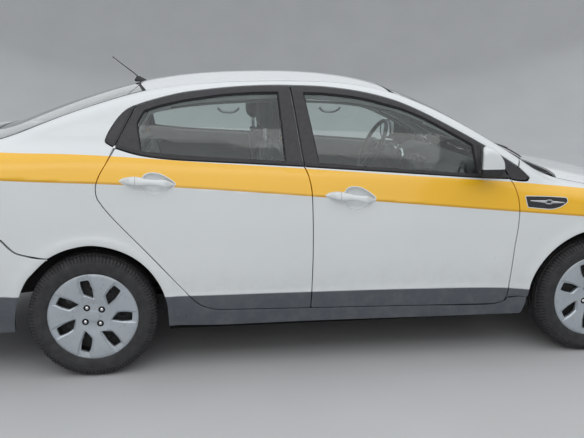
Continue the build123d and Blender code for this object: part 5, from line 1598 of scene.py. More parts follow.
def lean_back(x, y):
    """The open side faces the driver: it runs forwards towards the door."""
    return x + (.9575 - y) * M_TILT * np.clip((.757 - x) / .12, 0, 1)


def mirror_section(y, sc, lo_=None, hi_=None, extra=0):
    q = mc + (MO - mc) * (sc + extra)
    q[:, 0] = np.maximum(q[:, 0], .6275 + (1 - sc) * .012)
    if lo_ is not None:
        q[:, 1] = np.maximum(q[:, 1], lo_)
    if hi_ is not None:
        q[:, 1] = np.minimum(q[:, 1], hi_)
    return np.stack([lean_back(q[:, 0], y), np.full(len(q), y), q[:, 1]], 1)


solid_pair("door_mirror_shell", loft([mirror_section(y, sc, lo_=M_SPLIT) for y, sc in M_Y]), M_WHITE, "front_door_{}", ["door_mirror_{}"], "paint", angle=50)
# black lower part and foot
solid_pair("door_mirror_base", loft([mirror_section(y, sc, hi_=M_SPLIT - .0016, extra=-.004) for y, sc in M_Y]), M_PLAST, "front_door_{}", None, "black_plastic", angle=50)
solid_pair("door_mirror_core", loft([mirror_section(y, sc - .03, lo_=M_SPLIT - .004, hi_=M_SPLIT + .003) for y, sc in M_Y[1:-1]]), M_RUBBER, "front_door_{}", None, "black_plastic", angle=50)
a = np.arange(24) / 24 * 2 * PI
foot = []
for y, cx, cz, rx, rz in ((.768, .775, .985, .052, .036), (.782, .770, .987, .048, .030), (.800, .757, .990, .040, .022), (.822, .742, .992, .032, .018), (.842, .728, .994, .026, .014)):
    foot.append(np.stack([cx + rx * np.cos(a), np.full(24, y), cz + rz * np.sin(a)], 1))
solid_pair("door_mirror_foot", loft(foot), M_PLAST, "front_door_{}", None, "black_plastic", angle=50)
gy = ring_of("S", [("uv", .838, .988, .018), ("uv", .938, .984, .022), ("uv", .944, 1.040, None), ("uv", .932, 1.092, .018), ("uv", .850, 1.100, .020), ("uv", .838, 1.045, None)], .006)
M_MIRROR = simple("mirror_silvering", (.80, .82, .84), (.86, .88, .89), (.01, .03), 10, None, metallic=1)


def mg(P, x):
    return np.stack([x + (.9575 - P[:, 0]) * M_TILT, P[:, 0], P[:, 1]], 1)


solid_pair("door_mirror_glass", loft([mg(gy, .6285), mg(gy, .6255), mg(grow(gy, -.001), .6250)]), M_MIRROR, "front_door_{}", None, "window_glass", angle=30)
rim_ = [mg(grow(gy, g_), x_) for g_, x_ in ((.0005, .6260), (.0015, .6235), (.0065, .6235), (.0090, .6250), (.0100, .6285))]
solid_pair("door_mirror_rim", loft(rim_, caps=False), M_PLAST, "front_door_{}", None, "black_plastic", angle=50)
# the mirror foot's cover on the door's sail corner
sc_ = ring_of("S", [S(692, 1103, 6), S(765, 1074, 6), S(838, 945, 8), S(699, 957, 8)])
pair("mirror_sail_door", skin("S", sc_, base=-.0012, lipdepth=.004, gap=0, roll=.002, h=.012), M_PLAST, "front_door_{}", None, "black_plastic")

# ------------------------------------------------------------ side repeater on the wing
th_rep = np.arange(36) / 36 * 2 * PI
REP = [S(925, 850, 6), S(1040, 845), S(1148, 836, 7), S(1152, 818, 5), S(1121, 798), S(1070, 785), S(1000, 790), S(936, 797, 8)]
r_rep = ring_of("S", REP)
pair("side_repeater_base", skin("S", r_rep, base=-.0020, lipdepth=.004, gap=0, roll=.0012, h=.01), M_PLAST, "body", None, "black_plastic")
pair("side_repeater_border", skin("S", grow(r_rep, .0035), [grow(r_rep, -.0002)], base=-.0018, lipdepth=.004, gap=0, hole_gap=0, roll=.0009, h=.01), M_WHITE, "body", None, "paint")
mid = to_uv("S", lift("S", np.array([(945, 826), (1000, 823), (1060, 818), (1134, 815)]) / 1000))
wing_bar = []
for a_, b_ in (((948, 828), (1030, 820)), ((1134, 813), (1068, 817))):
    e_ = to_uv("S", lift("S", np.array([a_, b_]) / 1000))
    L_ = catmull(e_, .008)
    P_ = off_surface("S", L_, -.0030)
    wing_bar.append(poly_tube(P_, np.linspace(.0020, .0068, len(P_)), 8, flat=.5, up=(0, 1, 0)))
solid_pair("side_repeater_trim", join(*wing_bar), M_CHROME, "body", None, "steel_bare", angle=50)
cc_ = np.array([1.049, .8185]) + np.stack([.0250 * np.cos(th_rep), .0118 * np.sin(th_rep)], 1)
pair("side_repeater_bezel", skin("S", cc_, [np.array([1.049, .8185]) + (cc_ - np.array([1.049, .8185])) * .55], base=-.0062, lipdepth=.006, gap=0, hole_gap=0, hole_lip=.004, roll=.0018, h=.005), M_CHROME, "body", None, "steel_bare")
pair("side_repeater_lens", skin("S", np.array([1.049, .8185]) + (cc_ - np.array([1.049, .8185])) * .54, base=-.0056, lipdepth=.005, gap=0, roll=.0015, h=.005), M_LENS, "body", None, "lamp_clear")

# ------------------------------------------------------------ roof aerial
fp = lift("T", [[-1.012, 0]])[0]
base_prof = [(.0245, -.004), (.0245, .002), (.022, .008), (.0165, .0135), (.012, .018), (.0085, .0225), (.006, .026)]
bp = revolve(base_prof, (0, 0, 0), "z", 28)
V = np.array(bp[0])
V[:, 0] *= 1.45
V[:, 0] -= V[:, 2] * .6
V = V + fp + [0, 0, .003]
aft = [fp + [-.010, 0, .020], fp + [-.040, 0, .0475], fp + [-.080, 0, .078], [-1.1635, 0, 1.532]]
mast = smooth_path(aft, .006)
coil = []
solid("aerial_mast", join((V, bp[1]), poly_tube(mast, np.concatenate([[.0046, .0046], np.linspace(.0032, .0020, len(mast) - 4), [.0028, .0026]]), 10)), M_PLAST, "body", ["aerial"], "black_plastic", angle=60)

# ------------------------------------------------------------ wheels
def wheel_paint():
    m, nt, b = new_mat("wheel_cover_silver")
    co = coords(nt)
    n1, n2 = noise(nt, 9, 4, .6, co), noise(nt, 60, 5, .7, co)
    base = mix(nt, n1, (.44, .485, .525), (.51, .55, .585))
    nt.links.new(mix(nt, math_node(nt, "MULTIPLY", ramp_fac(nt, n2, .56, .75), .5), base, (.16, .15, .14)), b.inputs["Base Color"])
    b.inputs["Metallic"].default_value = .55
    r = nt.nodes.new("ShaderNodeMapRange")
    r.inputs["To Min"].default_value, r.inputs["To Max"].default_value = .26, .48
    nt.links.new(n2, r.inputs["Value"])
    nt.links.new(r.outputs[0], b.inputs["Roughness"])
    bump(nt, b, noise(nt, 700, 2, .5, co), .05, .0002)
    return m


M_WHEEL = wheel_paint()
M_TYRE = simple("tyre_rubber", (.020, .0205, .022), (.042, .042, .043), (.62, .85), 26, 240, .5, .0006)
M_IRON = simple("brake_iron", (.10, .085, .075), (.24, .22, .20), (.45, .75), 40, 300, .4, .0005, metallic=.8)
M_DARK = simple("wheel_inside_dark", (.018, .018, .019), (.035, .034, .033), (.55, .8), 30, 200, .3, .0005)

R_COVER = .2207
h_r = table([(0, .0645), (.022, .0650), (.030, .0640), (.040, .0630), (.065, .0650), (.09, .0710), (.125, .0765), (.17, .0812), (.200, .0822), (.213, .0802), (.221, .0735)], .004, .02)


def disc_fn(cx, ang):
    """Maps the wheel cover's flat (u, v) to the left side's space; depth runs inwards."""
    def fn(uv, d):
        r = np.hypot(uv[:, 0], uv[:, 1])
        y = TR + h_r(r) - d
        return np.stack([cx + uv[:, 0], y + 0 * r, AZ + uv[:, 1]], 1)
    return fn


WIN_OUT = np.array([(.345, -.122), (.500, .120), (.70, .140), (.935, .125), (.945, -.150), (.66, -.162)]) * R_COVER
WIN_IN = np.array([(.382, -.098), (.520, .086), (.68, .102), (.840, .090), (.828, -.104), (.61, -.125)]) * R_COVER


def poly_round(P, r, step=.003):
    return ring_of("S", [("uv", float(a), float(b), r) for a, b in P], step)


def rot(P, a):
    c, s_ = math.cos(a), math.sin(a)
    return np.stack([P[:, 0] * c - P[:, 1] * s_, P[:, 0] * s_ + P[:, 1] * c], 1)


def even(P, n):
    Q = np.vstack([P, P[:1]])
    s_ = np.concatenate([[0], np.cumsum(np.linalg.norm(np.diff(Q, axis=0), axis=1))])
    t = np.linspace(0, s_[-1], n + 1)[:-1]
    return np.stack([np.interp(t, s_, Q[:, i]) for i in (0, 1)], 1)


def start_at(P, ref):
    i = int(np.argmin(np.linalg.norm(P - ref, axis=1)))
    return np.roll(P, -i, axis=0)


w_out, w_in = even(poly_round(WIN_OUT, .008), 56), even(poly_round(WIN_IN, .007), 56)
w_out, w_in = start_at(w_out, WIN_OUT[0]), start_at(w_in, WIN_IN[0])
w_out, w_in = even(w_out, 56), even(w_in, 56)
th = np.arange(120) / 120 * 2 * PI
LUGS = [math.radians(a) for a in (37, 127, 217, 307)]


def wheel_geo(cx, first):
    fn = disc_fn(cx, first)
    outer = np.stack([R_COVER * np.cos(th), R_COVER * np.sin(th)], 1)
    wins = [rot(w_out, math.radians(first) + i * 2 * PI / 7) for i in range(7)]
    luga = [np.stack([.050 * math.cos(a) + .0165 * np.cos(th[::5]), .050 * math.sin(a) + .0165 * np.sin(th[::5])], 1) for a in LUGS]
    g = [sheet(fn, outer, wins + luga, gap=0, hole_gap=0, lipdepth=.016, hole_lip=.003, roll=.0016, h=.010)[:2]]
    for i in range(7):
        a = math.radians(first) + i * 2 * PI / 7
        o, n_ = rot(w_out, a), rot(w_in, a)
        R0 = fn(o, .0030)
        # the bevel falls steeply by the blades and gently towards the rim
        rings = [R0, fn(o * .80 + n_ * .20, .0046), fn(o * .2 + n_ * .8, .0080), fn(n_, .0090), fn(n_, .0105), fn(n_ * .999, .024)]
        V, F_ = loft(rings, caps=False)
        g.append((V, [f[::-1] for f in F_]))
    return g


def lug_geo(cx):
    g = []
    for a in LUGS:
        c = (cx + .050 * math.cos(a), TR, AZ + .050 * math.sin(a))
        g.append(revolve([(.0172, .0625), (.0172, .048), (.006, .047)], c, "y", 24))
    return g


def nuts_geo(cx):
    g = []
    for a in LUGS:
        c = (cx + .050 * math.cos(a), TR, AZ + .050 * math.sin(a))
        hexa = revolve([(.0118, .046), (.0118, .058), (.0106, .0605), (.0085, .0635), (.0050, .0655), (.0004, .0662)], c, "y", 6)
        g.append(revolve([(.0128, .046), (.0128, .0495), (.0112, .0515)], c, "y", 24))
        g.append(hexa)
    return g


def tyre_geo(cx):
    prof = [(.2140, -.0770), (.2160, -.0820), (.2210, -.0862), (.2270, -.0884), (.2330, -.0890), (.2370, -.0905), (.2440, -.0918), (.2520, -.0923), (.2600, -.0917), (.2680, -.0902), (.2760, -.0880)]
    sh = [(.2820, -.0858), (.2880, -.0828), (.2930, -.0792), (.2975, -.0745), (.3007, -.0690), (.3030, -.0630)]
    tread = [(.3045 + .0013 * (1 - (w_ / .056) ** 2), w_) for w_ in np.linspace(-.056, .056, 27)]
    half1 = prof + sh
    P = np.array(half1 + tread + [(r, -w_) for r, w_ in half1[::-1]])
    n = 648
    a = np.arange(n) / n * 2 * PI
    r, w_ = P[:, 0][:, None] * np.ones(n), P[:, 1][:, None] * np.ones(n)
    A = np.tile(a, (len(P), 1))
    cut = np.zeros_like(r)
    aw = np.abs(w_)
    for c, hw, dp in ((.0205, .0038, .0065), (.0480, .0036, .0065)):
        cut = np.maximum(cut, dp * sstep(hw + .0015, hw - .0005, np.abs(aw - c)))
    lug = (A * 108 / (2 * PI) + np.sign(w_) * aw * 9) % 1
    m = sstep(.34, .27, lug) * sstep(.0, .07, lug)
    cut = np.maximum(cut, .0050 * m * sstep(.051, .054, aw) * sstep(.270, .284, r))
    sipe = (A * 216 / (2 * PI) + w_ * 14) % 1
    cut = np.maximum(cut, .0022 * (sipe < .35) * (aw < .016) * 1.0)
    blk = (A * 72 / (2 * PI) - w_ * 16) % 1
    cut = np.maximum(cut, .0055 * (blk < .17) * ((aw > .026) & (aw < .043)))
    # side wall: fine rays and two rings
    rays = (A * 216 / (2 * PI)) % 1
    cut = np.maximum(cut, .0007 * (rays < .5) * ((r > .240) & (r < .262) & (aw > .08)))
    cut -= .0012 * ((r > .2655) & (r < .2705) & (aw > .08))
    r2_ = r - cut * np.where(aw > .0745, .55, 1.0)
    w2 = w_ - np.sign(w_) * cut * np.where(aw > .0745, .85, .0) * (aw > .06)
    V = np.stack([cx + r2_ * np.cos(A), TR + w2, AZ + r2_ * np.sin(A)], 2).reshape(-1, 3)
    V[:, 2] = np.maximum(V[:, 2], .0002)
    F_ = []
    m_ = len(P)
    i = np.arange(m_ - 1)[:, None]
    j = np.arange(n)[None]
    k = (j + 1) % n
    F_ = np.stack([i * n + j, i * n + k, (i + 1) * n + k, (i + 1) * n + j], 2).reshape(-1, 4)
    # inner lining from bead to bead
    bead = len(V)
    inner = np.array([(.2140, -.0770), (.2115, -.0700), (.2130, -.060), (.2130, .060), (.2115, .0700), (.2140, .0770)])
    ri, wi = inner[:, 0][:, None] * np.ones(n), inner[:, 1][:, None] * np.ones(n)
    Ai = np.tile(a, (len(inner), 1))
    V = np.vstack([V, np.stack([cx + ri * np.cos(Ai), TR + wi, AZ + ri * np.sin(Ai)], 2).reshape(-1, 3)])
    i = np.arange(len(inner) - 1)[:, None]
    Fi = np.stack([i * n + j, i * n + k, (i + 1) * n + k, (i + 1) * n + j], 2).reshape(-1, 4)[:, ::-1] + bead
    return V, np.vstack([F_, Fi])


for end, cx, first in (("front", AX_F, 7.5), ("rear", AX_R, -1.8)):
    V, F_ = tyre_geo(cx)
    for sd in ("left", "right"):
        W = V.copy()
        Fq = F_
        if sd == "right":
            W[:, 1] *= -1
            Fq = F_[:, ::-1]
        body = f"{end}_wheel_{sd}"
        ob = mesh_object(f"{end}_tyre_tread_{sd}", W, Fq.tolist(), M_TYRE)
        fix_normals(ob)
        auto_smooth(ob, 40)
        add_piece(ob, body, [f"{end}_tyre_{sd}"], "tyre_rubber")
    g = wheel_geo(cx, first)
    for sd in ("left", "right"):
        flip_ = (lambda q: q) if sd == "left" else (lambda q: mirror_y(q[:2]))
        body = f"{end}_wheel_{sd}"
        ob = mesh_object(f"{end}_wheel_cover_{sd}", *[(v, [tuple(f) for f in f_]) for v, f_ in [flip_(join(*g))[:2]]][0], M_WHEEL)
        auto_smooth(ob, 28)
        add_piece(ob, body, [f"{end}_wheel_{sd}"], "wheel_silver")
        solid(f"{end}_wheel_nut_wells_{sd}", flip_(join(*lug_geo(cx))), M_DARK, body, [], "wheel_silver")
        solid(f"{end}_wheel_nuts_{sd}", flip_(join(*nuts_geo(cx))), M_CHROME, body, [], "steel_bare", angle=20)
        cap = revolve([(.0305, .0630), (.0300, .0665), (.0285, .0682), (.0240, .0690), (.0120, .0700), (.0004, .0704)], (cx, TR, AZ), "y", 40)
        solid(f"{end}_wheel_cap_{sd}", flip_(cap), M_WHEEL, body, [], "wheel_silver", angle=30)
        rim = revolve([(0.2160, 0.07), (0.2175, 0.0735), (0.2160, 0.0765), (0.2130, 0.0745), (0.2060, 0.064), (0.1990, 0.056), (0.1930, 0.04), (0.1920, 0.0), (0.1980, -0.05), (0.2080, -0.066), (0.2160, -0.0745), (0.2175, -0.0735), (0.2140, -0.069), (0.2030, -0.05), (0.1960, 0.0), (0.1980, 0.045), (0.2090, 0.066)], (cx, TR, AZ), "y", 72, close=True)
        solid(f"{end}_wheel_rim_{sd}", flip_(rim), M_DARK, body, [], "steel_coated", angle=40)
        # pressed steel disc behind the cover, with its round vents
        vents = [np.stack([.135 * math.cos(a0) + .017 * np.cos(th[::4]), .135 * math.sin(a0) + .017 * np.sin(th[::4])], 1) for a0 in np.arange(12) * 2 * PI / 12]
        dfn = lambda uv, d: np.stack([cx + uv[:, 0], TR + .030 + .012 * np.cos(np.hypot(uv[:, 0], uv[:, 1]) / .18 * PI) - d, AZ + uv[:, 1]], 1)
        dg = sheet(dfn, np.stack([.181 * np.cos(th), .181 * np.sin(th)], 1), vents, gap=0, hole_gap=0, lipdepth=.004, back=.004, roll=.001, h=.014)
        solid(f"{end}_wheel_disc_{sd}", flip_(dg[:2]), M_DARK, body, [], "steel_coated", angle=40)
        if end == "front":
            brake = revolve([(.020, .012), (.062, .012), (.066, -.004), (.070, -.010), (.124, -.010), (.1265, -.012), (.1265, -.030), (.124, -.032), (.070, -.032), (.060, -.026), (.020, -.020)], (cx, TR - .012, AZ), "y", 64, close=True)
        else:
            brake = revolve([(.020, .006), (.085, .006), (.098, .002), (.104, -.008), (.104, -.046), (.108, -.050), (.108, -.056), (.095, -.058), (.020, -.058)], (cx, TR - .012, AZ), "y", 64, close=True)
        solid(f"{end}_brake_{'disc' if end == 'front' else 'drum'}_{sd}", flip_(brake), M_IRON, body, [], "cast_metal", angle=30)

# ------------------------------------------------------------ aperture of the sill's underside
xs = np.linspace(-.868, .950, 60)
V = []
for yv, dz in ((-.004, .003), (-.050, .000), (-.080, .004), (-.110, .018), (-.118, .050)):
    P = lift("S", np.stack([xs, np.full(60, .2285)], 1))
    V.append(np.stack([xs, P[:, 1] + yv, np.full(60, .2165 + dz)], 1))
F_ = [(i * 60 + j, i * 60 + j + 1, (i + 1) * 60 + j + 1, (i + 1) * 60 + j) for i in range(4) for j in range(59)]
ob_l = pair("sill_underside", (np.vstack(V), F_), M_UNDER, "body", None, "steel_coated")

# ------------------------------------------------------------ cabin: linings
from mathutils.bvhtree import BVHTree


def lining_material():
    """Moulded side lining: light above the belt, dark below it."""
    m, nt, b = new_mat("cabin_side_lining")
    co = coords(nt)
    sep = nt.nodes.new("ShaderNodeSeparateXYZ")
    nt.links.new(co, sep.inputs[0])
    n = noise(nt, 60, 4, .6, co)
    lo_ = mix(nt, n, (.050, .050, .054), (.075, .075, .08))
    hi_ = mix(nt, n, (.115, .115, .113), (.150, .149, .145))
    nt.links.new(mix(nt, math_node(nt, "GREATER_THAN", sep.outputs[2], 1.06), lo_, hi_), b.inputs["Base Color"])
    b.inputs["Roughness"].default_value = .78
    bump(nt, b, noise(nt, 800, 2, .5, co), .35, .0004)
    return m


M_LINING = lining_material()


def inner_T(face):
    return lambda uv, d: off_surface("T", uv, face - d)


def inner_S(face):
    return lambda uv, d: off_surface("S", uv, face - d)


HL = ring_of("T", sym([T(290, 0), T(275, 300), T(262, 478, 30), T(60, 500), T(-300, 498), T(-700, 494), T(-955, 478, 40), T(-1002, 250), T(-1012, 0)]))
single("headlining", sheet(inner_T(.036), HL, gap=0, lipdepth=.024, h=.03, roll=.006), M_HEAD, "body", [], "seat_cloth")
INTR = ring_of("S", [S(-1640, 480, 12), S(-1542, 480, 5), S(-1496, 536), S(-1422, 606), S(-1379, 630), S(-1324, 650), S(-1230, 665), S(-1136, 651), S(-1043, 612), S(-966, 550), S(-908, 462), S(-878, 371), S(-862, 300, 4), S(925, 250, 8), S(925, 900, 20), S(890, 965), S(840, 1038), S(750, 1100), S(590, 1180), S(410, 1256), S(240, 1312), S(60, 1344), S(-250, 1358), S(-500, 1357), S(-800, 1332), S(-1000, 1288), S(-1150, 1236), S(-1350, 1172), S(-1600, 1085, 20)])
pair("cabin_side_trim", sheet(inner_S(.088), INTR, [grow(f_open, .002), grow(r_open, .002)], gap=0, hole_gap=0, lipdepth=.02, hole_lip=.010, roll=.004, h=.035), M_LINING, "body", None, "black_plastic")

# carpet laid over the floor pan
fp_ob = frame["nodes"]["floor_pan"]
bvh = BVHTree.FromObject(fp_ob, bpy.context.evaluated_depsgraph_get())


def drape(x0, x1, y0, y1, top_z, rise, step=.025, sigma=1):
    nx, ny = int((x1 - x0) / step) + 1, int((y1 - y0) / step) + 1
    X, Y = np.linspace(x0, x1, nx), np.linspace(y0, y1, ny)
    Z = np.zeros((nx, ny))
    for i, x in enumerate(X):
        for j, y in enumerate(Y):
            hit = bvh.ray_cast(Vector((x, y, top_z)), Vector((0, 0, -1)), 3)
            Z[i, j] = hit[0].z if hit[0] is not None else np.nan
    m = np.nanmin(Z)
    Z = np.where(np.isnan(Z), m, Z) + rise
    A = Z.copy()
    for _ in range(sigma):
        B = np.pad(A, 1, mode="edge")
        A = np.maximum(Z, (B[:-2, 1:-1] + B[2:, 1:-1] + B[1:-1, :-2] + B[1:-1, 2:] + 2 * A) / 6)
    V = np.stack([np.repeat(X, ny), np.tile(Y, nx), A.ravel()], 1)
    F_ = [(i * ny + j, (i + 1) * ny + j, (i + 1) * ny + j + 1, i * ny + j + 1) for i in range(nx - 1) for j in range(ny - 1)]
    return V, F_


single("cabin_carpet", drape(-.985, .955, -.685, .685, .62, .007, sigma=3), M_CARPET, "body", [], "seat_cloth")
single("boot_carpet", drape(-2.04, -1.03, -.585, .585, .62, .006, sigma=1), M_CARPET, "body", [], "seat_cloth")
mats = []
for nm, x0, x1, y0, y1, z_ in (("front", .33, .88, .17, .60, .256), ("rear", -.46, -.10, .17, .60, .256)):
    o = np.array([(x0 + .02, y0), (x1 - .02, y0), (x1, y0 + .03), (x1 - .03, y1 - .02), (x1 - .06, y1), (x0 + .02, y1), (x0, y1 - .02), (x0, y0 + .02)])
    rings = [np.stack([grow(o, g_)[:, 0], grow(o, g_)[:, 1], np.full(8, z_ + dz)], 1) for g_, dz in ((0, -.004), (0, .004), (-.006, .007), (-.016, .007), (-.020, .0045))]
    mats.append(loft(rings))
solid_pair("floor_mats", join(*mats), M_RUBBER, "body", None, "tyre_rubber", bevel=0, angle=30)

M_SHELF = simple("parcel_shelf_felt", (.045, .045, .048), (.075, .075, .078), (.85, 1.), 120, 900, .6, .001)

# ------------------------------------------------------------ dashboard
def profile_loft(prof_of, ys, n=None):
    secs = []
    for y in ys:
        p = prof_of(y)
        secs.append(np.stack([p[:, 0], np.full(len(p), y), p[:, 1]], 1))
    return secs


def dash_profile(y):
    """Side outline of the dashboard at y: bulges before the driver, sinks at the middle."""
    hood = math.exp(-((y - .37) / .155) ** 4)
    mid = math.exp(-(y / .15) ** 4)
    end = sstep(.55, .66, abs(y))
    back = .020 * hood + .012 * mid - .05 * end
    pts = np.array([
        (.760, .602), (.700, .640), (.668 - .02 * mid, .700), (.650 - .03 * mid, .770), (.628 - .02 * mid - back * .4, .835), (.616 - back, .880), (.624 - back, .915),
        (.648 - .4 * back, .940 + .012 * hood), (.668 + .02 * hood, .962 + .030 * hood), (.700, .978 + .026 * hood), (.760, .985 + .010 * hood), (.840, .975), (.905, .955), (.948, .935), (.957, .850), (.950, .640)])
    pts[:, 0] += .03 * end
    pts[7:14, 1] -= .012 * end
    return catmull(np.vstack([pts, pts[:1]]), .012)[:-1]


def same_count(secs, n):
    out = []
    for q in secs:
        Q = np.vstack([q, q[:1]])
        s_ = np.concatenate([[0], np.cumsum(np.linalg.norm(np.diff(Q, axis=0), axis=1))])
        t = np.linspace(0, s_[-1], n + 1)[:-1]
        out.append(np.stack([np.interp(t, s_, Q[:, i]) for i in range(3)], 1))
    return out


ys = np.concatenate([[-.652, -.650], np.linspace(-.645, .645, 87), [.650, .652]])
solid("dashboard_moulding", loft(same_count(profile_loft(dash_profile, ys), 72)), simple("dashboard_soft_plastic", (.022, .022, .024), (.04, .04, .043), (.6, .78), 70, 420, .6, .0006), "body", ["dashboard"], "black_plastic", angle=50)
# instrument hood's dials, centre stack, vents, glovebox
dial = []
for dy in (.300, .440):
    dial.append(revolve([(.052, -.004), (.052, .006), (.048, .008), (.046, .002), (.0005, .0015)], (.598, dy, .915), "x", 36, -1))
solid("instrument_dials", join(*dial), M_CHROME_DARK, "body", [], "black_plastic", angle=30)
solid("instrument_panel", loft([np.array([(x, .37 + .128 * s_ * math.cos(a_), .912 + .046 * math.sin(a_)) for a_ in th[::4]]) for x, s_ in ((.612, 1.0), (.600, 1.0), (.596, .97))]), M_BLACK, "body", [], "black_plastic", angle=30)


def rounded_rect(w, h, r, n=5):
    out = []
    for cx, cy, a_ in ((w - r, h - r, 0), (-w + r, h - r, 1), (-w + r, -h + r, 2), (w - r, -h + r, 3)):
        for u in np.linspace(0, PI / 2, n):
            out.append((cx + r * math.cos(u + a_ * PI / 2), cy + r * math.sin(u + a_ * PI / 2)))
    return np.array(out)


def panel_x(c, w, h, r, d, lean=0, hollow=0):
    """Rounded panel facing rearwards, w wide in y and h high, standing d proud, with an optional hollow face."""
    base = rounded_rect(w / 2, h / 2, r)
    def at_(k, dx):
        q = base * [(w / 2 - k) / (w / 2), (h / 2 - k) / (h / 2)]
        return np.stack([c[0] - dx + q[:, 1] * math.sin(lean), c[1] + q[:, 0], c[2] + q[:, 1] * math.cos(lean)], 1)
    lv = [(0, -.012), (0, d - .002), (.0006, d - .0006), (.002, d)]
    if hollow:
        lv += [(.005, d), (.006, d - hollow * .5), (.008, d - hollow)]
    return loft([at_(k, dx) for k, dx in lv])


solid("centre_stack", join(panel_x((.640, 0, .800), .235, .230, .022, .022, .25)), M_TRIMGREY, "body", [], "black_plastic", angle=40)
solid("centre_stack_radio", join(panel_x((.6255, 0, .845), .190, .075, .008, .016, .25, .004), panel_x((.6405, 0, .752), .190, .060, .008, .014, .25, .003)), M_PLAST, "body", [], "black_plastic", angle=40)
knobs = [revolve([(.019, 0), (.0185, .010), (.0165, .014), (.013, .0148), (.0004, .0150)], (.626 + .25 * (.752 - .752), y, .752), "x", 28, -1) for y in (-.062, 0, .062)]
knobs += [revolve([(.0115, 0), (.011, .009), (.009, .011), (.0004, .0112)], (.606, y, .845), "x", 24, -1) for y in (-.078, .078)]
solid("heater_knobs", join(*knobs), M_CHROME_DARK, "body", [], "black_plastic", angle=30)
vents_ = []
slv = []
for y, z, w_, x in ((-.062, .925, .095, .622), (.062, .925, .095, .622), (.585, .905, .085, .645), (-.585, .905, .085, .645)):
    vents_.append(panel_x((x, y, z), w_, .062, .016, .012, .12, .010))
    for dz in (-.016, -.005, .006, .017):
        slv.append(box_geo((x - .006, y, z + dz), (.010, w_ - .014, .0022)))
solid("dash_vents", join(*vents_), M_TRIMGREY, "body", [], "black_plastic", angle=40)
solid("dash_vent_vanes", join(*slv), M_PLAST, "body", [], "black_plastic", bevel=.0006, seg=1)
solid("glovebox_lid", join(panel_x((.662, -.375, .765), .37, .145, .02, .012, .22), panel_x((.640, -.375, .822), .10, .016, .006, .010, .2)), M_TRIMGREY, "body", [], "black_plastic", angle=40)

# steering wheel
tl = math.radians(27)
W0 = Vector((.412, .370, .985))
ax_ = Vector((math.cos(tl), 0, -math.sin(tl)))          # away from the driver
wy_, wz_ = Vector((0, 1, 0)), Vector((math.sin(tl), 0, math.cos(tl)))


def wp(u, v, d):
    """A point on the steering wheel: u across, v up, d towards the dashboard."""
    return np.array(W0 + wy_ * u + wz_ * v + ax_ * d)


n = 96
ringV = []
for i in range(n):
    a_ = i / n * 2 * PI
    grip_ = 1 + .10 * math.exp(-((math.sin(a_) - .28) / .16) ** 2)
    r_ = .0135 * grip_
    c = (.174 * math.cos(a_), .174 * math.sin(a_))
    ringV.append(np.array([wp(c[0] + math.cos(a_) * r_ * 1.0 * math.cos(b_), c[1] + math.sin(a_) * r_ * math.cos(b_), .013 + r_ * .95 * math.sin(b_)) for b_ in np.arange(14) / 14 * 2 * PI]))
V = np.vstack(ringV)
F_ = [(i * 14 + j, i * 14 + (j + 1) % 14, ((i + 1) % n) * 14 + (j + 1) % 14, ((i + 1) % n) * 14 + j) for i in range(n) for j in range(14)]
M_WHEELRIM = simple("steering_rim_grain", (.018, .018, .019), (.035, .034, .034), (.45, .65), 90, 700, .6, .0005)
solid("steering_wheel_rim", (V, F_), M_WHEELRIM, "steering_wheel", ["steering_wheel"], "black_plastic", angle=60)
sp = []
for a_, w0_, w1_ in ((math.radians(8), .030, .020), (math.radians(172), .030, .020), (math.radians(-90), .034, .026)):
    secs = []
    for t in np.linspace(0, 1, 10):
        r_ = .045 + .122 * t
        hw = (w0_ * (1 - t) + w1_ * t) * (1 - .25 * math.sin(PI * t))
        cx_, cy_ = r_ * math.cos(a_), r_ * math.sin(a_)
        tx, ty = -math.sin(a_), math.cos(a_)
        q = rounded_rect(hw, .0075, .005, 3)
        secs.append(np.array([wp(cx_ + tx * u, cy_ + ty * u, .018 + .006 * math.sin(PI * t) + v) for u, v in q]))
    sp.append(loft(secs))
solid("steering_wheel_spokes", join(*sp), M_TRIMGREY, "steering_wheel", [], "black_plastic", angle=50)
hub = []
hp = ring_of("S", [("uv", -.078, .030, .022), ("uv", 0, .052, None), ("uv", .078, .030, .022), ("uv", .055, -.030, .02), ("uv", 0, -.062, .02), ("uv", -.055, -.030, .02)], .005)
for k_, d_ in ((.92, .034), (1.0, .024), (1.0, .004), (.96, -.006), (.85, -.0125), (.6, -.0165), (.25, -.0175)):
    hub.append(np.array([wp(u * k_, v * k_, d_) for u, v in hp]))
solid("steering_wheel_pad", loft(hub), M_PLAST, "steering_wheel", [], "black_plastic", angle=50)
shr = []
for d_, r_, dz in ((.030, .036, 0), (.050, .046, -.003), (.110, .056, -.012), (.200, .066, -.020), (.270, .070, -.022)):
    shr.append(np.array([wp(r_ * 1.15 * math.cos(b_), r_ * math.sin(b_) + dz, d_) for b_ in np.arange(24) / 24 * 2 * PI]))
solid("steering_column_shroud", loft(shr), M_PLAST, "body", [], "black_plastic", angle=60)
st = []
for k_ in (-1, 1):
    P = smooth_path([wp(k_ * .040, .004, .075), wp(k_ * .085, .010, .068), wp(k_ * .135, .022, .052), wp(k_ * .158, .027, .044)], .008)
    st.append(poly_tube(P, np.interp(np.linspace(0, 1, len(P)), [0, .6, .85, 1], [.006, .006, .0095, .008]), 10))
solid("column_stalks", join(*st), M_PLAST, "body", [], "black_plastic", angle=60)

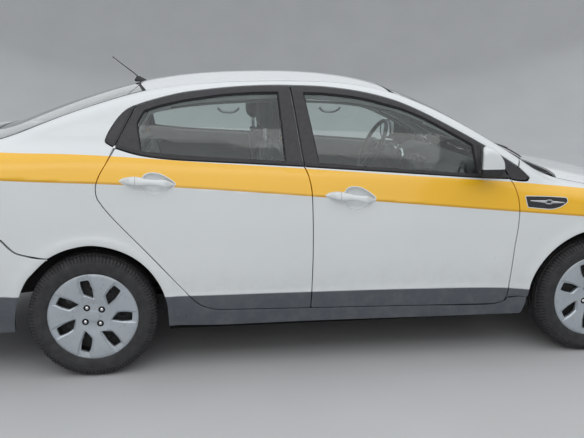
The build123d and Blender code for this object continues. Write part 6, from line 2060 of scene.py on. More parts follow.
# ------------------------------------------------------------ console, lever, handbrake, pedals
cs = []
for x, zt, hw in ((-.420, .520, .085), (-.415, .552, .092), (-.33, .562, .096), (-.20, .565, .097), (-.06, .560, .097), (.03, .545, .097), (.09, .508, .095), (.15, .490, .094), (.30, .490, .094), (.46, .500, .095), (.53, .520, .096), (.60, .585, .097), (.66, .600, .097), (.735, .600, .097)):
    q = np.array([(-hw, .405), (-hw, zt - .03), (-hw + .004, zt - .010), (-hw + .014, zt), (-hw + .03, zt + .001), (0, zt + .002), (hw - .03, zt + .001), (hw - .014, zt), (hw - .004, zt - .010), (hw, zt - .03), (hw, .405)])
    cs.append(np.stack([np.full(len(q), x), q[:, 0], q[:, 1]], 1))
solid("centre_console_moulding", loft(cs), M_TRIMGREY, "body", ["centre_console"], "black_plastic", angle=40)
gt = [np.array([(.230 + (.062 * (1 - t) + .012 * t) * math.cos(b_) * (1 + .07 * math.sin(3 * PI * t * 2)), (.05 * (1 - t) + .011 * t) * math.sin(b_) * (1 + .07 * math.sin(3 * PI * t * 2)), .488 + .062 * t ** .8) for b_ in np.arange(28) / 28 * 2 * PI]) for t in np.linspace(0, 1, 18)]
solid("gear_gaiter", loft(gt), simple("gaiter_leather", (.016, .016, .016), (.03, .03, .03), (.5, .7), 60, 300, .7, .0008), "body", [], "black_plastic", angle=60)
solid("gear_knob", revolve([(.006, -.062), (.0065, -.020), (.013, -.012), (.0195, -.002), (.0225, .008), (.0215, .017), (.0155, .0225), (.0004, .024)], (.230, 0, .598), "z", 32), M_WHEELRIM, "body", [], "black_plastic", angle=60)
hb = smooth_path([(-.02, .040, .566), (-.06, .040, .578), (-.16, .040, .600), (-.235, .040, .612)], .008)
hb = np.array(hb) * [1, 1, 1] + [.10, 0, 0]
solid("handbrake_lever", poly_tube(hb, np.interp(np.linspace(0, 1, len(hb)), [0, .25, .4, .95, 1], [.008, .009, .0135, .0145, .010]), 14), M_PLAST, "body", [], "black_plastic", angle=60)
cup_ = [revolve([(.040, .004), (.040, .0065), (.0365, .0065), (.034, .001), (.033, -.030), (.0005, -.032)], (x, 0, .500), "z", 36) for x in (.385,)]
solid("cup_holder", join(*cup_), M_PLAST, "body", [], "black_plastic", angle=30)
ped = []
for y, w_, h_, x in ((.470, .055, .050, .800), (.370, .060, .050, .790), (.290, .045, .110, .810)):
    q = rounded_rect(w_ / 2, h_ / 2, .008)
    rs = []
    for k_, dx in ((1, 0), (1, -.006), (.94, -.009), (.3, -.0095)):
        rs.append(np.stack([x + dx + q[:, 1] * k_ * .55, y + q[:, 0] * k_, .345 + q[:, 1] * k_ * .85], 1))
    ped.append(loft(rs))
    ped.append(poly_tube(smooth_path([(x + .004, y, .350), (x + .07, y, .40), (x + .10, y, .50), (x + .12, y, .62)], .02), .006, 8))
solid("pedals", join(*ped), M_PLAST, "body", [], "black_plastic", angle=40)

# ------------------------------------------------------------ mirror, visors, grab handles, lamp
mr = rounded_rect(.118, .031, .022, 6)
cm = [np.array([(.500 + dx - .0 * u, u * k_, 1.262 + v * k_) for u, v in mr]) for k_, dx in ((.90, .022), (.98, .014), (1.0, .004), (.99, -.006), (.965, -.0085))]
solid("cabin_mirror_housing", loft(cm), M_PLAST, "body", ["cabin_mirror"], "black_plastic", angle=50)
solid("cabin_mirror_glass", loft([np.array([(.500 + dx, u * k_, 1.262 + v * k_) for u, v in mr]) for k_, dx in ((.93, -.0070), (.93, -.0092), (.92, -.0096))]), M_MIRROR, "body", [], "window_glass", angle=30)
gy_ = on_glass(.505, 0, -.008)
solid("cabin_mirror_stem", poly_tube(smooth_path([(.515, 0, 1.262), (.528, 0, 1.275), tuple(gy_)], .006), [.006] * len(smooth_path([(.515, 0, 1.262), (.528, 0, 1.275), tuple(gy_)], .006)), 10), M_PLAST, "body", [], "black_plastic")
vs = []
for k_ in (-1, 1):
    q = rounded_rect(.155, .062, .02, 5)
    ctr_ = np.array([.235, k_ * .335])
    rs = []
    for s_, dd in ((.93, .041), (1, .045), (1, .052), (.93, .056)):
        uv = np.stack([ctr_[0] + q[:, 1] * s_, ctr_[1] + q[:, 0] * s_], 1)
        rs.append(off_surface("T", uv, dd))
    vs.append(loft(rs))
ob = solid("sun_visors", join(*vs), M_HEAD, "body", [], "seat_cloth", angle=50)
gh = []
for x0_ in (.02, -.50):
    L = np.array([(x0_, 1.330), (x0_ - .02, 1.322), (x0_ - .085, 1.322), (x0_ - .105, 1.330)])
    P = off_surface("S", L, np.array([.095, .118, .118, .095])[:, None])
    gh.append(poly_tube(smooth_path(P, .008), .0075, 10, flat=.7))
solid_pair("grab_handles", join(*gh), M_HEAD, "body", None, "black_plastic", angle=60)
dl = off_surface("T", rounded_rect(.045, .075, .015) + [.10, 0], .040)
solid("dome_lamp", loft([dl, off_surface("T", rounded_rect(.045, .075, .015) + [.10, 0], .048), off_surface("T", rounded_rect(.038, .066, .012) + [.10, 0], .052)]), M_LENS, "body", [], "lamp_clear", angle=40)

# ------------------------------------------------------------ door cards' fittings
for which, x0_, x1_, xh in (("front", .02, .50, .60), ("rear", -.62, -.30, -.29)):
    body = f"{which}_door_{{}}"
    secs = []
    for t in np.linspace(0, 1, 26):
        x = x0_ + (x1_ - x0_) * t
        e = math.sin(PI * min(max(t, .02), .98)) ** .35
        z0_ = .745 - .015 * t + (.02 if which == "rear" else 0)
        face = off_surface("S", [[x, z0_]], .094)[0]
        w_, h_ = .052 * e + .004, .052 * e
        q = np.array([(0, -h_), (-w_ * .6, -h_ * .8), (-w_, -h_ * .1), (-w_ * .98, h_ * .35), (-w_ * .8, h_ * .52), (-w_ * .3, h_ * .55), (0, h_ * .55)])
        secs.append(np.stack([np.full(7, x), face[1] + q[:, 0], z0_ + q[:, 1]], 1))
    arm = solid_pair(f"{which}_door_armrest", loft(secs), M_TRIMGREY, body, None, "black_plastic", angle=50)
    # pull, opener, speaker, crank; the cloth inserts are laid further down
    sx = .60 if which == "front" else -.36
    spc = off_surface("S", [[sx, .470]], .0965)[0]
    solid_pair(f"{which}_door_speaker", revolve([(.082, -.002), (.082, .006), (.077, .009), (.072, .006), (.068, .0035), (.045, .007), (.0005, .009)], tuple(spc), "y", 44, -1), M_PLAST, body, None, "black_plastic", angle=30)
    hx, hz = (.585, .862) if which == "front" else (-.300, .905)
    hc = off_surface("S", [[hx, hz]], .0965)[0]
    q = rounded_rect(.060, .024, .018)
    rs = [np.stack([hc[0] + q[:, 0] * k_, np.full(len(q), hc[1] - dy), hc[2] + q[:, 1] * k_], 1) for k_, dy in ((1, -.002), (1, .003), (.93, .005), (.88, .001), (.85, -.004))]
    solid_pair(f"{which}_door_opener_cup", loft(rs), M_PLAST, body, None, "black_plastic", angle=40)
    lv = smooth_path([(hc[0] + .040, hc[1] - .002, hc[2]), (hc[0] + .020, hc[1] - .010, hc[2]), (hc[0] - .028, hc[1] - .013, hc[2]), (hc[0] - .045, hc[1] - .010, hc[2])], .006)
    solid_pair(f"{which}_door_opener", poly_tube(lv, .0065, 10, flat=.55), M_CHROME_DARK, body, None, "steel_bare", angle=60)
    if which == "rear":
        cc = off_surface("S", [[-.50, .700]], .0965)[0]
        g_ = [revolve([(.017, -.002), (.017, .012), (.013, .016), (.0004, .017)], tuple(cc), "y", 24, -1), poly_tube(smooth_path([cc + [0, -.014, 0], cc + [.05, -.022, .02], cc + [.085, -.026, .035]], .01), .006, 8), revolve([(.009, 0), (.011, .012), (.010, .026), (.0004, .030)], tuple(cc + [.088, -.026, .036]), "y", 18, -1)]
        solid_pair("rear_door_winder", join(*g_), M_PLAST, body, None, "black_plastic", angle=50)
    else:
        pk = ring_of("S", [S(120, 330, 20), S(700, 325, 30), S(690, 415, 30), S(130, 425, 20)])
        pair("front_door_pocket", sheet(inner_S(.125), pk, gap=0, lipdepth=.030, roll=.006, h=.03), M_TRIMGREY, body, None, "black_plastic")

# ------------------------------------------------------------ underbody and engine bay: finishes for the nodes that stay, and fittings
def give(nodes, mat):
    for nm in nodes:
        ob = frame["nodes"][nm]
        ob.data.materials.clear()
        ob.data.materials.append(mat)


M_EXH = simple("exhaust_steel", (.16, .135, .11), (.30, .28, .26), (.45, .75), 9, 80, .4, .0008, metallic=.8)
give(["floor_pan"], M_UNDER)
give(["wheelhouse_liners"], M_PLAST)
give(["drive_shafts", "front_subframe", "rear_axle_beam"], simple("chassis_black", (.02, .02, .02), (.06, .052, .045), (.5, .8), 10, 90, .6, .001))
give(["steering_rack", "knuckle_left", "knuckle_right"], M_CAST)
give(["exhaust"], M_EXH)
give(["fuel_tank"], simple("tank_plastic", (.02, .02, .021), (.035, .035, .036), (.5, .7), 7, 200, .5, .001))
give(["engine_block"], M_CAST)
give(["parcel_shelf"], M_SHELF)
give(["rear_dampers"], M_PLAST)

# springs wound from wire
def coil_geo(c, r, z0_, z1_, turns, wire, n_=16):
    t = np.linspace(0, 1, int(turns * 22))
    P = np.stack([c[0] + r * np.cos(t * turns * 2 * PI), c[1] + r * np.sin(t * turns * 2 * PI), z0_ + (z1_ - z0_) * (t + .0)], 1)
    return poly_tube(P, wire, 8)


lo_s, hi_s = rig.box("rear_springs")
solid_pair("rear_coil_spring", join(coil_geo((-1.085, .480), .043, .350, .453, 4.2, .0058), revolve([(.047, 0), (.047, .004), (.030, .006), (.0005, .006)], (-1.085, .480, .345), "z", 28)), simple("spring_paint", (.03, .032, .04), (.06, .06, .07), (.4, .6), 30, 300, .4, .0005), "body", ["rear_springs"], "steel_coated", angle=50)
# radiator with its fins and tanks
rf = [box_geo((1.865, 0, .495), (.018, .60, .330))]
rad = solid("radiator_core", join(*rf), simple("radiator_core_fins", (.05, .05, .052), (.16, .16, .165), (.4, .6), 30, 500, .8, .001, metallic=.6, stretch=(1, .1, 14)), "body", ["radiator"], "cast_metal", bevel=.003)
fins = []
for i in range(26):
    z = .338 + i * .0126
    fins.append(box_geo((1.8735, 0, z), (.004, .59, .0024)))
solid("radiator_fins", join(*fins), M_STEEL, "body", [], "cast_metal", angle=20)
solid("radiator_tanks", join(box_geo((1.865, .315, .495), (.030, .050, .375)), box_geo((1.865, -.315, .495), (.030, .050, .375)), box_geo((1.865, 0, .675), (.026, .66, .022)), box_geo((1.865, 0, .314), (.026, .66, .022))), M_PLAST, "body", [], "black_plastic", bevel=.006)

eng = []
ec = ring_of("T", [("uv", 1.225, -.23, .03), ("uv", 1.225, .20, .03), ("uv", 1.520, .20, .05), ("uv", 1.545, .05, .03), ("uv", 1.545, -.14, .03), ("uv", 1.500, -.23, .04)], .012)
rs = [np.stack([grow(ec, g_)[:, 0], grow(ec, g_)[:, 1], np.full(len(ec), z_)], 1) for g_, z_ in ((0, .786), (0, .806), (-.004, .812), (-.012, .8155), (-.030, .817), (-.034, .812), (-.046, .812), (-.050, .817), (-.11, .819))]
solid("engine_cover", loft(rs), M_PLAST, "body", [], "black_plastic", angle=35)
rib = [poly_tube(np.array([(1.29 + i * .045, -.13, .819), (1.29 + i * .045, .10, .819)]), .004, 8) for i in range(5)]
solid("engine_cover_ribs", join(*rib), M_PLAST, "body", [], "black_plastic", angle=60)
solid("oil_filler_cap", join(revolve([(.0004, .028), (.018, .028), (.024, .024), (.025, .008), (.020, 0), (.020, -.02)], (1.36, -.29, .79), "z", 28), box_geo((1.36, -.29, .822), (.040, .010, .012))), M_PLAST, "body", [], "black_plastic", angle=40)
bat = join(box_geo((1.365, .395, .665), (.175, .115, .150)))
solid("battery", (bat[0], bat[1]), simple("battery_case", (.02, .02, .022), (.04, .04, .042), (.4, .6), 30, 300, .3, .0005), "body", [], "black_plastic", bevel=.006)
solid("battery_posts", join(revolve([(.0004, .016), (.008, .016), (.009, 0), (.014, -.001), (.014, -.006)], (1.31, .395, .746), "z", 18), revolve([(.0004, .016), (.008, .016), (.009, 0), (.014, -.001), (.014, -.006)], (1.42, .395, .746), "z", 18)), M_STEEL, "body", [], "steel_bare", angle=40)
ab = ring_of("T", [("uv", 1.56, .10, .03), ("uv", 1.56, .33, .03), ("uv", 1.76, .33, .04), ("uv", 1.76, .12, .03)], .012)
rs = [np.stack([grow(ab, g_)[:, 0], grow(ab, g_)[:, 1], np.full(len(ab), z_)], 1) for g_, z_ in ((-.01, .60), (0, .62), (0, .718), (.006, .721), (.006, .729), (-.004, .745), (-.030, .752), (-.08, .752))]
solid("air_filter_box", loft(rs), M_PLAST, "body", [], "black_plastic", angle=35)
hose = smooth_path([(1.57, .215, .70), (1.52, .23, .76), (1.47, .225, .80), (1.40, .215, .80)], .006)
solid("intake_hose", poly_tube(hose, .030 + .003 * np.sign(np.sin(np.arange(len(hose)) * 2.1)), 18), M_RUBBER, "body", [], "black_plastic", angle=60)
solid("coolant_hose", poly_tube(smooth_path([(1.70, -.20, .70), (1.77, -.21, .715), (1.82, -.24, .69), (1.85, -.26, .66)], .008), .018, 14), M_RUBBER, "body", [], "black_plastic", angle=60)
bt = ring_of("T", [("uv", 1.50, -.45, .02), ("uv", 1.50, -.385, .02), ("uv", 1.66, -.385, .02), ("uv", 1.66, -.45, .02)], .01)
rs = [np.stack([grow(bt, g_)[:, 0], grow(bt, g_)[:, 1], np.full(len(bt), z_)], 1) for g_, z_ in ((-.006, .62), (0, .63), (0, .74), (-.006, .758), (-.018, .764))]
solid("coolant_bottle", join(loft(rs), revolve([(.0004, .024), (.018, .024), (.020, .020), (.020, 0)], (1.62, -.418, .758), "z", 24)), simple("bottle_plastic", (.55, .55, .50), (.66, .66, .60), (.3, .5), 12, 200, .2, .0005), "body", [], "black_plastic", angle=35)
sb = [revolve([(.0004, .012), (.016, .012), (.022, .006), (.048, .004), (.056, 0), (.058, -.008)], (1.322, .575, .832), "z", 36)]
for a_ in (90, 210, 330):
    sb.append(revolve([(.0004, .010), (.006, .010), (.0065, 0)], (1.322 + .040 * math.cos(math.radians(a_)), .575 + .040 * math.sin(math.radians(a_)), .836), "z", 6))
solid_pair("strut_top_mount", join(*sb), M_STEEL, "body", None, "steel_bare", angle=35)
cp = np.array([(1.885, y, .700 - .02 * (y / .6) ** 2) for y in np.linspace(-.66, .66, 40)])
solid("lamp_crossmember", join(*[loft([np.array([(x_ + dx_ - .10 * abs(p[1] / .66) ** 3 * 1.6, p[1], p[2] + dz_) for dx_, dz_ in ((-.022, -.030), (.022, -.030), (.024, .004), (.010, .008), (-.022, .008))]) for p in cp for x_ in (p[0] + .02,)])]), M_WHITE, "body", [], "paint", angle=35)
solid("bonnet_catch", join(box_geo((1.925, 0, .712), (.040, .070, .016)), poly_tube(np.array([(1.930, -.018, .716), (1.930, -.018, .728), (1.930, .018, .728), (1.930, .018, .716)]), .003, 8)), M_STEEL, "body", [], "steel_bare", bevel=.002)
# inner edges of the bay beside the bonnet opening
ie = []
xs = np.linspace(1.05, 1.72, 40)
yo = np.interp(xs, [1.05, 1.078, 1.4, 1.6, 1.72], [.690, .695, .728, .715, .690])
P = lift("T", np.stack([xs, yo - .004], 1))
secs_ = [P + [0, 0, -.012], P + [0, -.004, -.026], P + [0, -.030, -.030], P + [0, -.034, -.075], P + [0, -.050, -.115]]
V = np.vstack(secs_)
F_ = [(i * 40 + j, i * 40 + j + 1, (i + 1) * 40 + j + 1, (i + 1) * 40 + j) for i in range(4) for j in range(39)]
pair("bay_side_channel", (V, F_), M_WHITE, "body", None, "paint")

# ------------------------------------------------------------ bonnet and lid undersides, hinges
bi = grow(R_BONNET, -.022)
cut = [poly_round(np.array(q), .03, .01) for q in ([(1.25, .12), (1.27, .50), (1.62, .50), (1.72, .12)], [(1.25, -.12), (1.72, -.12), (1.62, -.50), (1.27, -.50)], [(1.78, .10), (1.72, .40), (1.88, .36), (1.94, .10)], [(1.78, -.10), (1.94, -.10), (1.88, -.36), (1.72, -.40)])]
cut = [c if area2(c) > 0 else c[::-1] for c in cut]
single("bonnet_inner_frame", sheet(inner_T(.024), bi, cut, gap=0, hole_gap=0, lipdepth=.012, hole_lip=.014, roll=.005, h=.03), M_WHITE, "bonnet", [], "paint")
single("bonnet_lining", sheet(inner_T(.010), grow(R_BONNET, -.016), gap=0, lipdepth=.004, roll=.002, h=.05), M_PLAST, "bonnet", [], "black_plastic")
hg = []
for k_ in (-1, 1):
    hg.append(poly_tube(smooth_path([(1.022, k_ * .645, .935), (1.050, k_ * .642, .908), (1.110, k_ * .636, .888), (1.175, k_ * .628, .884), (1.225, k_ * .618, .900)], .01), .008, 8, flat=.6))
    hg.append(revolve([(.0, -.012), (.012, -.012), (.012, .012), (.0, .012)], (1.022, k_ * .645, .935), "y", 20))
solid("bonnet_hinge_arms", join(*hg), M_PLAST, "bonnet", [], "black_plastic", angle=60)
li = grow(R_LID, -.024)
single("boot_lid_inner", sheet(lambda uv, d: off_surface("L", uv, .022 - d), li, gap=0, lipdepth=.018, roll=.006, h=.03), M_WHITE, "boot_lid", [], "paint")
GN = np.array([(0, 0), (-20, -350), (-160, -318), (-285, -225), (-345, -90), (-360, 26)]) / 1000 + [-1.480, 1.078]
gn = smooth_path(GN, .012)
gn[-1] = GN[-1]
for k_ in (-1, 1):
    P = np.stack([gn[:, 0], np.full(len(gn), k_ * .530), gn[:, 1]], 1)
    P = P[P[:, 2] < 1.118]
    solid("boot_lid_arm_" + ("left" if k_ > 0 else "right"), poly_tube(P, .0105, 12), M_WHITE, "boot_lid", [], "paint", angle=60)
ls = off_surface("L", grow(R_LID, -.030), .026)
solid("boot_opening_seal", poly_tube(np.vstack([ls, ls[:1]]) * [1, 1, 1], .006, 8, False), M_RUBBER, "body", [], "black_plastic", angle=60)
# the gutter round the boot opening
bo = grow(R_LID, .004)
rs = [off_surface("L", bo, .012), off_surface("L", grow(R_LID, .002), .030), off_surface("L", grow(R_LID, -.020), .033), off_surface("L", grow(R_LID, -.034), .034), off_surface("L", grow(R_LID, -.040), .060)]
gv, gf = loft(rs, caps=False)
single("boot_gutter", (gv, gf), M_WHITE, "body", [], "paint")
# lining of the boot
solid("boot_back_trim", loft([np.array([(x_, y_, z_) for y_ in np.linspace(-.53, .53, 30)]) for x_, z_ in ((-2.075, .470), (-2.078, .60), (-2.082, .72), (-2.088, .765), (-2.100, .772))], caps=False, closed=False), M_SHELF, "body", [], "black_plastic", angle=60)


# ------------------------------------------------------------ seats
def weave(name, c0, c1, size=420, rough=(.82, .95)):
    """Woven cloth: two crossed sets of threads in relief with a little colour change between them."""
    m, nt, b = new_mat(name)
    co = coords(nt)
    wv = []
    for k_, (rx, ry, rz) in enumerate(((.3, .2, PI / 4), (.2, .3, -PI / 4))):
        mp = nt.nodes.new("ShaderNodeMapping")
        mp.inputs["Rotation"].default_value = (rx, ry, rz)
        nt.links.new(co, mp.inputs["Vector"])
        w_ = nt.nodes.new("ShaderNodeTexWave")
        w_.inputs["Scale"].default_value = size
        w_.inputs["Distortion"].default_value = .6
        w_.inputs["Detail"].default_value = 1
        nt.links.new(mp.outputs[0], w_.inputs["Vector"])
        wv.append(w_.outputs["Fac"])
    h = math_node(nt, "MULTIPLY", wv[0], wv[1])
    n = noise(nt, 9, 4, .6, co)
    f_ = math_node(nt, "ADD", math_node(nt, "MULTIPLY", h, .5), math_node(nt, "MULTIPLY", n, .5))
    nt.links.new(mix(nt, f_, c0, c1), b.inputs["Base Color"])
    b.inputs["Roughness"].default_value = rough[0]
    b.inputs["Sheen Weight"].default_value = .35
    b.inputs["Sheen Roughness"].default_value = .5
    bump(nt, b, h, .5, .0008)
    return m


M_CLOTH = weave("seat_cloth_plain", (.022, .022, .025), (.042, .042, .047))
M_CLOTH2 = weave("seat_cloth_centre", (.040, .041, .046), (.075, .077, .084), 300)
M_PIPE = simple("seat_piping", (.012, .012, .013), (.022, .022, .024), (.6, .8), 60, 500, .4, .0005)
M_BELT = simple("belt_webbing", (.035, .036, .038), (.06, .06, .064), (.7, .85), 50, 600, .7, .0006, stretch=(1, 1, 8))


def swell(name, geo, voxel, cap, pinned, seams=(), groove=.004, frames=20, pressure=4.0):
    """A stuffed cover: the shape is remeshed, blown up a little with its sewn lines held, then subdivided once.
    seams is a list of functions of the points that give the distance to a sewn line."""
    tmp = mesh_object(name + "_blank", geo[0], geo[1], [M_CLOTH], True)
    fix_normals(tmp)
    rm = tmp.modifiers.new("remesh", "REMESH")
    rm.mode, rm.voxel_size = "VOXEL", voxel
    dg = bpy.context.evaluated_depsgraph_get()
    me = bpy.data.meshes.new_from_object(tmp.evaluated_get(dg))
    bpy.data.objects.remove(tmp)
    ob = bpy.data.objects.new(name, me)
    SCN.collection.objects.link(ob)
    co = np.empty(len(me.vertices) * 3)
    me.vertices.foreach_get("co", co)
    co = co.reshape(-1, 3)
    near = np.full(len(co), 9.)
    for s_ in seams:
        near = np.minimum(near, s_(co))
    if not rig.quick():
        vg = ob.vertex_groups.new(name="held")
        hold = np.where(pinned(co) | (near < voxel * .62))[0]
        vg.add([int(i) for i in hold], 1.0, "REPLACE")
        cl = ob.modifiers.new("cloth", "CLOTH")
        st_ = cl.settings
        st_.quality, st_.mass = 4, .35
        st_.tension_stiffness = st_.compression_stiffness = 12
        st_.shear_stiffness, st_.bending_stiffness = 6, 3
        st_.use_pressure, st_.uniform_pressure_force = True, pressure
        st_.vertex_group_mass = "held"
        st_.effector_weights.gravity = 0
        cl.point_cache.frame_start, cl.point_cache.frame_end = 1, frames
        for f_ in range(1, frames + 1):
            SCN.frame_set(f_)
        dg = bpy.context.evaluated_depsgraph_get()
        ev = ob.evaluated_get(dg)
        me2 = bpy.data.meshes.new_from_object(ev)
        ob.modifiers.remove(cl)
        ob.data = me2
        ob.vertex_groups.clear()
        new = np.empty(len(me2.vertices) * 3)
        me2.vertices.foreach_get("co", new)
        new = new.reshape(-1, 3)
        d = new - co
        L = np.linalg.norm(d, axis=1)
        new = co + d * np.minimum(1, cap / np.maximum(L, 1e-9))[:, None]
        me2.vertices.foreach_set("co", new.ravel())
        me2.update()
        SCN.frame_set(1)
    sub = ob.modifiers.new("smooth", "SUBSURF")
    sub.levels = sub.render_levels = 1
    dg = bpy.context.evaluated_depsgraph_get()
    me3 = bpy.data.meshes.new_from_object(ob.evaluated_get(dg))
    ob.modifiers.remove(sub)
    ob.data = me3
    co3 = np.empty(len(me3.vertices) * 3)
    me3.vertices.foreach_get("co", co3)
    co3 = co3.reshape(-1, 3)
    nr = np.empty(len(me3.vertices) * 3)
    me3.vertices.foreach_get("normal", nr)
    nr = nr.reshape(-1, 3)
    for s_ in seams:                       # sewn channels, pressed in along the lines
        co3 = co3 - nr * (groove * np.exp(-(s_(co3) / .006) ** 2))[:, None]
    me3.vertices.foreach_set("co", co3.ravel())
    me3.update()
    return ob


def take(ob):
    me = ob.data
    V_ = np.empty(len(me.vertices) * 3)
    me.vertices.foreach_get("co", V_)
    F__ = [tuple(p.vertices) for p in me.polygons]
    bpy.data.objects.remove(ob)
    return V_.reshape(-1, 3), F__


def cushion_piece(name, V, F_, centre_test, body="body", replaces=(), fill=.7):
    ob = mesh_object(name, V, F_, [M_CLOTH, M_CLOTH2], True)
    cen = np.array([V[list(f)].mean(0) for f in F_])
    ob.data.polygons.foreach_set("material_index", centre_test(cen).astype(np.int32))
    add_piece(ob, body, list(replaces), "seat_cloth")
    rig.padded(ob, fill)
    return ob


def lay_on(geo, line, r=.0019, lift_=.0003, closed=False, step=.008):
    """A bead of piping along a line, laid on a surface."""
    t = BVHTree.FromPolygons([tuple(v) for v in geo[0]], geo[1])
    P = smooth_path(line, step)
    out = []
    for p in P:
        hit = t.find_nearest(Vector(p))
        out.append(np.array(hit[0]) + np.array(hit[1]) * lift_)
    return poly_tube(np.array(out), r, 7)


# front seat, made once about y = 0 and set at both sides
def seat_section(w, z0_, ztop, n_=26):
    s_ = np.linspace(-1, 1, n_)
    top_ = np.stack([-s_ * w, ztop(-s_ * w)], 1)
    return np.vstack([[(-w + .012, z0_), (w - .012, z0_), (w - .002, z0_ + .010)], top_, [(-w + .002, z0_ + .010)]])


SC = []
for x in np.concatenate([[-.232, -.228], np.linspace(-.215, .245, 22), [.256, .263, .266]]):
    fr = max(0, (x - .215) / .052)
    drop = .050 * (1 - math.sqrt(max(0, 1 - fr ** 2)))
    rise = .030 * fr ** 2
    w_ = .222 + .010 * sstep(-.2, .1, x) - .012 * fr ** 3
    bol = .022 + .010 * sstep(.15, -.15, x)

    def zt(y, x=x, drop=drop, w_=w_, bol=bol):
        a_ = np.abs(y)
        e = np.clip((a_ - (w_ - .035)) / .035, 0, 1)
        return .452 + .012 * sstep(-.1, .2, x) - drop + bol * (1 - drop / .06) * np.exp(-((a_ - .183) / .042) ** 2) - .030 * (1 - np.sqrt(1 - .96 * e ** 2))
    sec = seat_section(w_, .404 + rise, zt)
    SC.append(np.stack([np.full(len(sec), x), sec[:, 0], sec[:, 1]], 1))
cush = loft(SC)
C_LINES = (.085, -.055)


def up_face(P, z_):
    return np.where(P[:, 2] > z_, 0, .05)


cs_seams = [lambda P: np.abs(np.abs(P[:, 1]) - .138) + up_face(P, .435)]
cs_seams += [lambda P, xs=xs: np.abs(P[:, 0] - xs) + up_face(P, .435) + np.maximum(0, np.abs(P[:, 1]) - .138) for xs in C_LINES]
g_c = take(swell("front_cushion", cush, .010, .022, lambda P: P[:, 2] < .413, cs_seams))

# backrest: rings up the back, in the plane across it
B_MID = np.array([(-.222, .462), (-.232, .56), (-.252, .68), (-.276, .82), (-.304, .96), (-.327, 1.05), (-.339, 1.098)])
B_W = np.interp
bt_ = np.concatenate([[0, .006], np.linspace(.03, .955, 26), [.985, .996, 1]])
bs_ = np.concatenate([[0], np.cumsum(np.linalg.norm(np.diff(B_MID, axis=0), axis=1))]) / np.linalg.norm(np.diff(B_MID, axis=0), axis=1).sum()
SB = []
for t in bt_:
    c = np.array([np.interp(t, bs_, B_MID[:, 0]), np.interp(t, bs_, B_MID[:, 1])])
    dd = np.array([np.interp(min(t + .02, 1), bs_, B_MID[:, k_]) - np.interp(max(t - .02, 0), bs_, B_MID[:, k_]) for k_ in (0, 1)])
    dd /= np.linalg.norm(dd)
    nn = np.array([dd[1], -dd[0]])              # towards the front
    edge_ = max(0, (t - .90) / .10)
    low_ = max(0, (.05 - t) / .05)
    w_ = np.interp(t, [0, .2, .55, .8, .92, 1], [.205, .222, .226, .208, .186, .150]) * (1 - .06 * low_ ** 2)
    th_ = np.interp(t, [0, .15, .5, .85, 1], [.040, .048, .046, .040, .024]) * math.sqrt(max(.05, 1 - .8 * edge_ ** 2 - .25 * low_ ** 2))
    s_ = np.linspace(-1, 1, 27)
    yy = s_ * w_
    bolf = .028 * math.exp(-((t - .38) / .34) ** 2) + .004
    e = np.clip((np.abs(s_) - .86) / .14, 0, 1)
    f_ = th_ * np.sqrt(1 - .96 * e ** 2) + bolf * np.exp(-((np.abs(yy) - .178) / .036) ** 2) + .006 * math.exp(-((t - .28) / .16) ** 2)
    r_ = -th_ * .92 * np.sqrt(1 - .96 * e ** 2)
    ring = np.vstack([np.stack([yy, f_], 1), np.stack([yy[::-1], r_[::-1]], 1)])
    crown = .022 * sstep(.80, 1, t) * (1 - (ring[:, 0] / w_) ** 2)
    SB.append(np.stack([c[0] + nn[0] * ring[:, 1] - .2 * crown, ring[:, 0], c[1] + nn[1] * ring[:, 1] + crown], 1))
back = loft(SB)


def back_front(P):
    """0 on the front face of the backrest, large behind."""
    mx = np.interp(P[:, 2], B_MID[:, 1], B_MID[:, 0])
    return np.where(P[:, 0] > mx + .012, 0, .05)


bk_seams = [lambda P: np.abs(np.abs(P[:, 1]) - np.interp(P[:, 2], [.47, .9, 1.0], [.130, .136, .128])) + back_front(P) + np.maximum(0, P[:, 2] - 1.01) + np.maximum(0, .50 - P[:, 2])]
bk_seams += [lambda P, zs=zs: np.abs(P[:, 2] - zs) + back_front(P) + np.maximum(0, np.abs(P[:, 1]) - .133) for zs in (.615, .74, .865, 1.01)]
bk_seams += [lambda P: np.abs(P[:, 0] - np.interp(P[:, 2], B_MID[:, 1], B_MID[:, 0]) - .006) + np.where(np.abs(P[:, 1]) > .14, 0, .05) + np.maximum(0, P[:, 2] - 1.04)]
g_b = take(swell("front_backrest", back, .0105, .024, lambda P: P[:, 2] < .470, bk_seams))

# head restraint
SH = []
for t in np.concatenate([[0, .02], np.linspace(.06, .94, 12), [.98, 1]]):
    z_ = 1.168 + .158 * t
    e = abs(2 * t - 1)
    k_ = math.sqrt(max(.06, 1 - e ** 5))
    c = -.352 + .004 * t
    q = rounded_rect(.118 * (.86 + .14 * k_) - .01 * (1 - t), .037 * k_, .034 * k_, 6)
    q[:, 1] = q[:, 1] - .010 * (q[:, 0] / .118) ** 2 * np.sign(1)
    SH.append(np.stack([c + q[:, 1], q[:, 0], np.full(len(q), z_)], 1))
hd = loft(SH)
hd_seams = [lambda P: np.abs(np.abs(P[:, 1]) - .088) + np.where(P[:, 0] > -.36, 0, .05)]
g_h = take(swell("head_restraint", hd, .0085, .016, lambda P: P[:, 2] < 1.172, hd_seams, groove=.003))

YS = .365


def at_y(geo, y):
    V, F_ = geo
    return V + [0, y, 0], F_


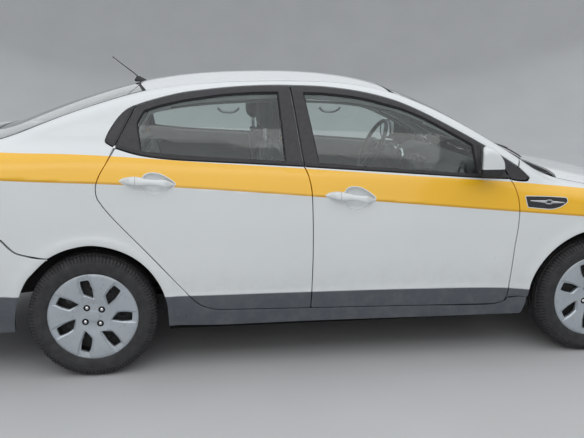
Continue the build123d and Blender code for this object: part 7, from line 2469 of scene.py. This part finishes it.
for side, yo_ in (("left", YS), ("right", -YS)):
    for nm, g_, test in (("front_seat_cushion", g_c, lambda C: (np.abs(C[:, 1]) < .138) & (C[:, 2] > .435)),
                         ("front_seat_backrest", g_b, lambda C: (back_front(C) < .01) & (np.abs(C[:, 1]) < .133) & (C[:, 2] < 1.01) & (C[:, 2] > .5)),
                         ("front_head_restraint", g_h, lambda C: (np.abs(C[:, 1]) < .088) & (C[:, 0] > -.36))):
        V, F_ = at_y(g_, yo_)
        cushion_piece(f"{nm}_{side}", V, F_, lambda C, yo_=yo_, test=test: test(C - [0, yo_, 0]), "body", ["front_seats"] if nm == "front_seat_cushion" and side == "left" else [])
    pp = []
    for k_ in (-1, 1):
        pp.append(lay_on(g_c, [(x, k_ * .138, .49) for x in np.linspace(-.20, .255, 12)]))
        pp.append(lay_on(g_c, [(x, k_ * .226, .47) for x in np.linspace(-.21, .235, 12)]))
        zz = np.linspace(.50, 1.01, 16)
        pp.append(lay_on(g_b, [(np.interp(z_, B_MID[:, 1], B_MID[:, 0]) + .06, k_ * np.interp(z_, [.47, .9, 1.0], [.130, .136, .128]), z_) for z_ in zz]))
    zz = np.concatenate([np.linspace(.50, 1.03, 18)])
    line = [(np.interp(z_, B_MID[:, 1], B_MID[:, 0]) + .006, .26, z_) for z_ in zz]
    pp.append(lay_on(g_b, line))
    pp.append(lay_on(g_b, [(p[0], -p[1], p[2]) for p in line]))
    hc_ = np.array([(-.350 + .0, .125 * math.cos(a_), 1.248 + .085 * math.sin(a_)) for a_ in np.linspace(0, 2 * PI, 40)])
    pp.append(lay_on(g_h, hc_))
    V, F_ = at_y(join(*pp), yo_)
    solid(f"front_seat_piping_{side}", (V, F_), M_PIPE, "body", [], "seat_cloth", angle=60)
    po = [poly_tube(np.array([(-.352, k_ * .055, 1.060), (-.352, k_ * .055, 1.18)]), .0055, 12) for k_ in (-1, 1)]
    V, F_ = at_y(join(*po), yo_)
    solid(f"head_restraint_posts_{side}", (V, F_), M_CHROME, "body", [], "steel_bare", angle=60)
    gd = [revolve([(.006, .010), (.014, .010), (.016, .006), (.016, -.02)], (-.352, k_ * .055, 1.092), "z", 20) for k_ in (-1, 1)]
    V, F_ = at_y(join(*gd), yo_)
    solid(f"head_restraint_guides_{side}", (V, F_), M_PLAST, "body", [], "black_plastic", angle=40)
    # runners, frame, side shields with the recliner lever
    rn = []
    for k_ in (-1, 1):
        y_ = k_ * .170
        rn.append(loft([np.array([(x, y_ + a_, z_) for a_, z_ in ((-.022, .262), (.022, .262), (.022, .292), (.014, .292), (.014, .272), (-.014, .272), (-.014, .292), (-.022, .292))]) for x in (-.30, .27)]))
        rn.append(loft([np.array([(x, y_ + a_, z_) for a_, z_ in ((-.012, .274), (.012, .274), (.012, .318), (-.012, .318))]) for x in (-.27, .23)]))
        for x in (-.285, .25):
            rn.append(loft([np.array([(x + a_, y_ + b_, z_) for a_, b_ in ((-.020, -.016), (.020, -.016), (.020, .016), (-.020, .016))]) for z_ in (.240, .264)]))
        side_ = np.array([(-.235, .318), (.215, .318), (.250, .345), (.245, .402), (-.225, .402), (-.250, .370)])
        rn.append(loft([np.stack([side_[:, 0], np.full(6, y_ + k_ * d_), side_[:, 1]], 1) for d_ in (-.003, .003)]))
    rn.append(poly_tube(np.array([(.20, -.170, .350), (.20, .170, .350)]), .009, 12))
    rn.append(poly_tube(np.array([(-.19, -.170, .365), (-.19, .170, .365)]), .009, 12))
    pan = np.array([(-.22, .398), (.235, .398), (.245, .403), (-.22, .4032)])
    rn.append(loft([np.stack([pan[:, 0], np.full(4, y_), pan[:, 1]], 1) for y_ in (-.20, .20)]))
    rn.append(poly_tube(smooth_path([(.24, -.12, .310), (.275, -.12, .312), (.283, -.10, .312), (.283, .10, .312), (.275, .12, .312), (.24, .12, .310)], .01), .005, 8))
    V, F_ = at_y(join(*rn), yo_)
    solid(f"seat_runners_{side}", (V, F_), M_STEEL, "body", [], "steel_coated", angle=40)
    ks = 1 if yo_ > 0 else -1
    shp = ring_of("S", [("uv", .215, .350, .03), ("uv", .225, .412, .02), ("uv", -.06, .430, None), ("uv", -.17, .468, .04), ("uv", -.205, .535, .02), ("uv", -.262, .520, .02), ("uv", -.275, .420, .04), ("uv", -.22, .350, .03)], .01)
    rs = [np.stack([grow(shp, g_)[:, 0], np.full(len(shp), ks * d_), grow(shp, g_)[:, 1]], 1) for g_, d_ in ((0, .2395), (0, .2480), (-.003, .2515), (-.009, .2535))]
    rs[0][:, 1] = ks * np.where(shp[:, 1] < .40, .180, .2395)
    sh_ = [loft(rs), poly_tube(smooth_path([(-.19, ks * .254, .44), (-.15, ks * .266, .446), (-.08, ks * .268, .448), (-.06, ks * .262, .448)], .008), .008, 10, flat=.55), revolve([(.026, 0), (.026, .012), (.022, .016), (.0005, .017)], (-.215, ks * .252, .462), "y", 28, ks)]
    V, F_ = at_y(join(*sh_), yo_)
    solid(f"seat_side_shield_{side}", (V, F_), M_PLAST, "body", [], "black_plastic", angle=40)

# rear bench and backrest
SR = []
for x in np.concatenate([[-.985, -.982], np.linspace(-.97, -.475, 22), [-.462, -.455, -.4535]]):
    fr = max(0, (x + .505) / .052)
    drop = .050 * (1 - math.sqrt(max(0, 1 - min(fr, 1) ** 2)))

    def zt(y, x=x, drop=drop):
        a_ = np.abs(y)
        e = np.clip((a_ - .535) / .035, 0, 1)
        return .462 + .014 * sstep(-.75, -.52, x) - drop + .016 * np.exp(-(y / .10) ** 2) + .018 * np.exp(-((a_ - .515) / .035) ** 2) * (1 - drop / .06) - .006 * np.exp(-((a_ - .29) / .12) ** 2) - .030 * (1 - np.sqrt(1 - .96 * e ** 2))
    sec = seat_section(.570, .384 + .02 * min(fr, 1) ** 2, zt, 60)
    SR.append(np.stack([np.full(len(sec), x), sec[:, 0], sec[:, 1]], 1))
rs_seams = [lambda P: np.abs(np.abs(P[:, 1]) - .105) + up_face(P, .44), lambda P: np.abs(np.abs(P[:, 1]) - .478) + up_face(P, .44),
            lambda P: np.abs(P[:, 0] + .60) + up_face(P, .44) + np.maximum(0, np.abs(P[:, 1]) - .478) + np.maximum(0, .105 - np.abs(P[:, 1])),
            lambda P: np.abs(P[:, 0] + .74) + up_face(P, .44) + np.maximum(0, np.abs(P[:, 1]) - .478) + np.maximum(0, .105 - np.abs(P[:, 1]))]
g_rc = take(swell("rear_cushion", loft(SR), .013, .022, lambda P: P[:, 2] < .394, rs_seams))
V, F_ = g_rc
cushion_piece("rear_seat_cushion", V, F_, lambda C: (C[:, 2] > .44) & (np.abs(C[:, 1]) < .478) & (np.abs(C[:, 1]) > .105), "body", ["rear_seat"])
RB_F = lambda z_: np.interp(z_, [.50, .60, .80, .95, 1.01, 1.035], [-.868, -.886, -.918, -.946, -.962, -.980])
SK = []
for z_ in np.concatenate([[.502, .506], np.linspace(.52, 1.0, 22), [1.012, 1.022, 1.028]]):
    e_ = max(0, (z_ - .985) / .045)
    yy = np.linspace(-.562, .562, 60) * (1 - .05 * e_ ** 2)
    a_ = np.abs(yy)
    e = np.clip((a_ - .53) / .032, 0, 1)
    xf = RB_F(z_) + .010 * np.exp(-(yy / .09) ** 2) - .010 * np.exp(-((a_ - .29) / .13) ** 2) + .010 * np.exp(-((a_ - .50) / .03) ** 2) - .018 * (1 - np.sqrt(1 - .96 * e ** 2))
    xb = np.full(60, -1.000)
    SK.append(np.vstack([np.stack([xf, yy, np.full(60, z_)], 1), np.stack([xb, yy[::-1], np.full(60, z_)], 1)]))
rf_ = lambda P: np.where(P[:, 0] > RB_F(P[:, 2]) - .03, 0, .05)
rb_seams = [lambda P: np.abs(np.abs(P[:, 1]) - .105) + rf_(P), lambda P: np.abs(np.abs(P[:, 1]) - .475) + rf_(P)]
rb_seams += [lambda P, zs=zs: np.abs(P[:, 2] - zs) + rf_(P) + np.maximum(0, np.abs(P[:, 1]) - .475) + np.maximum(0, .105 - np.abs(P[:, 1])) for zs in (.64, .78, .92)]
g_rb = take(swell("rear_back", loft(SK), .013, .020, lambda P: P[:, 0] < -.990, rb_seams))
V, F_ = g_rb
cushion_piece("rear_seat_backrest", V, F_, lambda C: (rf_(C) < .01) & (np.abs(C[:, 1]) < .475) & (np.abs(C[:, 1]) > .105), "body", [])
pp = []
for k_ in (-1, 1):
    for y_ in (.105, .478):
        pp.append(lay_on(g_rc, [(x, k_ * y_, .50) for x in np.linspace(-.85, -.47, 10)]))
        pp.append(lay_on(g_rb, [(-.82, k_ * min(y_, .475), z_) for z_ in np.linspace(.52, 1.01, 14)]))
pp.append(lay_on(g_rc, [(-.44, y_, .462) for y_ in np.linspace(-.55, .55, 40)]))
pp.append(lay_on(g_rb, [(-.975, y_, 1.06) for y_ in np.linspace(-.53, .53, 40)]))
solid("rear_seat_piping", join(*pp), M_PIPE, "body", [], "seat_cloth", angle=60)

# door card inserts in the same cloth
for which, x0_, x1_ in (("front", -10, 540), ("rear", -640, -240)):
    ins = ring_of("S", [S(x0_, 800, 25), S(x1_, 790 if which == "front" else 800, 30), S(x1_ - 10, 880, 30), S(x0_ - (-25 if which == "rear" else 5), 900, 30)])
    pair(f"{which}_door_card_insert", sheet(inner_S(.0985), ins, gap=0, lipdepth=.005, roll=.003, h=.025), M_CLOTH2, which + "_door_{}", None, "seat_cloth")

# belts: a strap from the pillar's guide down to the reel cover, with the guide and the buckles
bl_ = []
for k_ in (1,):
    gp = off_surface("S", [[-.262, 1.205]], .098)[0]
    lo_p = np.array([-.285, gp[1] + .060, .36])
    lo_p[1] = off_surface("S", [[-.285, .45]], .12)[0][1]
    path = smooth_path([gp + [0, -.004, 0], (gp + lo_p) / 2 + [.004, .004, 0], lo_p], .02)
    secs = []
    for p in path:
        secs.append(np.array([p + [dx_, dy_, 0] for dx_, dy_ in ((-.0235, -.0006), (.0235, -.0006), (.0235, .0006), (-.0235, .0006))]))
    bl_.append(loft(secs))
solid_pair("front_belt", join(*bl_), M_BELT, "body", None, "seat_cloth", angle=30)
gd = loft([np.array([(gp[0] + u * k_, gp[1] + dy_, gp[2] + v * k_) for u, v in rounded_rect(.036, .028, .012, 4)]) for k_, dy_ in ((1, .010), (1, -.004), (.92, -.010), (.7, -.012))])
solid_pair("front_belt_guide", gd, M_PLAST, "body", None, "black_plastic", angle=40)
bk_ = []
for x_, y_, z_, dz in ((-.235, .095, .44, .10), (-.83, .12, .50, .05), (-.83, .42, .50, .05)):
    secs = [np.array([(x_ + .012 * t + u, y_ + v, z_ + dz * t) for u, v in rounded_rect(.0155 if t > .45 else .010, .009 if t > .45 else .003, .003, 3)]) for t in (0, .44, .46, .95, 1)]
    bk_.append(loft(secs))
solid_pair("belt_buckles", join(*bk_), M_PLAST, "body", None, "black_plastic", angle=40)

# @@
# ------------------------------------------------------------ camera, light and floor
cam = bpy.data.objects.new("camera", bpy.data.cameras.new("camera"))
SCN.collection.objects.link(cam)
SCN.camera = cam
SCN.view_settings.view_transform = "Standard"
yaw, pitch, roll = .1384, -.2152, .0044
fwd = Vector((math.sin(yaw) * math.cos(pitch), math.cos(yaw) * math.cos(pitch), math.sin(pitch)))
rgt = Vector((math.cos(yaw), -math.sin(yaw), 0))
up = rgt.cross(fwd)
r2, u2 = rgt * math.cos(roll) + up * math.sin(roll), -rgt * math.sin(roll) + up * math.cos(roll)
cam.matrix_world = Matrix(((r2.x, u2.x, -fwd.x, -.7412), (r2.y, u2.y, -fwd.y, -4.233), (r2.z, u2.z, -fwd.z, 1.5153), (0, 0, 0, 1)))
cam.data.sensor_width, cam.data.lens = 36, 44.70
cam.data.clip_end = 200

m_floor = simple("studio_floor", (.50, .505, .51), (.53, .535, .54), (.8, .95), 1.2, 30, .08, .001)
prof = [(.001, 0), (3, 0), (6, 0), (9, 0)] + [(9 + 6 * math.sin(a_), 6 - 6 * math.cos(a_)) for a_ in np.linspace(0, PI / 2, 19)[1:]] + [(15, 9), (15, 12)]
nb = 96
V = np.array([(r_ * math.cos(i / nb * 2 * PI), r_ * math.sin(i / nb * 2 * PI), z_) for r_, z_ in prof for i in range(nb)])
F_ = [(k_ * nb + i, k_ * nb + (i + 1) % nb, (k_ + 1) * nb + (i + 1) % nb, (k_ + 1) * nb + i) for k_ in range(len(prof) - 1) for i in range(nb)]
F_.append(tuple(range(nb)))
flo = mesh_object("studio_floor", V, [f[::-1] for f in F_], m_floor, True)
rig.stage(flo)

w = bpy.data.worlds.new("studio")
SCN.world = w
w.use_nodes = True
w.node_tree.nodes["Background"].inputs[0].default_value = (.86, .90, .95, 1)
w.node_tree.nodes["Background"].inputs[1].default_value = .62


def area_light(name, at, to, size, power, colour=(1, 1, 1)):
    d = bpy.data.lights.new(name, "AREA")
    d.shape, d.size, d.size_y = "RECTANGLE", *size
    d.energy, d.color = power, colour
    o = bpy.data.objects.new(name, d)
    SCN.collection.objects.link(o)
    o.visible_camera = False
    o.location = at
    o.rotation_euler = (Vector(to) - Vector(at)).to_track_quat("-Z", "Y").to_euler()
    return o


area_light("overhead", (0, -1.5, 8.5), (0, 0, 0), (24, 16), 700, (1, 1, 1))
area_light("camera_side", (-2, -9.0, 5.4), (0, 0, .6), (13, 7), 270, (1, .99, .97))
area_light("far_side", (1, 9.5, 6), (0, 0, .6), (20, 8), 215, (.95, .97, 1))

# ------------------------------------------------------------ sizes
cad_box = (cad_lo, cad_hi)
vis_lo, vis_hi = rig.bounds()
json.dump({"cad": [list(cad_lo), list(cad_hi)], "visual": [list(vis_lo), list(vis_hi)]}, open("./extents.json", "w"))
